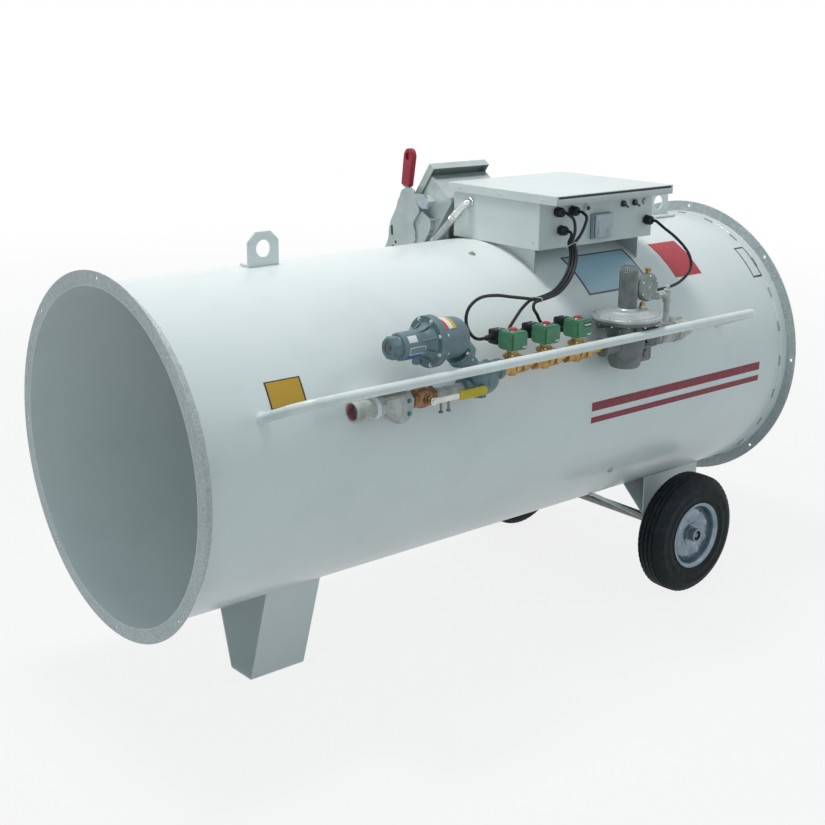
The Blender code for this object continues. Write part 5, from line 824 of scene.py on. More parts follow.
makeShell()
makeRings()
makeLug("lifting_lug_front", lug["xs"][0], 1)
makeLug("lifting_lug_rear", lug["xs"][1], -1)
makeDuctTrim()
refined("front_leg", "duct", 0.0012, "duct_white")
print("duct ready")


def solid(name, material, parts, slot=None, replaces=(), body=fixed, sharp=32):
    # one piece from rows of (maker, its values...)
    mesh = bmesh.new()
    for maker, *values in parts:
        maker(mesh, *values)
    return finishPiece(mesh, name, material, slot, replaces, body, sharp)


def sheetProfile(path, thickness):
    # the closed outline of a sheet that follows a path of (radius, along) points
    points = [Vector(point) for point in path]
    near, far = [], []
    for index, point in enumerate(points):
        ahead = points[min(index + 1, len(points) - 1)] - points[max(index - 1, 0)]
        across = Vector((-ahead.y, ahead.x)).normalized() * thickness / 2
        near.append(tuple(point + across))
        far.append(tuple(point - across))
    return near + far[::-1]


def addBead(mesh, centre, direction, radius, size, sides=48, rough=0.12):
    # a weld bead round an axis, with the ripples of its passes
    profile = [(radius + size * cos(tau * step / 8), size * sin(tau * step / 8)) for step in range(8)]
    start = len(mesh.verts)
    addTurned(mesh, profile, centre, direction, sides)
    mesh.verts.ensure_lookup_table()
    side, up, forward = axesOf(direction)
    for vert in list(mesh.verts)[start:]:
        off = vert.co - Vector(centre)
        angle = atan2(off.dot(up), off.dot(side))
        arm = off - forward * off.dot(forward)
        middle = Vector(centre) + arm.normalized() * radius
        vert.co = middle + (vert.co - middle) * (1 + rough * sin(angle * sides / 3))


def addSeam(mesh, start, end, size, rough=0.2):
    # a straight weld bead
    length = (Vector(end) - Vector(start)).length
    count = max(6, round(length / (size * 0.6)))
    path = [Vector(start).lerp(Vector(end), step / count) for step in range(count + 1)]
    addTube(mesh, path, size, 8, lambda share: 1 - rough * (round(share * count) % 2))


# Running gear: axle, brackets, wheels

wheel = {"crown": 0.2029, "x": 1.42, "y": 0.408, "z": 0.203, "sides": 240,
    "grooves": (-0.0255, -0.0085, 0.0085, 0.0255), "grooveHalf": 0.002, "grooveDepth": 0.0062, "zigs": 60,
    "zig": 0.0016, "notch": 0.0022, "hub": 0.0225, "hubHalf": 0.055, "bore": 0.0099, "pocket": 0.0165,
    "pocketDepth": 0.014, "sheet": 0.0028, "stamps": 8, "stampRadius": 0.069, "stampHalf": 0.014,
    "stampRise": 0.0045}
tyreSide = [(0.1026, -0.0437), (0.1085, -0.0446), (0.1145, -0.0472), (0.1165, -0.049), (0.119, -0.0484),
    (0.124, -0.0496), (0.133, -0.0511), (0.1345, -0.0519), (0.1365, -0.0519), (0.138, -0.0511), (0.152, -0.0512),
    (0.164, -0.0506), (0.1655, -0.0512), (0.1675, -0.051), (0.169, -0.05), (0.18, -0.047), (0.188, -0.0432),
    (0.1935, -0.039), (0.1972, -0.0348), (0.1996, -0.031)]
rimPath = [(0.1126, 0.0487), (0.1085, 0.0486), (0.1045, 0.0474), (0.1012, 0.045), (0.0992, 0.041), (0.0985, 0.034),
    (0.098, 0.027), (0.096, 0.022), (0.09, 0.015), (0.087, 0.01), (0.0855, 0.0045)]
discPath = [(0.0214, 0.0245), (0.027, 0.0246), (0.033, 0.0252), (0.0385, 0.0275), (0.0425, 0.031), (0.0465, 0.0328),
    (0.052, 0.0332), (0.056, 0.033), (0.06, 0.0328), (0.064, 0.0325), (0.068, 0.0321), (0.072, 0.0316),
    (0.076, 0.031), (0.08, 0.03), (0.085, 0.028), (0.089, 0.0255), (0.0925, 0.0225), (0.0945, 0.019)]


def treadProfile():
    made = list(tyreSide)
    for middle in wheel["grooves"]:
        half, floor = wheel["grooveHalf"], wheel["crown"] - wheel["grooveDepth"]
        level = wheel["crown"] - abs(middle) * 0.06
        made += [(level, middle - half - 0.0007), (level - 0.0008, middle - half), (floor, middle - half * 0.7),
            (floor, middle + half * 0.7), (level - 0.0008, middle + half), (level, middle + half + 0.0007)]
    return made + [(radius, -along) for radius, along in reversed(tyreSide)]


def shapeWheel(mesh, centre, outward, kind):
    # the zigzag tread, the shoulder notches and the stamped bumps of the disc
    middle = Vector(centre)
    for vert in mesh.verts:
        off = vert.co - middle
        along = off.y * outward
        radius, angle = hypot(off.x, off.z), atan2(off.z, off.x)
        if kind == "tyre" and radius > 0.19 and abs(along) < 0.029:
            turnShare = (angle / tau * wheel["zigs"]) % 1
            vert.co.y += outward * wheel["zig"] * (4 * abs(turnShare - 0.5) - 1)
        elif kind == "tyre" and 0.1915 < radius < 0.2:
            if round(angle / tau * wheel["sides"] + (2 if along > 0 else 0)) % 4 < 2:
                vert.co -= Vector((off.x, 0, off.z)).normalized() * wheel["notch"]
        elif kind == "disc":
            swing = abs((angle / tau * wheel["stamps"]) % 1 - 0.5) * tau * radius / wheel["stamps"]
            reach = hypot(swing, radius - wheel["stampRadius"]) / wheel["stampHalf"]
            if reach < 1:
                rise = min(1.0, (1 - reach * reach) * 1.6)
                vert.co.y += outward * wheel["stampRise"] * rise * rise * (3 - 2 * rise)


def makeWheel(suffix, outward):
    centre, way = (wheel["x"], outward * wheel["y"], wheel["z"]), (0, outward, 0)
    riding = suffix + "_wheel"
    mesh = bmesh.new()
    addTurned(mesh, treadProfile(), centre, way, wheel["sides"])
    shapeWheel(mesh, centre, outward, "tyre")
    finishPiece(mesh, "tyre_skin_" + suffix, "rubber", "tyre_rubber", ("tyre_" + suffix,), riding, 40)
    barrel = rimPath + [(radius, -along) for radius, along in reversed(rimPath)]
    hub, bore, pocket, half = wheel["hub"], wheel["bore"], wheel["pocket"], wheel["hubHalf"]
    floor = half - wheel["pocketDepth"]
    tube = [(bore, -half), (hub - 0.001, -half), (hub, -half + 0.001), (hub, half - 0.001), (hub - 0.001, half),
        (pocket + 0.0006, half), (pocket, half - 0.0006), (pocket, floor), (bore, floor)]
    solid("rim_barrel_" + suffix, "wheel", [
        (addTurned, sheetProfile(barrel, wheel["sheet"]), centre, way, 160),
        (addTurned, tube, centre, way, 72),
        (addBead, Vector(centre) + Vector(way) * 0.0268, way, hub, 0.0022),
        (addBead, Vector(centre) + Vector(way) * 0.0175, way, 0.0925, 0.002, 96)],
        "zinc_wheel", ("rim_" + suffix,), riding)
    mesh = bmesh.new()
    addTurned(mesh, sheetProfile(discPath, wheel["sheet"]), centre, way, 192)
    shapeWheel(mesh, centre, outward, "disc")
    finishPiece(mesh, "rim_disc_" + suffix, "wheel", "zinc_wheel", (), riding, 40)
    start = Vector(centre) + Vector(way) * (floor + 0.0004)
    clip = [(0.0098, 0), (0.0156, 0), (0.015, 0.0012), (0.0136, 0.0029), (0.0128, 0.0029), (0.0126, 0.0012),
        (0.0098, 0.0012)]
    solid("clip_skin_" + suffix, "steel", [
        (addTurned, clip, start, way, 48)], "axle_steel", ("wheel_clip_" + suffix,))
    fins("clip_teeth_" + suffix, start + Vector(way) * 0.0022, way, "steel", "axle_steel", count=6, radius=0.0113,
        bar=(0.0026, 0.0022, 0.0012))


bracket = {"front": 1.385, "rear": 1.665, "outer": 0.2525, "sheet": 0.005, "bottom": 0.135, "chamfer": 0.1,
    "braceLow": 0.232, "braceIn": 0.157, "braceSheet": 0.004, "stay": 0.006, "stayLow": 0.215, "stayFront": 1.115,
    "axle": 0.0163, "collar": 0.024, "collarDepth": 0.006}


def under(y):
    # the height of the duct's underside at y
    return duct["axisZ"] - sqrt(duct["radius"] ** 2 - y * y)


def makeBracket(suffix, side):
    b = bracket
    outer, inner = side * b["outer"], side * (b["outer"] - b["sheet"])
    top = under(b["outer"] - b["sheet"]) - hair
    outline = [(b["front"], b["bottom"]), (b["rear"] - b["chamfer"], b["bottom"]),
        (b["rear"], b["bottom"] + b["chamfer"]), (b["rear"], top), (b["front"], top)]
    name = "axle_bracket_" + suffix
    plate = solid(name + "_plate", "duct", [
        (addPrism, outline, "Y", min(inner, outer), max(inner, outer), 0.0009)], "duct_white", (name,))
    hole = bmesh.new()
    addRod(hole, b["axle"], (wheel["x"], 0, wheel["z"]), (wheel["x"], 2 * outer, wheel["z"]), 48)
    carve(plate, hole)
    mid = b["outer"] - b["sheet"] / 2
    low, high = Vector((mid - 0.003, b["braceLow"])), Vector((b["braceIn"], under(b["braceIn"])))
    run = (high - low).normalized()
    high -= run * 0.002
    across = Vector((-run.y, run.x)) * b["braceSheet"]
    strip = [low, high, high + across, low + across]
    stayY = side * mid
    foot = Vector((b["front"] + b["stay"], stayY, b["stayLow"]))
    head = Vector((b["stayFront"], stayY, under(mid)))
    rest = (head - foot).normalized()
    collarX = (wheel["x"], outer - side * b["sheet"] - side * b["collarDepth"], wheel["z"])
    ringWall = [(b["axle"], 0), (b["collar"] - 0.001, 0), (b["collar"], 0.001),
        (b["collar"], b["collarDepth"] * 2 + b["sheet"] - 0.001),
        (b["collar"] - 0.001, b["collarDepth"] * 2 + b["sheet"]), (b["axle"], b["collarDepth"] * 2 + b["sheet"])]
    solid(name + "_stays", "duct", [
        (addPrism, [(side * p.x, p.y) for p in strip], "X", b["front"] + 0.0005, b["rear"] - 0.0005, 0.0006),
        (addRod, b["stay"], foot, head - rest * 0.003, 32, 0.001),
        (addTurned, ringWall, collarX, (0, side, 0), 56)], "duct_white")
    solid(name + "_welds", "duct", [
        (addSeam, (b["front"] + 0.004, outer, top - 0.0008), (b["rear"] - 0.004, outer, top - 0.0008), 0.0026),
        (addSeam, (b["front"] + 0.004, side * (b["braceIn"] + 0.002), under(b["braceIn"] + 0.002) - 0.001),
            (b["rear"] - 0.004, side * (b["braceIn"] + 0.002), under(b["braceIn"] + 0.002) - 0.001), 0.0024),
        (addBead, head - rest * 0.0035, rest, b["stay"], 0.0025, 32),
        (addBead, (wheel["x"], outer + side * 0.0008, wheel["z"]), (0, side, 0), b["collar"], 0.0022, 60)],
        "duct_white")


axle = {"body": 0.3526, "tip": 0.4583, "thin": 0.0095, "thick": 0.016}


def makeAxle():
    body, tip, thin, thick = (axle[key] for key in ("body", "tip", "thin", "thick"))
    half = [(thick, body - 0.001), (thick - 0.001, body), (thin, body), (thin, 0.4505), (thin - 0.001, 0.4512),
        (thin - 0.001, 0.4527), (thin, 0.4534), (thin, tip - 0.0012), (thin - 0.0012, tip), (0, tip)]
    profile = [(radius, -along) for radius, along in reversed(half)] + half
    solid("axle_skin", "steel", [
        (addTurned, profile, (wheel["x"], 0, wheel["z"]), (0, 1, 0), 64)], "axle_steel", ("axle",))


makeAxle()
for suffix, side in (("gas_side", -1), ("switch_side", 1)):
    makeBracket(suffix, side)
    makeWheel(suffix, side)
print("running gear ready")


# Guard rail and its bracket

rail = {"radius": 0.0133, "reach": 0.6336, "degrees": 21.9, "front": -0.276, "rear": 1.49, "bend": 0.06,
    "bracketX": (-0.015, 0.115), "sheet": 0.005, "clampX": (-0.002, 0.01)}
supply = {"z": 0.912, "runZ": 0.945, "pipe": 0.0241, "wall": 0.0036, "lip": 0.0285, "mouthX": -0.065, "inch": 0.0167}


def makeRail():
    r = rail
    spots = [(r["front"], duct["radius"] + hair), (r["front"], r["reach"]), (r["rear"], r["reach"]),
        (r["rear"], duct["radius"] + hair)]
    corners = [ductPoint(x, radius, r["degrees"]) for x, radius in spots]
    path = rounded(corners, r["bend"], 20)
    solid("guard_rail_tube", "rail", [(addTube, path, r["radius"], 48)], "duct_white", ("guard_rail",))
    away = corners[1] - corners[0]
    solid("guard_rail_welds", "rail", [
        (addBead, corners[0] + away.normalized() * 0.0022, away, r["radius"], 0.0036, 48),
        (addBead, corners[3] + away.normalized() * 0.0022, away, r["radius"], 0.0036, 48)], "duct_white")
    inner = ductPoint(0, duct["radius"] + 0.0008, r["degrees"])
    outer = ductPoint(0, r["reach"] - r["radius"] - hair, r["degrees"])
    out = (outer - inner).normalized()
    across = out.cross(Vector((1, 0, 0))) * r["sheet"] / 2
    low, high = r["bracketX"]
    plate = [(p.y, p.z) for p in (inner - across, outer - across, outer + across, inner + across)]
    y, z, clampLow, clampHigh = duct["lineY"], supply["z"], *r["clampX"]
    hangerZ = ductPoint(0, -y / cos(radians(r["degrees"])), r["degrees"]).z - r["sheet"] / 2
    strap = [(supply["pipe"] + hair, 0), (supply["pipe"] + 0.005, 0), (supply["pipe"] + 0.005, clampHigh - clampLow),
        (supply["pipe"] + hair, clampHigh - clampLow)]
    solid("rail_bracket_skin", "rail", [
        (addPrism, plate, "X", low, high, 0.0008),
        (addTurned, strap, (clampLow, y, z), (1, 0, 0), 64),
        (addBlock, (clampLow, y - 0.0045, z + supply["pipe"] + 0.003), (clampHigh, y + 0.0045, hangerZ), 0.0008)],
        "duct_white", ("rail_bracket",))
    base = ductPoint(0, duct["radius"] + 0.001, r["degrees"])
    edge = ductPoint(0, r["reach"] - r["radius"], r["degrees"])
    solid("rail_bracket_welds", "rail", [
        (addSeam, base + across + Vector((low + 0.002, 0, 0)), base + across + Vector((high - 0.002, 0, 0)), 0.0024),
        (addSeam, base - across + Vector((low + 0.002, 0, 0)), base - across + Vector((high - 0.002, 0, 0)), 0.0024),
        (addSeam, edge + across + Vector((low + 0.002, 0, 0)), edge + across + Vector((high - 0.002, 0, 0)), 0.0022)],
        "duct_white")
    ear = Vector((0.004, y - 0.0045, z + supply["pipe"] + 0.012))
    fasteners("rail_bracket_bolts", [(ear, (0, -1, 0)), (ear + Vector((0, 0.009, 0)), (0, 1, 0))], "plated",
        "galvanised", head=(0.0045, 0.0032), washer=(0.0056, 0.0008))


makeRail()
print("rail ready")


# Gas train

lineY = duct["lineY"]


def onLine(x, z=supply["z"]):
    return (x, lineY, z)


def addHex(mesh, radius, start, end, edge=0.0014, turn=pi / 6):
    addRod(mesh, radius, start, end, 6, edge, turn)


def addRibbed(mesh, radius, low, start, end, count, sides=48):
    # a round body with grooves between its ribs
    span = Vector(end) - Vector(start)
    pitch = span.length / count
    profile = [(0, 0)]
    for index in range(count):
        base = pitch * index
        profile += [(low, base), (radius, base + pitch * 0.2), (radius, base + pitch * 0.7),
            (low, base + pitch * 0.9)]
    profile += [(low, span.length), (0, span.length)]
    addTurned(mesh, profile, start, span, sides)


def makeInlet():
    lip, pipe, x = supply["lip"], supply["pipe"], supply["mouthX"]
    profile = [(0.0222, 0.0012), (0.0236, 0), (lip - 0.0012, 0), (lip, 0.0012)]
    for start in (0.0055, 0.0125, 0.0185):
        profile += [(lip, start), (lip - 0.0014, start + 0.0008), (lip - 0.0014, start + 0.0022),
            (lip, start + 0.003)]
    profile += [(lip, 0.0228), (lip - 0.0014, 0.0242), (pipe + 0.0006, 0.0262), (pipe, 0.028), (pipe, 0.0767),
        (0.0205, 0.0767), (0.0205, 0.025), (0.0222, 0.024)]
    solid("gas_inlet_skin", "fitting", [
        (addTurned, profile, onLine(x), (1, 0, 0), 96)], "fitting_white", ("gas_inlet",))
    thread = [(0.0221, 0.0008), (0.0221, 0.0238)]
    for index in range(9, -1, -1):
        at = 0.0012 + index * 0.0022
        thread += [(0.0214, at + 0.0017), (0.0203, at + 0.0011), (0.0214, at + 0.0002)]
    solid("gas_inlet_thread", "thread", [(addTurned, thread, onLine(x), (1, 0, 0), 96)])


def makeStrainer():
    z, y = supply["z"], lineY
    outline = [(0.022, z + 0.022), (0.034, z + 0.0255), (0.104, z + 0.0255), (0.112, z + 0.021), (0.112, z - 0.018),
        (0.094, z - 0.05), (0.066, z - 0.0505), (0.022, z - 0.021)]
    solid("strainer_body", "fitting", [
        (addPrism, outline, "Y", y - 0.028, y + 0.028, 0.006, 4),
        (addRod, 0.0292, onLine(0.0124), onLine(0.03), 8, 0.002, pi / 8),
        (addRod, 0.0292, onLine(0.1035), onLine(0.1186), 8, 0.002, pi / 8),
        (addRod, 0.0115, (0.0805, y, z - 0.0505), (0.0805, y, z - 0.0516), 32, 0.0004)], "fitting_white",
        ("gas_strainer",))
    solid("strainer_cover", "fitting", [
        (addPrism, [(0.078, z + 0.016), (0.1085, z + 0.016), (0.1085, z - 0.03), (0.094, z - 0.044),
            (0.078, z - 0.03)], "Y", y - 0.0298, y - 0.0272, 0.0009),
        (addHex, 0.009, (0.08, y, z - 0.05), (0.08, y, z - 0.0518), 0.0004)], "fitting_white")
    fasteners("strainer_bolts", [
        ((0.0985, y - 0.0299, z + 0.008), (0, -1, 0)), ((0.0985, y - 0.0299, z - 0.026), (0, -1, 0))], "teal",
        head=(0.0054, 0.0044), washer=(0.0066, 0.001))


ballValve = {"x": 0.1635, "half": 0.0375, "ball": 0.0285, "hex": 0.0255, "hexLength": 0.016, "stem": 0.0095,
    "leverY": -0.5555, "leverSheet": 0.003, "leverHalf": 0.0075, "length": 0.186, "grip": 0.1, "gripHalf": 0.0125,
    "gripSheet": 0.0022}


def makeBallValve():
    v = ballValve
    x, low, high = v["x"], v["x"] - v["half"], v["x"] + v["half"]
    rings = []
    for start in (0.2045, 0.2085, 0.2125):
        rings.append((addTurned, [(0, 0), (v["stem"], 0), (0.0176, 0.0004), (0.0176, 0.0014), (0.0166, 0.0026),
            (0, 0.0026)], onLine(start), (1, 0, 0), 40))
    half = v["half"] - v["hexLength"] / 2
    ball = [(0, -half), (0.0205, -half), (0.0235, -half * 0.7), (0.0272, -half * 0.4), (v["ball"], -half * 0.1),
        (v["ball"], half * 0.1), (0.0272, half * 0.4), (0.0235, half * 0.7), (0.0205, half), (0, half)]
    solid("ball_valve_skin", "brownBrass", [
        (addRod, supply["inch"], onLine(0.1192), onLine(0.2035), 48),
        (addHex, v["hex"], onLine(low), onLine(low + v["hexLength"])),
        (addHex, v["hex"], onLine(high - v["hexLength"]), onLine(high)),
        (addTurned, ball, onLine(x), (1, 0, 0), 64),
        (addTurned, [(0, 0.02), (0.015, 0.02), (0.015, 0.0335), (0.0138, 0.035), (0, 0.035)],
            onLine(x), (0, -1, 0), 40),
        (addRod, v["stem"] * 0.8, (x, -0.53, supply["z"]), (x, v["leverY"] + 0.0012, supply["z"]), 32)],
        "brass", ("ball_valve_body",))
    solid("ball_valve_gland", "brass", [
        (addHex, 0.0125, (x, lineY - 0.0352, supply["z"]), (x, lineY - 0.0438, supply["z"]), 0.001)], "brass")
    solid("supply_pipe_skin", "fitting", [
        (addRod, supply["inch"], onLine(0.2035), onLine(0.3026), 48), *rings], "fitting_white")
    face, z = v["leverY"] - v["leverSheet"], supply["z"]
    tip = x + v["length"]
    grip = tip - v["grip"]
    end = [(x - 0.012 * cos(a), z + 0.012 * sin(a)) for a in (radians(d) for d in range(60, -61, -12))]
    arm = [(x + 0.014, z - v["leverHalf"])] + end[::-1] + [(x + 0.014, z + v["leverHalf"]),
        (tip - 0.006, z + v["leverHalf"] * 0.9), (tip - 0.006, z - v["leverHalf"] * 0.9)]
    solid("lever_arm", "plated", [
        (addPrism, arm, "Y", face, v["leverY"], 0.0005),
        (addHex, 0.0074, (x, face, z), (x, face - 0.0028, z), 0.0008),
        (addRod, 0.0034, (x, face - 0.0022, z), (x, face - 0.003, z), 20, 0.0004)], None, ("ball_valve_lever",),
        "supply_lever")
    gripRows = [
        (addPrism, [(grip, z - v["gripHalf"] * 0.86), (grip + 0.004, z - v["gripHalf"]),
            (tip - 0.012, z - v["gripHalf"]), (tip - 0.003, z - v["gripHalf"] * 0.7), (tip, z - 0.004),
            (tip, z + 0.004), (tip - 0.003, z + v["gripHalf"] * 0.7), (tip - 0.012, z + v["gripHalf"]),
            (grip + 0.004, z + v["gripHalf"]), (grip, z + v["gripHalf"] * 0.86)], "Y",
            face - v["gripSheet"] + 0.0006, v["leverY"] + v["gripSheet"], 0.0016, 3)]
    for index in range(8):
        at = grip + 0.014 + index * 0.009
        gripRows.append((addBlock, (at, face - v["gripSheet"], z - 0.009), (at + 0.0028, face, z + 0.009), 0.0008))
    solid("lever_grip", "yellow", gripRows, "lever_yellow", (), "supply_lever")


highRegulator = {"neckX": 0.254, "ventX": 0.146, "boltTurn": 22.5, "x": 0.303, "end": 0.441, "boss": 0.029,
    "belly": 0.046, "caseZ": 1.058, "endX": 0.052, "root": 0.037, "flangeX": 0.175, "flangeEnd": 0.199,
    "flange": 0.0685, "dome": 0.056, "domeEnd": 0.299, "neck": 0.024, "neckFlange": 0.04, "neckSheet": 0.011,
    "split": 0.067, "bolts": 8, "boltCircle": 0.0615}


def makeHighRegulator():
    h = highRegulator
    middle, level = (h["x"] + h["end"]) / 2, (supply["z"] + supply["runZ"]) / 2
    top, foot = Vector((h["neckX"], lineY, h["caseZ"])), Vector((middle, lineY, level))
    heading = (foot - top).normalized()
    split = top + heading * h["split"]
    bosses = []
    for start, end, z in ((h["x"], middle, supply["z"]), (h["end"], middle, supply["runZ"])):
        way = 1 if end > start else -1
        bosses.append((addTurned, [(0, 0), (h["boss"] - 0.0015, 0), (h["boss"], 0.0015), (h["boss"], 0.013),
            (h["boss"] - 0.004, 0.0165), (h["boss"] - 0.003, 0.03), (h["boss"] + 0.004, 0.045), (0, 0.069)],
            onLine(start, z), (way, 0, 0), 64))
    bellyHalf = (h["end"] - h["x"]) * 0.36
    belly = [(h["belly"] * cos(a) ** 0.7, bellyHalf * sin(a)) for a in (radians(d) for d in range(-80, 81, 10))]
    belly = [(0, -bellyHalf)] + belly + [(0, bellyHalf)]
    solid("regulator_body_skin", "regulator", [*bosses,
        (addTurned, belly, onLine(middle, level), (1, 0, 0), 72),
        (addTurned, [(0, 0), (h["neckFlange"] - 0.001, 0), (h["neckFlange"], 0.001),
            (h["neckFlange"], h["neckSheet"] - 0.001), (h["neckFlange"] - 0.001, h["neckSheet"]),
            (h["neck"] + 0.005, h["neckSheet"]), (h["neck"], h["neckSheet"] + 0.005), (h["neck"] + 0.001, 0.05),
            (0, 0.075)], split + heading * hair, heading, 64),
        (addRod, 0.017, (middle, lineY, level - 0.03), (middle, lineY, level - 0.052), 6, 0.0015),
        (addRod, 0.0125, (middle, lineY - 0.035, level), (middle, lineY - 0.0485, level), 6, 0.0012)],
        "regulator_grey", ("regulator_body",))
    reach = h["flangeX"]
    end, wide = h["endX"], h["root"]
    profile = [(0, end + 0.01), (0.015, end + 0.01), (0.0158, end + 0.0008), (0.0175, end), (0.0255, end),
        (0.0275, end + 0.002), (0.0285, end + 0.026), (0.0295, end + 0.0275), (wide - 0.0035, end + 0.028),
        (wide - 0.0006, end + 0.031), (wide, end + 0.036), (wide, reach - 0.03), (wide + 0.001, reach - 0.022),
        (wide + 0.005, reach - 0.011), (wide + 0.011, reach - 0.004), (0.0525, reach), (h["flange"] - 0.0012, reach),
        (h["flange"], reach + 0.0012), (h["flange"], reach + 0.0108), (h["flange"] - 0.0008, reach + 0.0114),
        (h["flange"] - 0.0008, reach + 0.0126), (h["flange"], reach + 0.0132), (h["flange"], h["flangeEnd"] - 0.0012),
        (h["flange"] - 0.0012, h["flangeEnd"]), (h["dome"] + 0.001, h["flangeEnd"]),
        (h["dome"], h["flangeEnd"] + 0.002), (h["dome"] - 0.0008, 0.262), (h["dome"] * 0.96, 0.274),
        (h["dome"] * 0.9, 0.283), (h["dome"] * 0.8, 0.2905), (h["dome"] * 0.66, 0.2962),
        (h["dome"] * 0.5, h["domeEnd"] - 0.0006), (h["dome"] * 0.3, h["domeEnd"]), (0, h["domeEnd"])]
    axis = (0, lineY, h["caseZ"])
    ribs = []
    for index in range(8):
        angle = radians(22.5 + 45 * index)
        ray = Vector((0, cos(angle), sin(angle)))
        base = Vector(axis) + ray * (wide - 0.002)
        ribs.append((addTube, [base + Vector((0.136, 0, 0)), base + ray * 0.005 + Vector((0.155, 0, 0)),
            base + ray * 0.0155 + Vector((0.172, 0, 0))], 0.0032, 10))
    solid("regulator_case_skin", "regulator", [
        (addTurned, profile, axis, (1, 0, 0), 112),
        (addRod, 0.0312, (end + 0.003, lineY, h["caseZ"]), (end + 0.023, lineY, h["caseZ"]), 8, 0.0014, pi / 8),
        (addRod, h["neck"], top + heading * 0.03, split, 56),
        (addTurned, [(0, 0), (h["neckFlange"] - 0.001, 0), (h["neckFlange"], 0.001),
            (h["neckFlange"], h["neckSheet"] - 0.001), (h["neckFlange"] - 0.001, h["neckSheet"]),
            (0, h["neckSheet"])], split - heading * h["neckSheet"], heading, 64),
        (addHex, 0.0125, (h["ventX"], lineY, h["caseZ"] - 0.034), (h["ventX"], lineY, h["caseZ"] - 0.053), 0.001),
        *ribs], "regulator_grey", ("regulator_case",))
    solid("regulator_plug", "recess", [
        (addTurned, [(0, 0), (0.0062, 0), (0.0068, 0.0012), (0.0068, 0.004), (0.014, 0.0045), (0.0148, 0.0012),
            (0.0152, 0.0012), (0.0152, 0.0092), (0, 0.0092)],
            (h["endX"] + 0.0008, lineY, h["caseZ"]), (1, 0, 0), 48)])
    solid("regulator_vent", "black", [
        (addRod, 0.0086, (h["ventX"], lineY, h["caseZ"] - 0.0531), (h["ventX"], lineY, h["caseZ"] - 0.0545), 24,
            0.0004)])
    spots = onCircle((reach - 0.0002, lineY, h["caseZ"]), (-1, 0, 0), h["boltCircle"], h["bolts"],
        radians(h["boltTurn"]))
    fasteners("case_bolts", spots, "plated", "regulator_grey", head=(0.0052, 0.0042), washer=(0.0064, 0.001))
    spots = onCircle((h["flangeEnd"] + 0.0002, lineY, h["caseZ"]), (1, 0, 0), h["boltCircle"], h["bolts"],
        radians(h["boltTurn"]))
    fasteners("case_nuts", spots, "plated", "regulator_grey", head=(0.005, 0.0045), washer=(0.006, 0.0008))
    neckTop = onCircle(split - heading * (h["neckSheet"] + 0.0002), -heading, 0.0325, 2, radians(90))
    neckLow = onCircle(split + heading * (h["neckSheet"] + 0.0006), heading, 0.0325, 2, radians(90))
    fasteners("neck_bolts", neckTop + neckLow, "plated", "regulator_grey", head=(0.0058, 0.0046),
        washer=(0.007, 0.001))
    for name, material, radius, along, degrees, thickness in (
            ("white", "plateWhite", wide, (0.094, 0.122), (128, 158), 0.0004),
            ("edged", "plateEdged", wide, (0.094, 0.146), (176, 208), 0.0014),
            ("blue", "plateBlue", wide, (0.092, 0.138), (211, 226), 0.0004),
            ("bands", "plateRainbow", h["dome"], (0.208, 0.244), (66, 140), 0.0004)):
        roundPlate("sticker_" + name, material, axis, radius + 0.0001, along, degrees, thickness=thickness)


hanging = {"xs": (0.2165, 0.243), "out": 0.018, "top": 0.905, "foot": 0.8685}


def makeHangingBolts():
    rows = []
    y = lineY - hanging["out"]
    for x in hanging["xs"]:
        rows += [
            (addRod, 0.0034, (x, y, hanging["top"]), (x, y, hanging["foot"]), 20, 0.0005),
            (addHex, 0.0064, (x, y, 0.8688), (x, y, 0.8638), 0.0007)]
    solid("hanging_bolts", "steel", rows)


makeHangingBolts()
makeInlet()
makeStrainer()
makeBallValve()
makeHighRegulator()
print("supply side ready")


valve = {"xs": (0.49, 0.6175, 0.745), "half": 0.0485, "body": 0.019, "hex": 0.0245, "hexLength": 0.02,
    "nipple": 0.0135, "bonnet": 0.0265, "coilLow": 0.994, "coilTop": 1.044, "coil": 0.03, "cap": 0.0115,
    "boltCircle": 0.0218, "plugShift": 0.012, "plug": 0.04, "plugY": (-0.4745, -0.4389), "plugZ": (1.002, 1.042),
    "gland": 0.0095, "glandLength": 0.026, "glandY": -0.4567, "glandZ": 1.022}


def addGland(mesh, radius, start, direction, length, cord):
    # a cable gland: a flat hexagon against the wall, a ribbed nut, a seal
    way = Vector(direction).normalized()
    start = Vector(start)
    addHex(mesh, radius, start, start + way * length * 0.28, radius * 0.08)
    addRibbed(mesh, radius * 0.93, radius * 0.84, start + way * length * 0.28, start + way * length * 0.62, 3, 40)
    profile = [(0, 0), (radius * 0.88, 0), (radius * 0.92, length * 0.04), (radius * 0.84, length * 0.2),
        (radius * 0.66, length * 0.3), (cord * 1.5, length * 0.32), (cord * 1.2, length * 0.375),
        (0, length * 0.375)]
    addTurned(mesh, profile, start + way * length * 0.62, way, 40)


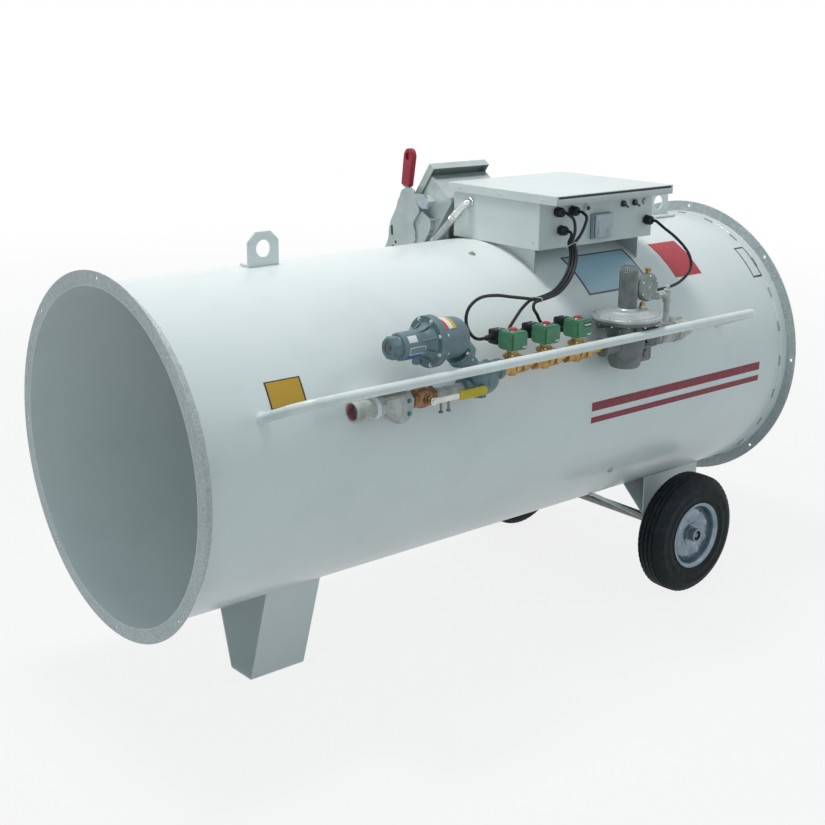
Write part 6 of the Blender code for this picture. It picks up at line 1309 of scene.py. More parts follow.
def makeValve(number):
    v, y, z = valve, lineY, supply["runZ"]
    x = v["xs"][number - 1]
    start, end = x - v["half"], x + v["half"]
    lead = highRegulator["end"] + hair if number == 1 else start - 0.0001
    reach = lowRegulator["x"] - lowRegulator["half"] - hair if number == 3 else v["xs"][number] - v["half"] - hair
    tag = "_" + str(number)
    barrel = [(0, 0.01), (v["body"], 0.01), (v["body"], 0.0265), (v["body"] + 0.0015, 0.029),
        (v["hex"] - 0.001, 0.0345), (v["hex"], 0.039), (v["hex"], 0.058), (v["hex"] - 0.001, 0.0625),
        (v["body"] + 0.0015, 0.068), (v["body"], 0.0705), (v["body"], 0.087), (0, 0.087)]
    bonnet = [(0, 0), (0.0215, 0), (0.0215, 0.0225), (v["bonnet"] - 0.0008, 0.0235), (v["bonnet"], 0.0243),
        (v["bonnet"], 0.0272), (v["bonnet"] - 0.0006, 0.0277), (v["bonnet"] - 0.0006, 0.0283), (v["bonnet"], 0.0288),
        (v["bonnet"], 0.0317), (v["bonnet"] - 0.0008, 0.0325), (0.017, 0.0325), (0.0159, 0.034), (0.0159, 0.045),
        (0.014, 0.0462), (0, 0.0462)]
    solid("valve_body_skin" + tag, "brass", [
        (addRod, v["nipple"], onLine(lead, z), onLine(reach, z), 40),
        (addHex, v["hex"], onLine(start, z), onLine(start + v["hexLength"], z)),
        (addHex, v["hex"], onLine(end - v["hexLength"], z), onLine(end, z)),
        (addTurned, barrel, onLine(start, z), (1, 0, 0), 64),
        (addTurned, bonnet, (x, y, z), (0, 0, 1), 64),
        (addHex, 0.0085, (x, y - 0.018, z - 0.004), (x, y - 0.0285, z - 0.004), 0.0008),
        (addRod, 0.012, (x, y, z - 0.018), (x, y, z - 0.0262), 32, 0.0012)],
        "brass", ("valve_body_" + str(number),))
    spots = onCircle((x, y, z + 0.0327), (0, 0, 1), v["boltCircle"], 4, radians(45))
    fasteners("bonnet_bolts" + tag, spots, "plated", "brass", head=(0.0037, 0.003), washer=(0.0044, 0.0006))
    c, base, top = v["coil"], v["coilLow"], v["coilTop"]
    solid("valve_coil_skin" + tag, "green", [
        (addBlock, (x - c, y - c, base), (x + c, y + c, top), 0.004, 4),
        (addBlock, (x - c - 0.0003, y - c - 0.0003, base + 0.0245), (x + c + 0.0003, y + c + 0.0003, base + 0.0258),
            0.0003, 1),
        (addRod, 0.0158, (x, y, top), (x, y, top + 0.0009), 48, 0.0004)],
        "coil_green", ("valve_coil_" + str(number),))
    solid("coil_yoke" + tag, "plated", [
        (addBlock, (x - 0.023, y - 0.023, base - 0.0024), (x + 0.023, y + 0.023, base - 0.0003), 0.0004),
        (addRod, 0.0135, (x, y, top + 0.001), (x, y, top + 0.0019), 40, 0.0003)], "brass")
    cap = [(0, 0), (v["cap"], 0), (v["cap"], 0.0035), (v["cap"] - 0.001, 0.005), (v["cap"] - 0.003, 0.0059),
        (0, 0.0061)]
    solid("coil_cap" + tag, "capRed", [(addTurned, cap, (x, y, top + 0.0019), (0, 0, 1), 40)])
    fins("coil_cap_grip" + tag, (x, y, top + 0.0037), (0, 0, 1), "capRed", count=16, radius=v["cap"],
        bar=(0.0006, 0.0016, 0.0028))
    solid("coil_tab" + tag, "tie", [
        (addBlock, (x + 0.009, y - c - 0.0009, base + 0.005), (x + 0.024, y - c - 0.0001, base + 0.0105), 0.0002, 1)])
    if number == 3:
        solid("coil_plate", "black", [
            (addBlock, (x - 0.006, y - c - 0.0007, base + 0.03), (x + 0.026, y - c - 0.0001, base + 0.042),
                0.0002, 1)])
        solid("coil_plate_bar", "tie", [
            (addBlock, (x - 0.004, y - c - 0.0009, base + 0.0335), (x + 0.024, y - c - 0.0006, base + 0.0385),
                0.0001, 1)])
    plugX = x - v["plugShift"]
    half = v["plug"] / 2
    near, far = v["plugY"]
    bottom, lid = v["plugZ"]
    solid("valve_plug_skin" + tag, "black", [
        (addBlock, (plugX - half, near, bottom), (plugX + half, far, lid), 0.0022, 3),
        (addBlock, (plugX - half + 0.003, near + 0.003, lid - 0.0002),
            (plugX + half - 0.003, far - 0.003, lid + 0.0004), 0.0002, 1),
        (addBlock, (plugX - half - 0.0003, near + 0.0085, bottom + 0.001),
            (plugX + half + 0.0003, near + 0.0097, lid + 0.0002), 0.0002, 1),
        (addGland, v["gland"], (plugX - half, v["glandY"], v["glandZ"]), (-1, 0, 0), v["glandLength"], 0.0046)],
        "plug_black", ("valve_plug_" + str(number),))
    fasteners("plug_screw" + tag, [((plugX + 0.008, (near + far) / 2, lid + 0.0005), (0, 0, 1))], "plated",
        head=(0.003, 0.0014), sides=20, washer=(0.0038, 0.0004))


lowRegulator = {"port": (1.0135, -0.5125, 1.036), "x": 0.965, "y": -0.4975, "cover": 0.1035, "coverZ": 1.0165,
    "coverTop": 1.0425, "tower": 0.028, "towerTop": 1.17, "bodyLow": 0.868, "boss": 0.03, "half": 0.115,
    "foot": 0.045, "screws": 12}


def makeLowRegulator():
    w = lowRegulator
    centre, z = (w["x"], w["y"], 0), supply["runZ"]
    body = [(0, 0.8745), (0.02, 0.8745), (0.0215, 0.869), (0.0395, w["bodyLow"]), (0.043, 0.87), (0.0462, 0.876),
        (0.0485, 0.886), (0.052, 0.9), (0.0545, 0.914), (0.0562, 0.93), (0.057, 0.945), (0.057, 0.974),
        (0.059, 0.982), (0.064, 0.99), (0.073, 0.9975), (0.086, 1.003), (0.0985, 1.0062), (0.1002, 1.0078),
        (0.1002, 1.015), (0.0994, w["coverZ"] - hair), (0, w["coverZ"] - hair)]
    boss = [(0, 0), (w["boss"] - 0.002, 0), (w["boss"], 0.002), (w["boss"], 0.017), (w["boss"] - 0.0035, 0.0205),
        (w["boss"] - 0.0035, 0.058), (0, 0.058)]
    solid("low_regulator_casting", "dark", [
        (addTurned, body, centre, (0, 0, 1), 96),
        (addTurned, boss, onLine(w["x"] - w["half"], z), (1, 0, 0), 64),
        (addTurned, boss, onLine(w["x"] + w["half"], z), (-1, 0, 0), 64),
        (addBlock, (w["x"] + 0.004, w["y"] - w["foot"], 0.8856), (w["x"] + 0.0688, w["y"] + w["foot"], 0.9378),
            0.005, 4),
        (addHex, 0.0125, (w["x"] + 0.037, w["y"] - w["foot"], 0.912),
            (w["x"] + 0.037, w["y"] - w["foot"] - 0.006, 0.912), 0.001)],
        "low_regulator_dark", ("low_regulator_body",))
    fins("low_regulator_ribs", (w["x"], w["y"], 0.9925), (0, 0, 1), "dark", "low_regulator_dark", count=12,
        radius=0.0765, bar=(0.034, 0.004, 0.012))
    base, top = w["coverZ"], w["coverTop"]
    edge = w["cover"]
    cover = [(0, base), (edge - 0.0012, base), (edge, base + 0.0012), (edge, base + 0.008),
        (edge - 0.001, base + 0.009), (0.0945, base + 0.009), (0.0932, base + 0.0098), (0.0922, base + 0.0128),
        (0.09, base + 0.014), (0.08, base + 0.0172), (0.07, base + 0.0208), (0.064, base + 0.0244), (0.0615, top),
        (0.0364, top), (0.034, top + 0.0012), (0.031, top + 0.0045), (0, top + 0.0045)]
    solid("low_regulator_disc", "light", [
        (addTurned, cover, centre, (0, 0, 1), 128)], "low_regulator_light", ("low_regulator_cover",))
    step = w["towerTop"] - 0.014
    tower = [(0, top + 0.001), (w["tower"], top + 0.001), (w["tower"], 1.05), (w["tower"] - 0.0006, 1.0506),
        (w["tower"] - 0.0006, 1.0518), (w["tower"], 1.0524), (w["tower"], step - 0.0008), (w["tower"] - 0.0008, step),
        (0.0242, step), (0.0238, step + 0.0006), (0.0238, w["towerTop"] - 0.0014), (0.0226, w["towerTop"] - 0.0002),
        (0.019, w["towerTop"] - 0.0002), (0.0184, w["towerTop"] - 0.0022), (0, w["towerTop"] - 0.0022)]
    solid("low_regulator_tower", "dark", [
        (addTurned, tower, centre, (0, 0, 1), 72),
        (addHex, 0.0095, (w["x"], w["y"], w["towerTop"] - 0.0023), (w["x"], w["y"], w["towerTop"] - 0.0002),
            0.0006)], "low_regulator_dark")
    fins("low_regulator_cap_grip", (w["x"], w["y"], step + 0.007), (0, 0, 1), "light", "low_regulator_light",
        count=24, radius=0.0236, bar=(0.0012, 0.0024, 0.0108))
    screws = onCircle((w["x"], w["y"], base + 0.0092), (0, 0, 1), 0.0985, w["screws"], radians(15))
    nuts = onCircle((w["x"], w["y"], 1.006), (0, 0, -1), 0.0955, w["screws"], radians(15))
    fasteners("cover_screws", screws, "plated", "low_regulator_light", head=(0.0042, 0.0034), washer=(0.0048, 0.0006))
    fasteners("cover_nuts", nuts, "plated", "low_regulator_light", head=(0.0038, 0.003), washer=(0.0044, 0.0006))
    port = Vector(w["port"])
    solid("test_port_nut", "plated", [(addHex, 0.0105, port, port + Vector((0, 0, 0.0125)), 0.0008)])
    solid("test_port_plug", "brass", [
        (addHex, 0.0088, port + Vector((0, 0, 0.0126)), port + Vector((0, 0, 0.0205)), 0.0008),
        (addHex, 0.005, port + Vector((0, 0, 0.0205)), port + Vector((0, 0, 0.0245)), 0.0005)])


outlet = {"start": 1.0803, "pipe": 0.0211, "union": 0.034, "tee": 1.135, "end": 1.1998, "riser": 0.009,
    "riserTop": 1.094, "armZ": 1.067, "arm": 0.0075, "switchX": 1.041, "switchZ": 1.1, "switch": 0.043, "thick": 0.02,
    "housing": 0.026, "housingDepth": 0.03, "bend": 0.045}


def makeOutlet():
    o, y, z = outlet, lineY, supply["runZ"]
    tee, union = o["tee"], o["union"]

    def at(x):
        return onLine(x, z)

    rows = [
        (addRod, o["pipe"], at(o["start"]), at(o["end"] - 0.001), 48),
        (addRibbed, union * 0.85, union * 0.8, at(tee - union), at(tee - 0.0185), 3),
        (addRibbed, union * 0.85, union * 0.8, at(tee + 0.006), at(tee + 0.0204), 3),
        (addRod, union * 0.78, at(tee - 0.019), at(tee + 0.0065), 56),
        (addHex, union, at(o["end"] - 0.0238), at(o["end"] - 0.01), 0.0016),
        (addRibbed, union * 0.88, union * 0.82, at(o["end"] - 0.01), at(o["end"]), 2)]
    riser = [(0, z + 0.02), (o["riser"] + 0.006, z + 0.02), (o["riser"] + 0.006, z + 0.033),
        (o["riser"] + 0.0045, z + 0.0345), (o["riser"], z + 0.035), (o["riser"], 1.042),
        (o["riser"] + 0.0032, 1.0432), (o["riser"] + 0.0038, 1.046), (o["riser"] + 0.0038, 1.0495),
        (o["riser"] + 0.0022, 1.052), (o["riser"] + 0.0012, 1.056), (o["riser"] + 0.0012, 1.078),
        (o["riser"] + 0.0022, 1.081), (o["riser"], 1.084), (0.0062, 1.085), (0.0062, 1.0862), (0.0068, 1.0866),
        (0.0068, o["riserTop"] - 0.0012), (0.0056, o["riserTop"]), (0, o["riserTop"])]
    armEnd = o["switchX"] + sqrt(o["switch"] ** 2 - (o["switchZ"] - o["armZ"]) ** 2) + o["riser"]
    rows += [
        (addTurned, riser, (tee, y, 0), (0, 0, 1), 48),
        (addRod, o["arm"], (armEnd, y, o["armZ"]), (tee, y, o["armZ"]), 32),
        (addRibbed, o["arm"] + 0.0036, o["arm"] + 0.0026, (armEnd + 0.006, y, o["armZ"]),
            (armEnd + 0.02, y, o["armZ"]), 3, 40),
        (addRibbed, o["arm"] + 0.0036, o["arm"] + 0.0026, (tee - 0.024, y, o["armZ"]),
            (tee - 0.0145, y, o["armZ"]), 2, 40)]
    solid("gas_outlet_skin", "fitting", rows, "fitting_white", ("gas_outlet",))
    x, height, half, big = o["switchX"], o["switchZ"], o["thick"] / 2, o["switch"]
    disc = [(0, -half + 0.0022), (0.02, -half + 0.0022), (0.0212, -half + 0.001), (0.023, -half), (big * 0.85, -half),
        (big * 0.9, -half + 0.0012), (big - 0.0012, -half + 0.0046), (big, -half + 0.0058), (big, -0.0008),
        (big - 0.0008, -0.0003), (big - 0.0008, 0.0003), (big, 0.0008), (big, half - 0.0012), (big - 0.0012, half),
        (0, half)]
    side = o["housing"]
    solid("pressure_switch_skin", "switch", [
        (addTurned, disc, (x, y, height), (0, 1, 0), 96),
        (addBlock, (x - side, y + half - 0.001, height - side),
            (x + side, y + half + o["housingDepth"], height + side), 0.003, 3),
        (addBlock, (x - side - 0.0004, y + half + 0.012, height - side - 0.0004),
            (x + side + 0.0004, y + half + 0.0138, height + side + 0.0004), 0.0004, 1),
        (addRod, o["arm"], (x + 0.02, y, o["armZ"]), (armEnd - hair, y, o["armZ"]), 32)],
        "switch_grey", ("pressure_switch",))
    solid("switch_knob", "brass", [
        (addRod, 0.0055, (x, y, height + big - 0.002), (x, y, height + big + 0.004), 24),
        (addRibbed, 0.009, 0.0082, (x, y, height + big + 0.004), (x, y, height + big + 0.014), 5, 32)], "brass")
    spots = onCircle((x, y - half + 0.0008, height), (0, -1, 0), big * 0.8, 6, radians(30))
    spots += onCircle((x, y - half + 0.0022, height), (0, -1, 0), 0.0, 1)
    fasteners("switch_screws", spots, "plated", "switch_grey", head=(0.003, 0.002), sides=20, washer=(0.0038, 0.0006))


burner = {"headX": 1.19, "portCircles": (0.0445, 0.0145), "nutX": 1.2003}


def makeFeed():
    y, z, x, r = lineY, supply["runZ"], duct["feedX"], outlet["pipe"]
    shellY = -sqrt(duct["radius"] ** 2 - (z - duct["axisZ"]) ** 2)
    full = rounded([(1.2002, y, z), (x, y, z), (x, 0, z), (x, 0, duct["axisZ"])], outlet["bend"], 16)
    cut = next(index for index, point in enumerate(full) if point.y > shellY + 0.02)
    outside = full[:cut] + [Vector((x, shellY + 0.012, z))]
    inside = [Vector((x, shellY + 0.012, z))] + full[cut:]
    inside[-1] = Vector((x, 0, duct["axisZ"] + 0.02))
    nutShape = [(0, 0), (r + 0.0052, 0), (r + 0.0064, 0.0012), (r + 0.0064, 0.0105), (r + 0.003, 0.014), (0, 0.014)]
    solid("feed_pipe_outside", "fitting", [
        (addTube, outside, r, 48),
        (addTurned, nutShape, (burner["nutX"], y, z), (1, 0, 0), 56),
        (addTurned, nutShape, (x, y + 0.064, z), (0, -1, 0), 56)], "fitting_white", ("burner_manifold",))
    bead = []
    for step in range(49):
        angle = tau * step / 48
        px, pz = x + (r + 0.002) * cos(angle), z + (r + 0.002) * sin(angle)
        bead.append((px, -sqrt(duct["radius"] ** 2 - (pz - duct["axisZ"]) ** 2) - 0.001, pz))
    solid("feed_weld", "duct", [(addTube, bead, 0.003, 10, lambda share: 1 + 0.14 * sin(share * 200))], "duct_white")
    headX, axis = burner["headX"], duct["axisZ"]
    head = [(0, -0.0275), (0.0215, -0.028), (0.028, -0.025), (0.028, -0.003), (0.031, 0), (0.0585, 0), (0.062, 0.003),
        (0.062, 0.042), (0.06, 0.0445), (0.06, 0.0475), (0.062, 0.05), (0.062, 0.088), (0.06, 0.094), (0.054, 0.108),
        (0.046, 0.121), (0.0434, 0.1295), (0, 0.13)]
    solid("burner_head", "iron", [
        (addTube, inside, r, 40),
        (addTurned, head, (headX, 0, axis), (1, 0, 0), 96),
        (addTurned, [(0, 0), (r + 0.006, 0), (r + 0.007, 0.001), (r + 0.007, 0.012), (0, 0.013)],
            (x, 0, axis + 0.0605), (0, 0, 1), 48)], "burner_iron")
    ports = onCircle((headX - 0.0003, 0, axis), (-1, 0, 0), burner["portCircles"][0], 12, radians(15))
    ports += onCircle((headX - 0.0283, 0, axis), (-1, 0, 0), burner["portCircles"][1], 6)
    fasteners("burner_ports", ports, "brass", "burner_iron", head=(0.0042, 0.005), sides=16, taper=0.6,
        washer=(0.0055, 0.001))


for number in (1, 2, 3):
    makeValve(number)
makeLowRegulator()
makeOutlet()
makeFeed()
print("gas train ready")


# Inside the duct: electrodes, burner cone, fan, motor, shroud and guard

def addBar(mesh, start, end, wide, half, thickness, edge=0.0005):
    # a flat bar, wide along one direction
    start, end = Vector(start), Vector(end)
    side = Vector(wide).normalized() * half
    thick = (end - start).normalized().cross(side.normalized()) * thickness / 2
    ends = [[mesh.verts.new(middle + a) for a in (side + thick, thick - side, -side - thick, side - thick)]
        for middle in (start, end)]
    addWalls(mesh, ends, edge)


electrode = {"x": 1.19, "apart": 0.046, "wireX": 1.136, "reach": 0.09, "wire": 0.0016}
cone = {"footX": 1.135, "smallX": 1.15, "length": 0.42, "small": 0.11, "large": 0.29, "sheet": 0.003, "columns": 60,
    "rows": 14, "share": 0.52, "rim": 0.0032, "stayX": 0.745, "stayHalf": 0.014, "staySheet": 0.004}


def makeCone():
    c, axis = cone, duct["axisZ"]
    mesh = bmesh.new()
    rings = []
    for row in range(c["rows"] + 1):
        share = row / c["rows"]
        radius = c["small"] + (c["large"] - c["small"]) * share
        angles = [tau * column / c["columns"] for column in range(c["columns"])]
        rings.append([mesh.verts.new((c["smallX"] - c["length"] * share, radius * cos(a), axis + radius * sin(a)))
            for a in angles])
    for first, second in zip(rings, rings[1:]):
        for index in range(c["columns"]):
            after = (index + 1) % c["columns"]
            mesh.faces.new((first[index], second[index], second[after], first[after]))
    bmesh.ops.recalc_face_normals(mesh, faces=mesh.faces)
    item = newItem("burner_cone_skin", mesh)
    runTree(item, trees["perforations"], {"Hole Share": c["share"], "Material": finish["heatSheet"]})
    thick = item.modifiers.new("thickness", "SOLIDIFY")
    thick.thickness, thick.offset = c["sheet"] * 0.6, -1
    bakeModifiers(item)
    settle(item, None, "burner_sheet", ("burner_cone",))
    rows = []
    for radius, x in ((c["small"], c["smallX"]), (c["large"], c["smallX"] - c["length"])):
        rim = [(radius - 0.001 + c["rim"] * cos(tau * s / 12), c["rim"] * sin(tau * s / 12)) for s in range(12)]
        rows.append((addTurned, rim, (x, 0, axis), (1, 0, 0), 120))
    for degrees in (90, 210, 330):
        rows.append((addBar, ductPoint(c["stayX"], c["large"] - 0.012, degrees),
            ductPoint(c["stayX"], duct["radius"] - duct["wall"] - hair, degrees), (1, 0, 0), c["stayHalf"],
            c["staySheet"]))
    rows.append((addBar, ductPoint(c["footX"], duct["radius"] - duct["wall"] - hair, 270),
        ductPoint(c["footX"], c["small"] + 0.003, 270), (1, 0, 0), c["stayHalf"], c["staySheet"]))
    solid("cone_rims_and_stays", "heatSheet", rows, "burner_sheet")
    spots = []
    for degrees in (90, 210, 330):
        out = ductPoint(0, 1, degrees) - ductPoint(0, 0, degrees)
        across = out.cross(Vector((1, 0, 0)))
        spots += [(ductPoint(c["stayX"], radius, degrees) + across * (c["staySheet"] / 2 + hair), across)
            for radius in (c["large"] + 0.018, duct["radius"] - 0.03)]
    fasteners("stay_bolts_inside", spots, "plated", head=(0.005, 0.004), washer=(0.0065, 0.001))
    for name, offset in (("igniter", electrode["apart"]), ("flame_rod", -electrode["apart"])):
        ceramic = [(0, 0.0003), (0.0088, 0.0003), (0.009, 0.001), (0.009, 0.0185), (0.0082, 0.02), (0.0058, 0.0215),
            (0.0058, 0.0235), (0.0066, 0.0245), (0.0066, 0.0265), (0.0056, 0.0275), (0.0056, 0.0295),
            (0.0064, 0.0305), (0.0064, 0.0325), (0.005, 0.0345), (0.004, 0.05), (0.0036, 0.056), (0, 0.0565)]
        solid(name + "_skin", "ceramic", [
            (addTurned, ceramic, (electrode["x"], offset, axis), (-1, 0, 0), 40)], "ceramic", (name,))
        tip = electrode["x"] - electrode["reach"]
        bent = [(electrode["wireX"], offset, axis), (tip + 0.012, offset, axis),
            (tip + 0.002, offset - copysign(0.003, offset), axis)]
        solid(name + "_wire", "steel", [(addTube, rounded(bent, 0.003, 6), electrode["wire"], 16)], "ceramic")


fan = {"x": 1.5, "hub": 0.062, "hubLength": 0.06, "radius": 0.405, "blades": 5, "root": 0.0527, "sheet": 0.004,
    "shaft": 0.011, "chords": (0.1, 0.15), "pitches": ((0, 48), (0.3, 38), (0.65, 29), (1, 23)), "first": 18,
    "stations": 22, "across": 14, "camber": 0.3}
motor = {"x": 1.59, "far": 1.79}


def addBlade(mesh, turn):
    f, axis = fan, duct["axisZ"]
    rings = []
    for station in range(f["stations"] + 1):
        share = station / f["stations"]
        radius = f["root"] + (f["radius"] - f["root"]) * share
        below, above = next((a, b) for a, b in zip(f["pitches"], f["pitches"][1:]) if share <= b[0] + 1e-9)
        pitch = radians(below[1] + (above[1] - below[1]) * (share - below[0]) / (above[0] - below[0]))
        chord = f["chords"][0] + (f["chords"][1] - f["chords"][0]) * share
        if share > 0.93:
            chord *= 1 - ((share - 0.93) / 0.07) ** 3 * 0.12
        shares = [-0.5 + step / f["across"] for step in range(f["across"] + 1)]
        loop = []
        for face, order in ((1, shares), (-1, shares[::-1])):
            for chordShare in order:
                thin = 1 - (abs(chordShare) / 0.5) ** 6 * 0.75
                across = chord * chordShare
                depth = (0.25 - chordShare ** 2) * chord * f["camber"] + face * f["sheet"] / 2 * thin
                x = f["x"] + f["hubLength"] / 2 + across * sin(pitch) - depth * cos(pitch)
                tangent = across * cos(pitch) + depth * sin(pitch)
                reach = sqrt(max(radius ** 2 - tangent ** 2, 0)) if share > 0.8 else radius
                y = reach * cos(turn) - tangent * sin(turn)
                z = axis + reach * sin(turn) + tangent * cos(turn)
                loop.append(mesh.verts.new((x, y, z)))
        rings.append(loop)
    size = len(rings[0])
    for first, second in zip(rings, rings[1:]):
        for index in range(size):
            after = (index + 1) % size
            mesh.faces.new((first[index], first[after], second[after], second[index]))
    mesh.faces.new(rings[0])
    mesh.faces.new(rings[-1])


def makeFan():
    f, axis = fan, duct["axisZ"]
    x, far = f["x"], f["x"] + f["hubLength"]
    bore = f["shaft"] + 0.0006
    hub = [(bore, x + 0.002), (0.02, x + 0.002), (0.0215, x + 0.0005), (0.026, x + 0.0005), (0.0285, x + 0.006),
        (0.048, x + 0.006), (0.052, x + 0.001), (f["hub"] - 0.002, x), (f["hub"], x + 0.002), (f["hub"], far - 0.002),
        (f["hub"] - 0.002, far), (bore, far)]
    solid("fan_rotor_skin", "alloy", [
        (addTurned, hub, (0, 0, axis), (1, 0, 0), 96),
        *[(addBlade, radians(f["first"] + 360 * index / f["blades"])) for index in range(f["blades"])]],
        "fan_alloy", ("fan_rotor",), "fan", 40)
    spots = onCircle((x + 0.0058, 0, axis), (-1, 0, 0), 0.038, 6, radians(30))
    fasteners("fan_hub_bolts", spots, "plated", "fan_alloy", "fan", head=(0.005, 0.004), washer=(0.0065, 0.001))
    m = motor
    body = [(0, x - 0.003), (0.0095, x - 0.003), (f["shaft"], x - 0.0015), (f["shaft"], m["x"] - 0.004),
        (0.02, m["x"] - 0.002), (0.038, m["x"]), (0.04, m["x"] + 0.006), (0.07, m["x"] + 0.01),
        (0.0782, m["x"] + 0.015), (0.08, m["x"] + 0.03), (0.0815, m["x"] + 0.0325), (0.0815, m["far"] - 0.034),
        (0.08, m["far"] - 0.032), (0.0782, m["far"] - 0.013), (0.068, m["far"] - 0.004), (0.0425, m["far"]),
        (0, m["far"])]
    foot = axis - 0.1
    nearEnd, farEnd = m["x"] + 0.03, m["far"] - 0.03
    solid("fan_motor_skin", "motor", [
        (addTurned, body, (0, 0, axis), (1, 0, 0), 96),
        (addBlock, (nearEnd, -0.07, foot), (farEnd, 0.07, foot + 0.008), 0.0015),
        (addBlock, (nearEnd + 0.012, -0.052, foot + 0.006), (nearEnd + 0.03, 0.052, axis - 0.058), 0.002),
        (addBlock, (farEnd - 0.03, -0.052, foot + 0.006), (farEnd - 0.012, 0.052, axis - 0.058), 0.002),
        (addBlock, (m["x"] + 0.045, 0.06, axis + 0.001), (m["far"] - 0.045, 0.1145, axis + 0.038), 0.003, 3),
        (addBlock, (m["x"] + 0.043, 0.1085, axis - 0.001), (m["far"] - 0.043, 0.1105, axis + 0.04), 0.0006)],
        "motor_grey", ("fan_motor",))
    fins("fan_motor_fins", ((m["x"] + m["far"]) / 2, 0, axis), (1, 0, 0), "motor", "motor_grey", count=44,
        radius=0.0822, bar=(0.0056, 0.0018, 0.132))
    boltSpots = [((bx, by, foot + 0.0082), (0, 0, 1)) for bx in (nearEnd + 0.02, farEnd - 0.02)
        for by in (-0.06, 0.06)]
    fasteners("motor_foot_bolts", boltSpots, "plated", "galvanised", head=(0.0065, 0.005), washer=(0.008, 0.0012))
    lids = [((bx, 0.1148, axis + bz), (0, 1, 0)) for bx in (m["x"] + 0.052, m["far"] - 0.052)
        for bz in (0.008, 0.031)]
    fasteners("motor_box_screws", lids, "plated", head=(0.003, 0.0016), sides=20, washer=(0.0036, 0.0004))
    refined("motor_pedestal", "zinc", 0.0008, "galvanised")
    tip, sheet, wall = f["radius"] + 0.008, 0.003, duct["radius"] - duct["wall"] - hair
    path = [(wall - 0.0016, x + 0.009), (wall - 0.0016, x + 0.001), (wall - 0.004, x - 0.0012),
        (wall - 0.008, x - 0.0015)]
    path += [(tip + 0.0135 - 0.012 * sin(radians(a)), x + 0.0105 - 0.012 * cos(radians(a))) for a in range(0, 91, 15)]
    path += [(tip + 0.0015, x + 0.0505)]
    solid("fan_shroud_skin", "zinc", [
        (addTurned, sheetProfile(path, sheet * 0.8), (0, 0, axis), (1, 0, 0), 192)], "galvanised", ("fan_shroud",))
    spots = onCircle((x - 0.0028, 0, axis), (-1, 0, 0), wall - 0.018, 16, radians(11.25))
    fasteners("shroud_bolts", spots, "plated", "galvanised", head=(0.005, 0.0036), washer=(0.0062, 0.0008))


guard = {"x": 1.838, "inner": 0.0525, "outer": 0.4522, "rings": 17, "spokes": 8, "wire": 0.0014, "spoke": 0.0022}


def makeGuard():
    g = guard
    item = emptyItem("fan_guard_skin")
    runTree(item, trees["guard"], {"Inner": g["inner"], "Outer": g["outer"], "Rings": g["rings"],
        "Spokes": g["spokes"], "Wire": g["wire"], "Spoke Wire": g["spoke"], "Material": finish["plated"]})
    turn = Matrix(((0, 0, 1), (1, 0, 0), (0, 1, 0))).to_4x4()
    item.data.transform(Matrix.Translation((g["x"], 0, duct["axisZ"])) @ turn)
    settle(item, None, "galvanised", ("fan_guard",), sharp=50)
    rim = g["outer"] + 0.0006
    plate = [(0, 0.0004), (0.0505, 0.0004), (0.0535, 0.0012), (0.0535, 0.0028), (0.0505, 0.0036), (0, 0.0036)]
    band = [(rim - 0.002, -0.0018), (rim + 0.0016, -0.0018), (rim + 0.0016, 0.0018), (rim - 0.002, 0.0018)]
    solid("fan_guard_plate", "plated", [
        (addTurned, plate, (g["x"] - 0.002, 0, duct["axisZ"]), (1, 0, 0), 72),
        (addTurned, band, (g["x"], 0, duct["axisZ"]), (1, 0, 0), 160)], "galvanised")


makeCone()
makeFan()
makeGuard()
print("inside ready")


# Control box, its controls and the receptacle

box = {"front": -0.285, "buttonY": -0.2885, "toggleY": -0.2898, "toggleDroop": 25, "padY": (-0.3056, -0.3041),
    "screwIn": 0.0018, "rear": 0.092, "low": 0.8, "high": 1.305, "bottom": 1.2035, "controlZ": 1.315,
    "buttonX": 0.999, "toggles": (1.166, 1.218), "lampX": 1.267, "lidScrewsX": (0.7928, 1.3122),
    "lidScrewsY": (-0.3, -0.12, 0.06), "lidScrewsZ": 1.357, "sideScrews": ((-0.262, 1.226), (0.05, 1.226),
    (-0.262, 1.325)), "socketX": (1.022, 1.105), "socketZ": (1.218, 1.294)}


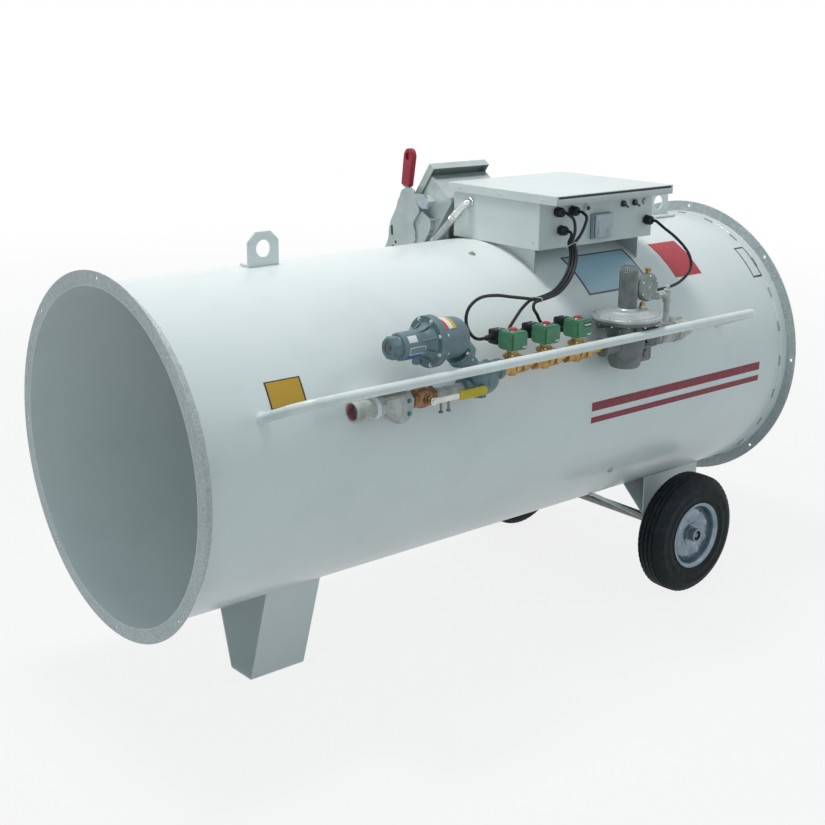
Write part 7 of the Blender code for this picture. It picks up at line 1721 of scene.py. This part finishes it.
def makeBox():
    b, out = box, (0, -1, 0)
    front, z = b["front"], b["controlZ"]
    refined("control_box", "box", 0.0009, "box_white", sharp=20)
    refined("control_box_lid", "box", 0.0009, "box_white")
    sides = (b["low"] - 0.0002, b["high"] + 0.0002)
    spots = [((x, y, b["lidScrewsZ"]), (way, 0, 0)) for x, way in zip(b["lidScrewsX"], (-1, 1))
        for y in b["lidScrewsY"]]
    spots += [((x, *yz), (way, 0, 0)) for x, way in zip(sides, (-1, 1)) for yz in b["sideScrews"]]
    fasteners("box_screws", spots, "plated", "box_white", head=(0.0034, 0.0016), sides=24, taper=0.7,
        washer=(0.0042, 0.0005))
    nut = [(0.0058, 0), (0.0096, 0), (0.0099, 0.0008), (0.0099, 0.0068), (0.0088, 0.0081), (0.0062, 0.0084),
        (0.0058, 0.008)]
    rows = [(addTurned, nut, (x, front - 0.0002, z), out, 40) for x in b["toggles"]]
    collar = [(0.0069, 0.0012), (0.0113, 0.0006), (0.0114, 0.0094), (0.0102, 0.0103), (0.0072, 0.0103),
        (0.0069, 0.0098)]
    solid("control_nuts", "black", rows, "plug_black")
    solid("button_collar", "box", [(addTurned, collar, (b["buttonX"], front + 0.0004, z), out, 48)], "box_white")
    solid("push_button_skin", "black", [
        (addTurned, [(0, 0), (0.0065, 0), (0.0065, 0.0078), (0.0058, 0.009), (0.004, 0.0094), (0, 0.009)],
            (b["buttonX"], b["buttonY"], z), out, 40)], "plug_black", ("push_button",), "reset_button")
    solid("lid_shadow_strip", "black", [
        (addBlock, (b["low"] + 0.002, front - 0.0758, 1.3618), (b["high"] - 0.002, front - 0.0748, 1.3682), 0.0002)])
    lens = [(0, 0), (0.0066, 0), (0.0066, 0.003), (0.0055, 0.0052), (0.003, 0.0066), (0, 0.007)]
    solid("lamp_bezel", "steel", [
        (addTurned, [(0.0066, 0), (0.0094, 0), (0.0094, 0.0012), (0.008, 0.0032), (0.0066, 0.0032)],
            (b["lampX"], front - 0.0002, z), out, 48)], "chrome")
    solid("lamp_lens", "lamp", [(addTurned, lens, (b["lampX"], front - 0.0004, z), out, 40)])
    droop = radians(b["toggleDroop"])
    heading = Vector((0, -cos(droop), -sin(droop)))
    for number, (x, riding) in enumerate(zip(b["toggles"], ("toggle_one", "toggle_two")), 1):
        lever = [(0, -0.0045), (0.003, -0.0038), (0.0043, -0.0016), (0.0045, 0), (0.0041, 0.002), (0.0028, 0.0042),
            (0.0024, 0.005), (0.0027, 0.011), (0.0034, 0.0165), (0.0038, 0.019), (0.0037, 0.0205), (0.0028, 0.0216),
            (0, 0.022)]
        solid("toggle_skin_" + str(number), "steel", [
            (addTurned, lever, (x, b["toggleY"], z), heading, 32)], "chrome", ("toggle_lever_" + str(number),),
            riding)
    refined("receptacle", "socket", 0.0008, "socket_grey")
    refined("receptacle_flap", "socket", 0.0005, "socket_grey")
    (left, right), (bottom, top) = b["socketX"], b["socketZ"]
    solid("receptacle_pad", "socket", [
        (addBlock, (left + 0.014, b["padY"][0], bottom + 0.014), (right - 0.014, b["padY"][1], top - 0.016), 0.0006),
        (addRod, 0.0062, (right - 0.022, -0.3055, bottom + 0.022), (right - 0.022, -0.3068, bottom + 0.022),
            28, 0.0004),
        (addRod, 0.0062, (left + 0.022, -0.3055, bottom + 0.022), (left + 0.022, -0.3068, bottom + 0.022),
            28, 0.0004)], "socket_grey", (), "socket_flap")
    face = front - 0.0143
    spots = [((x, face, zed), out) for x in (left + b["screwIn"], right - b["screwIn"])
        for zed in (bottom + b["screwIn"], top - b["screwIn"])]
    fasteners("receptacle_screws", spots, "plated", head=(0.0013, 0.0006), sides=16, washer=(0.0015, 0.0002))
    solid("receptacle_seal", "black", [
        (addBlock, (left - 0.001, front - 0.0012, bottom - 0.001), (right + 0.001, front - 0.0001, top + 0.001),
            0.0004)])
    face = front - 0.0052
    rows = [
        (addRod, 0.019, ((left + right) / 2, front - 0.004, (bottom + top) / 2),
            ((left + right) / 2, face - 0.0005, (bottom + top) / 2), 48, 0.0004)]
    solid("receptacle_face", "black", rows, "plug_black")


makeBox()
print("box ready")


# Fused disconnect: leaning box, door, side plate, lever; and its conduit

switch = {"slots": (((0.146, -0.053), 0.0115, 52), ((0.108, -0.072), 0.0, 0), ((0.111, -0.094), 0.0, 0)),
    "slotRadius": 0.0055, "fusesX": (0.89, 0.9175, 0.945), "fuseFoot": (0.067, 0.058), "knob": (0.1525, 0.11),
    "foot": (0, 0.2162, 1.1492), "lean": 35.6, "x": (0.8, 1.035), "pivot": (0.04, 0.065), "armX": (0.783, 0.787),
    "coverX": (0.7778, 0.7808), "posts": ((0.0128, 0.05), (0.03, 0.0945)), "plateX": (0.77, 0.773),
    "grip": (0.1855, 0.1037), "gripAngle": 62.8, "gripLength": 0.122, "gripHalf": 0.0205, "gripX": (0.775, 0.795)}
sidePlate = [(0.185, 0.083), (0.177, 0.05), (0.172, 0.019), (0.17, -0.025), (0.161, -0.059), (0.146, -0.085),
    (0.14, -0.115), (0.136, -0.14), (0.03, -0.027), (0.039, -0.012), (0.038, 0.003), (0.05, 0.01), (0.071, 0.013),
    (0.08, 0.028), (0.08, 0.053), (0.078, 0.075), (0.079, 0.092), (0.1, 0.099), (0.126, 0.116), (0.137, 0.128),
    (0.161, 0.117), (0.176, 0.102)]
pivotPlate = [(0.104, 0.062), (0.092, 0.078), (0.076, 0.09), (0.052, 0.096), (0.03, 0.094), (0.014, 0.082),
    (0.009, 0.062), (0.008, 0.034), (0.009, 0.002), (0.02, -0.024), (0.048, -0.022), (0.086, -0.004), (0.102, 0.026)]
lugPlate = [(0.124, 0.1175), (0.085, 0.151), (0.052, 0.123), (0.078, 0.101), (0.1, 0.107)]


def lean(depth, height, x=0.0):
    angle = radians(switch["lean"])
    return Vector(switch["foot"]) + Vector((x, cos(angle) * depth - sin(angle) * height,
        sin(angle) * depth + cos(angle) * height))


def addLean(mesh, outline, low, high, edge=0.0008, steps=2):
    spots = [lean(*pair) for pair in outline]
    addPrism(mesh, [(spot.y, spot.z) for spot in spots], "X", low, high, edge, steps)


def softOutline(points, spacing=0.004):
    # a closed smooth outline through the given corners
    loop = [Vector((*point, 0)) for point in points]
    path = smoothPath(loop[-3:] + loop + loop[:3], spacing)
    start = min(range(len(path)), key=lambda i: (path[i] - loop[0]).length if i < len(path) / 2 else 9)
    end = min(range(len(path)), key=lambda i: (path[i] - loop[0]).length if i > len(path) / 2 else 9)
    return [(spot.x, spot.y) for spot in path[start:end]]


def makeDisconnect():
    s = switch
    near, far = s["x"]
    grey = "disconnect"
    refined("disconnect_box", grey, 0.0009, "disconnect_grey")
    refined("disconnect_door", grey, 0.0009, "disconnect_grey")
    plateLow, plateHigh = s["plateX"]
    mesh = bmesh.new()
    addLean(mesh, softOutline(sidePlate), plateLow - 0.0004, plateHigh + 0.0004, 0.0006)
    plate = finishPiece(mesh, "disconnect_side_plate", grey, "disconnect_grey")
    cutters, slotShade = [], []
    for middle, half, angle in s["slots"]:
        way = Vector((cos(radians(angle)), sin(radians(angle))))
        spots = []
        for sign in (1, -1):
            for step in range(9):
                swing = radians(angle + (-90 if sign > 0 else 90) + 180 * step / 8)
                spots.append(Vector(middle) + way * half * sign + Vector((cos(swing), sin(swing))) * s["slotRadius"])
        hole = bmesh.new()
        addLean(hole, spots, plateLow - 0.01, plateHigh + 0.01, 0)
        cutters.append(hole)
        # black slabs just inside the carved slots: painted shade standing for the dark inside the openings
        slotShade.append((addLean, spots, plateLow + 0.0012, plateHigh - 0.0004, 0))
    solid("disconnect_slot_shade", "black", slotShade)
    carve(plate, *cutters)
    solid("disconnect_block", "blue", [
        (addLean, lugPlate, plateLow - 0.0008, plateHigh + 0.006, 0.002, 3)], "disconnect_grey")
    spot = lean(*s["pivot"])
    coverLow, coverHigh = s["coverX"]
    posts = [(addRod, 0.004, (coverHigh - 0.0005, *lean(*post).yz), (near + 0.0005, *lean(*post).yz), 20)
        for post in s["posts"]]
    solid("disconnect_pivot_plate", grey, [
        (addLean, softOutline(pivotPlate), coverLow, coverHigh, 0.001, 3), *posts], "disconnect_grey")
    hub = [(0, 0), (0.0258, 0), (0.0262, 0.001), (0.0262, 0.0118), (0.025, 0.0128), (0.02, 0.0128), (0.018, 0.0122),
        (0, 0.0122)]
    solid("disconnect_hub", grey, [
        (addTurned, hub, (near - hair, spot.y, spot.z), (-1, 0, 0), 64)], "disconnect_grey", ("disconnect_lever",),
        "power_lever")
    run = Vector((cos(radians(s["gripAngle"])), sin(radians(s["gripAngle"]))))
    aside = Vector((-run.y, run.x))
    foot, pin = Vector(s["grip"]), Vector(s["pivot"])
    arm = (foot + run * 0.018 - pin).normalized()
    armSide = Vector((-arm.y, arm.x)) * 0.013
    strip = [pin + armSide * cos(a) - arm * 0.013 * sin(a) for a in (radians(d) for d in range(0, 181, 20))]
    strip += [foot - aside * 0.017 + run * 0.001, foot - aside * 0.017 + run * 0.012,
        foot + aside * 0.017 + run * 0.012, foot + aside * 0.017 + run * 0.001]
    armLow, armHigh = s["armX"]
    solid("disconnect_arm", grey, [
        (addLean, strip, armLow, armHigh, 0.0006),
        (addLean, [foot - aside * 0.016 - run * 0.006, foot - aside * 0.018 + run * 0.01,
            foot + aside * 0.018 + run * 0.01, foot + aside * 0.016 - run * 0.006],
            armLow - 0.002, armHigh + 0.002, 0.0006)], "disconnect_grey", (), "power_lever")
    half, length = s["gripHalf"], s["gripLength"]
    outline = [foot - aside * half * 0.94, foot - aside * half + run * 0.004]
    outline += [foot + run * (length - half) + (aside * -cos(a) + run * sin(a)) * half
        for a in (radians(d) for d in range(0, 181, 12))]
    outline += [foot + aside * half + run * 0.004, foot + aside * half * 0.94]
    gripLow, gripHigh = s["gripX"]
    mesh = bmesh.new()
    addLean(mesh, outline, gripLow, gripHigh, 0.0042, 4)
    grip = finishPiece(mesh, "disconnect_grip", "red", "grip_red", (), "power_lever")
    hole = bmesh.new()
    middle = foot + run * (length - half - 0.002)
    addLean(hole, [middle + (aside * cos(a) + run * sin(a) * (1.5 if sin(a) < 0 else 1)) * 0.0112
        for a in (radians(d) for d in range(0, 360, 15))], gripLow - 0.005, gripLow + 0.006, 0)
    carve(grip, hole)
    rows = [
        (addLean, [foot - aside * 0.0125 + run * at, foot - aside * 0.0125 + run * (at + 0.0022),
            foot + aside * 0.0125 + run * (at + 0.0022), foot + aside * 0.0125 + run * at],
            gripLow - 0.0006, gripLow + 0.001, 0.0003) for at in [0.012 + 0.0062 * step for step in range(10)]]
    solid("disconnect_grip_ribs", "red", rows, "grip_red", (), "power_lever")
    out = (-1, 0, 0)
    spots = [(lean(0.086, 0.122, plateLow - 0.0011), out), (lean(0.014, 0.107, near - 0.0003), out),
        (lean(0.052, 0.059, coverLow - 0.0001), out), (lean(0.049, 0.035, coverLow - 0.0001), out)]
    fasteners("disconnect_screws", spots, "plated", None, head=(0.0038, 0.0018), sides=24, washer=(0.0048, 0.0006))
    rows = [
        (addTurned, [(0, 0), (0.0098, 0), (0.0102, 0.0004), (0.0102, 0.0152), (0.0094, 0.0156), (0.0094, 0.0644),
            (0.0102, 0.0648), (0.0102, 0.0796), (0.0098, 0.08), (0, 0.08)], lean(*s["fuseFoot"], x),
            lean(0, 1) - lean(0, 0), 40) for x in s["fusesX"]]
    solid("fuses", "ceramic", rows)
    knob = lean(*s["knob"], far - 0.012)
    solid("door_latch", "plated", [
        (addRod, 0.0085, knob, knob + (lean(1, 0) - lean(0, 0)) * 0.006, 32, 0.0012)], None, (), "fuse_door")


conduit = {"radius": 0.0105, "startX": 0.7997, "nut": 0.0165, "x": 0.7765, "y": 0.014, "z": 1.315, "footY": 0.168,
    "bend": 0.018}


def makeConduit():
    c = conduit
    start, elbow = Vector((c["startX"], c["y"], c["z"])), Vector((c["x"], c["y"], c["z"]))
    foot = Vector((c["x"], c["footY"], duct["axisZ"] + sqrt(duct["radius"] ** 2 - c["footY"] ** 2)))
    run = (foot - elbow).normalized()
    solid("conduit_elbow", "chrome", [
        (addTube, rounded([start, elbow, elbow + run * 0.058], c["bend"], 14), c["radius"] + 0.0022, 40),
        (addHex, c["nut"], start, start - Vector((0.006, 0, 0)), 0.0008),
        (addRod, c["radius"] + 0.004, elbow + run * 0.046, elbow + run * 0.06, 40, 0.001)], "galvanised",
        ("conduit",))
    solid("conduit_tube", "light", [
        (addRod, c["radius"], elbow + run * 0.055, foot - run * 0.0045, 40),
        (addRod, c["radius"] + 0.0026, foot - run * 0.02, foot - run * 0.0075, 40, 0.001)], "galvanised")
    solid("conduit_nut", "plated", [
        (addHex, c["nut"] - 0.0005, elbow + run * 0.0605, elbow + run * 0.0725, 0.001),
        (addRibbed, c["radius"] + 0.0036, c["radius"] + 0.0026, elbow + run * 0.0725, elbow + run * 0.084, 3, 40)],
        "galvanised")


makeDisconnect()
makeConduit()
print("disconnect ready")


# Cables: the routes from the box's lower front corner, in metres, and the tails from their ends

cable = {"radius": 0.0046, "gland": 0.0158, "glandLength": 0.03, "lane": 0.0118, "tie": 0.0014}
bundle = [(0.071, -0.067, 0.0245), (0.063, -0.082, 0.0035), (0.048, -0.097, -0.0205), (0.023, -0.112, -0.0465),
    (-0.016, -0.127, -0.0735), (-0.062, -0.137, -0.0955), (-0.117, -0.147, -0.1025), (-0.154, -0.152, -0.1035)]
valveCables = [  # gland on the box, lane in the bundle, lead to the bundle, tail from it to the valve
    ((0.072, 0.1095), 0, [(0.073, -0.043, 0.1085), (0.081, -0.062, 0.0925), (0.083, -0.067, 0.0585)],
        [(0.182, 0.0137, 0.085), (0.103, 0.0087, 0.101), (0.043, 0.0057, 0.113), (-0.016, 0.0027, 0.115),
        (-0.056, 0.0002, 0.099), (-0.072, -0.0003, 0.072), (-0.068, -0.0003, 0.04), (-0.048, -0.0003, 0.013),
        (-0.026, -0.0003, 0.0015)]),
    ((0.089, 0.0535), 1, [(0.089, -0.043, 0.052), (0.084, -0.053, 0.0415)],
        [(0.0565, 0.0237, 0.074), (0.0225, 0.0137, 0.061), (-0.0065, 0.0047, 0.044), (-0.0315, -0.0003, 0.024),
        (-0.0395, -0.0003, 0.01), (-0.0275, -0.0003, 0.0005)]),
    ((0.135, 0.1085), -1, [(0.136, -0.045, 0.1075), (0.131, -0.067, 0.0955), (0.114, -0.076, 0.0725),
        (0.095, -0.0775, 0.0465)],
        [(-0.063, 0.0067, 0.072), (-0.069, 0.0027, 0.058), (-0.057, 0.0007, 0.04), (-0.046, -0.0003, 0.021),
        (-0.024, -0.0003, 0.0005)]),
]
switchGland = (0.477, 0.0525)
switchLead = [(0.477, -0.045, 0.052), (0.473, -0.081, 0.0355), (0.479, -0.117, 0.0145), (0.49, -0.147, -0.0135),
    (0.496, -0.167, -0.0405)]
switchTail = [(0.2257, 0.041, 0.035), (0.2067, 0.035, 0.012), (0.1637, 0.031, -0.01), (0.1127, 0.027, -0.019),
    (0.0627, 0.025, -0.021), (0.0227, 0.025, -0.021)]


def moved(points, base):
    return [Vector(point) + Vector(base) for point in points]


def makeCable(name, gland, route, last):
    c, b = cable, box
    wall = Vector((b["low"] + gland[0], b["front"] - hair, b["bottom"] + gland[1]))
    start = Vector((wall.x, b["front"] - c["glandLength"], wall.z))
    solid(name + "_sheath", "cable", [
        (addTube, smoothPath([start, *route, last], 0.005), c["radius"], 20)], "cable_black", (name,))
    solid(name + "_gland", "black", [
        (addGland, c["gland"], wall, (0, -1, 0), c["glandLength"], c["radius"])], "cable_black")


def makeTie(name, spot, direction):
    # a flat band round the three cables side by side in Y
    reach, r = cable["lane"], cable["radius"] + cable["tie"] * 0.7
    side = Vector((0, 1, 0))
    forward = Vector(direction).normalized()
    side = (side - forward * side.dot(forward)).normalized()
    up = forward.cross(side)
    path = []
    for sign, first in ((1, -90), (-1, 90)):
        for step in range(13):
            angle = radians(first + 180 * step / 12)
            path.append(Vector(spot) + side * (reach * sign + r * cos(angle)) + up * r * sin(angle))
    solid(name, "tie", [
        (addTube, path + [path[0], path[1]], cable["tie"], 10),
        (addBlock, tuple(path[6] - Vector((0.0026, 0.0016, 0.0026))),
            tuple(path[6] + Vector((0.0026, 0.0036, 0.0026))), 0.0006)])


def makeCables():
    corner = (box["low"], box["front"], box["bottom"])
    for number, (gland, lane, lead, tail) in enumerate(valveCables, 1):
        end = Vector((valve["xs"][number - 1] - valve["plugShift"] - valve["plug"] / 2 - valve["glandLength"],
            valve["glandY"], valve["glandZ"]))
        shared = moved(bundle, Vector(corner) + Vector((0, lane * cable["lane"], 0)))
        makeCable("valve_cable_" + str(number), gland, moved(lead, corner) + shared + moved(tail, end), end)
    o = outlet
    side = Vector((o["switchX"] + o["housing"] + hair, lineY, o["switchZ"]))
    route = moved(switchLead, corner) + moved(switchTail, side)
    last = (side.x, lineY + o["thick"] / 2 + o["housingDepth"] / 2, route[-1].z)
    makeCable("switch_cable", switchGland, route, last)
    along = moved(bundle, corner)
    makeTie("cable_tie_high", along[0].lerp(along[1], 0.25), along[1] - along[0])
    makeTie("cable_tie_low", along[6].lerp(along[7], 0.9), along[7] - along[6])


makeCables()
print("cables ready")


# Floor, light and camera

view = {"place": (-2.0084, -3.0577, 1.8472), "azimuth": -40.1209, "elevation": 15.4799, "roll": 0.4664,
    "focalPixels": 1337.28, "framePixels": 825, "centrePixels": (415.26, 394.58), "sensor": 36.0}


def makeCamera():
    azimuth, elevation, roll = (radians(view[key]) for key in ("azimuth", "elevation", "roll"))
    back = Vector((sin(azimuth) * cos(elevation), -cos(azimuth) * cos(elevation), sin(elevation)))
    right = Vector((cos(azimuth), sin(azimuth), 0))
    up = back.cross(right)
    leanRight = right * cos(roll) + up * sin(roll)
    leanUp = up * cos(roll) - right * sin(roll)
    data = bpy.data.cameras.new("camera")
    data.sensor_width = view["sensor"]
    data.lens = view["focalPixels"] / view["framePixels"] * view["sensor"]
    half = view["framePixels"] / 2
    data.shift_x = (half - view["centrePixels"][0]) / view["framePixels"]
    data.shift_y = (view["centrePixels"][1] - half) / view["framePixels"]
    camera = bpy.data.objects.new("camera", data)
    bpy.context.scene.collection.objects.link(camera)
    turn = Matrix((leanRight, leanUp, back)).transposed()
    camera.matrix_world = Matrix.Translation(view["place"]) @ turn.to_4x4()
    bpy.context.scene.camera = camera


stage = {"floorHalf": 40.0, "floorColour": 0.68, "worldColour": (0.74, 0.93, 0.98), "worldStrength": 0.42,
    "fadeFrom": (2.2, 9.0), "nearWhite": 0.84}
lamps = {  # place, aim, size, power, colour
    "high": ((-0.1, 0.5, 5.4), (0.7, 0.0, 0.8), 1.0, 120.0, (1.0, 0.975, 0.945)),
    "front": ((-3.6, -3.4, 2.4), (0.5, 0.0, 0.7), 3.0, 10.0, (0.92, 0.98, 1.0)),
    "side": ((3.4, -3.6, 2.8), (1.0, 0.0, 0.8), 3.0, 9.0, (0.95, 0.99, 1.0)),
}


def showWhite(tree, surface, output, strength=1.0):
    # the picture and its reflections see plain white
    path = place(tree, "ShaderNodeLightPath").outputs
    seen = mathNode(tree, "MAXIMUM", path["Is Camera Ray"], path["Is Glossy Ray"])
    seen = mathNode(tree, "MAXIMUM", seen, path["Is Transmission Ray"])
    glow = place(tree, "ShaderNodeEmission", {"Color": (1, 1, 1, 1), "Strength": 1.0})
    mixed = place(tree, "ShaderNodeMixShader", {0: mathNode(tree, "MULTIPLY", seen, strength)})
    tree.links.new(surface, mixed.inputs[1])
    tree.links.new(glow.outputs[0], mixed.inputs[2])
    tree.links.new(mixed.outputs[0], output.inputs[0])


def makeStage():
    mesh = bmesh.new()
    half = stage["floorHalf"]
    bmesh.ops.create_grid(mesh, x_segments=1, y_segments=1, size=half)
    data = bpy.data.meshes.new("floor")
    mesh.to_mesh(data)
    mesh.free()
    floor = bpy.data.objects.new("floor", data)
    bpy.context.scene.collection.objects.link(floor)
    made, tree, shader = startMaterial("paleFloor")
    tone = stage["floorColour"]
    shader.inputs["Base Color"].default_value = (tone, tone, tone, 1)
    shader.inputs["Roughness"].default_value = 0.8
    spot = place(tree, "ShaderNodeTexCoord").outputs["Object"]
    away = place(tree, "ShaderNodeVectorMath", {0: spot}, operation="LENGTH").outputs["Value"]
    near, far = stage["fadeFrom"]
    showWhite(tree, shader.outputs[0], tree.nodes["Material Output"], spread(tree, away, near, far,
        stage["nearWhite"]))
    data.materials.append(made)
    world = bpy.data.worlds.new("sky")
    world.use_nodes = True
    bpy.context.scene.world = world
    tree = world.node_tree
    sky = tree.nodes["Background"]
    sky.inputs["Color"].default_value = (*stage["worldColour"], 1)
    sky.inputs["Strength"].default_value = stage["worldStrength"]
    showWhite(tree, sky.outputs[0], tree.nodes["World Output"])
    for name, (spot, aim, size, power, colour) in lamps.items():
        lamp = bpy.data.lights.new(name, "AREA")
        lamp.size = size
        lamp.energy = power
        lamp.color = colour
        item = bpy.data.objects.new(name, lamp)
        item.location = spot
        item.rotation_euler = (Vector(aim) - Vector(spot)).to_track_quat("-Z", "Y").to_euler()
        bpy.context.scene.collection.objects.link(item)
    bpy.context.scene.view_settings.view_transform = "Standard"


makeCamera()
makeStage()
print("stage ready")
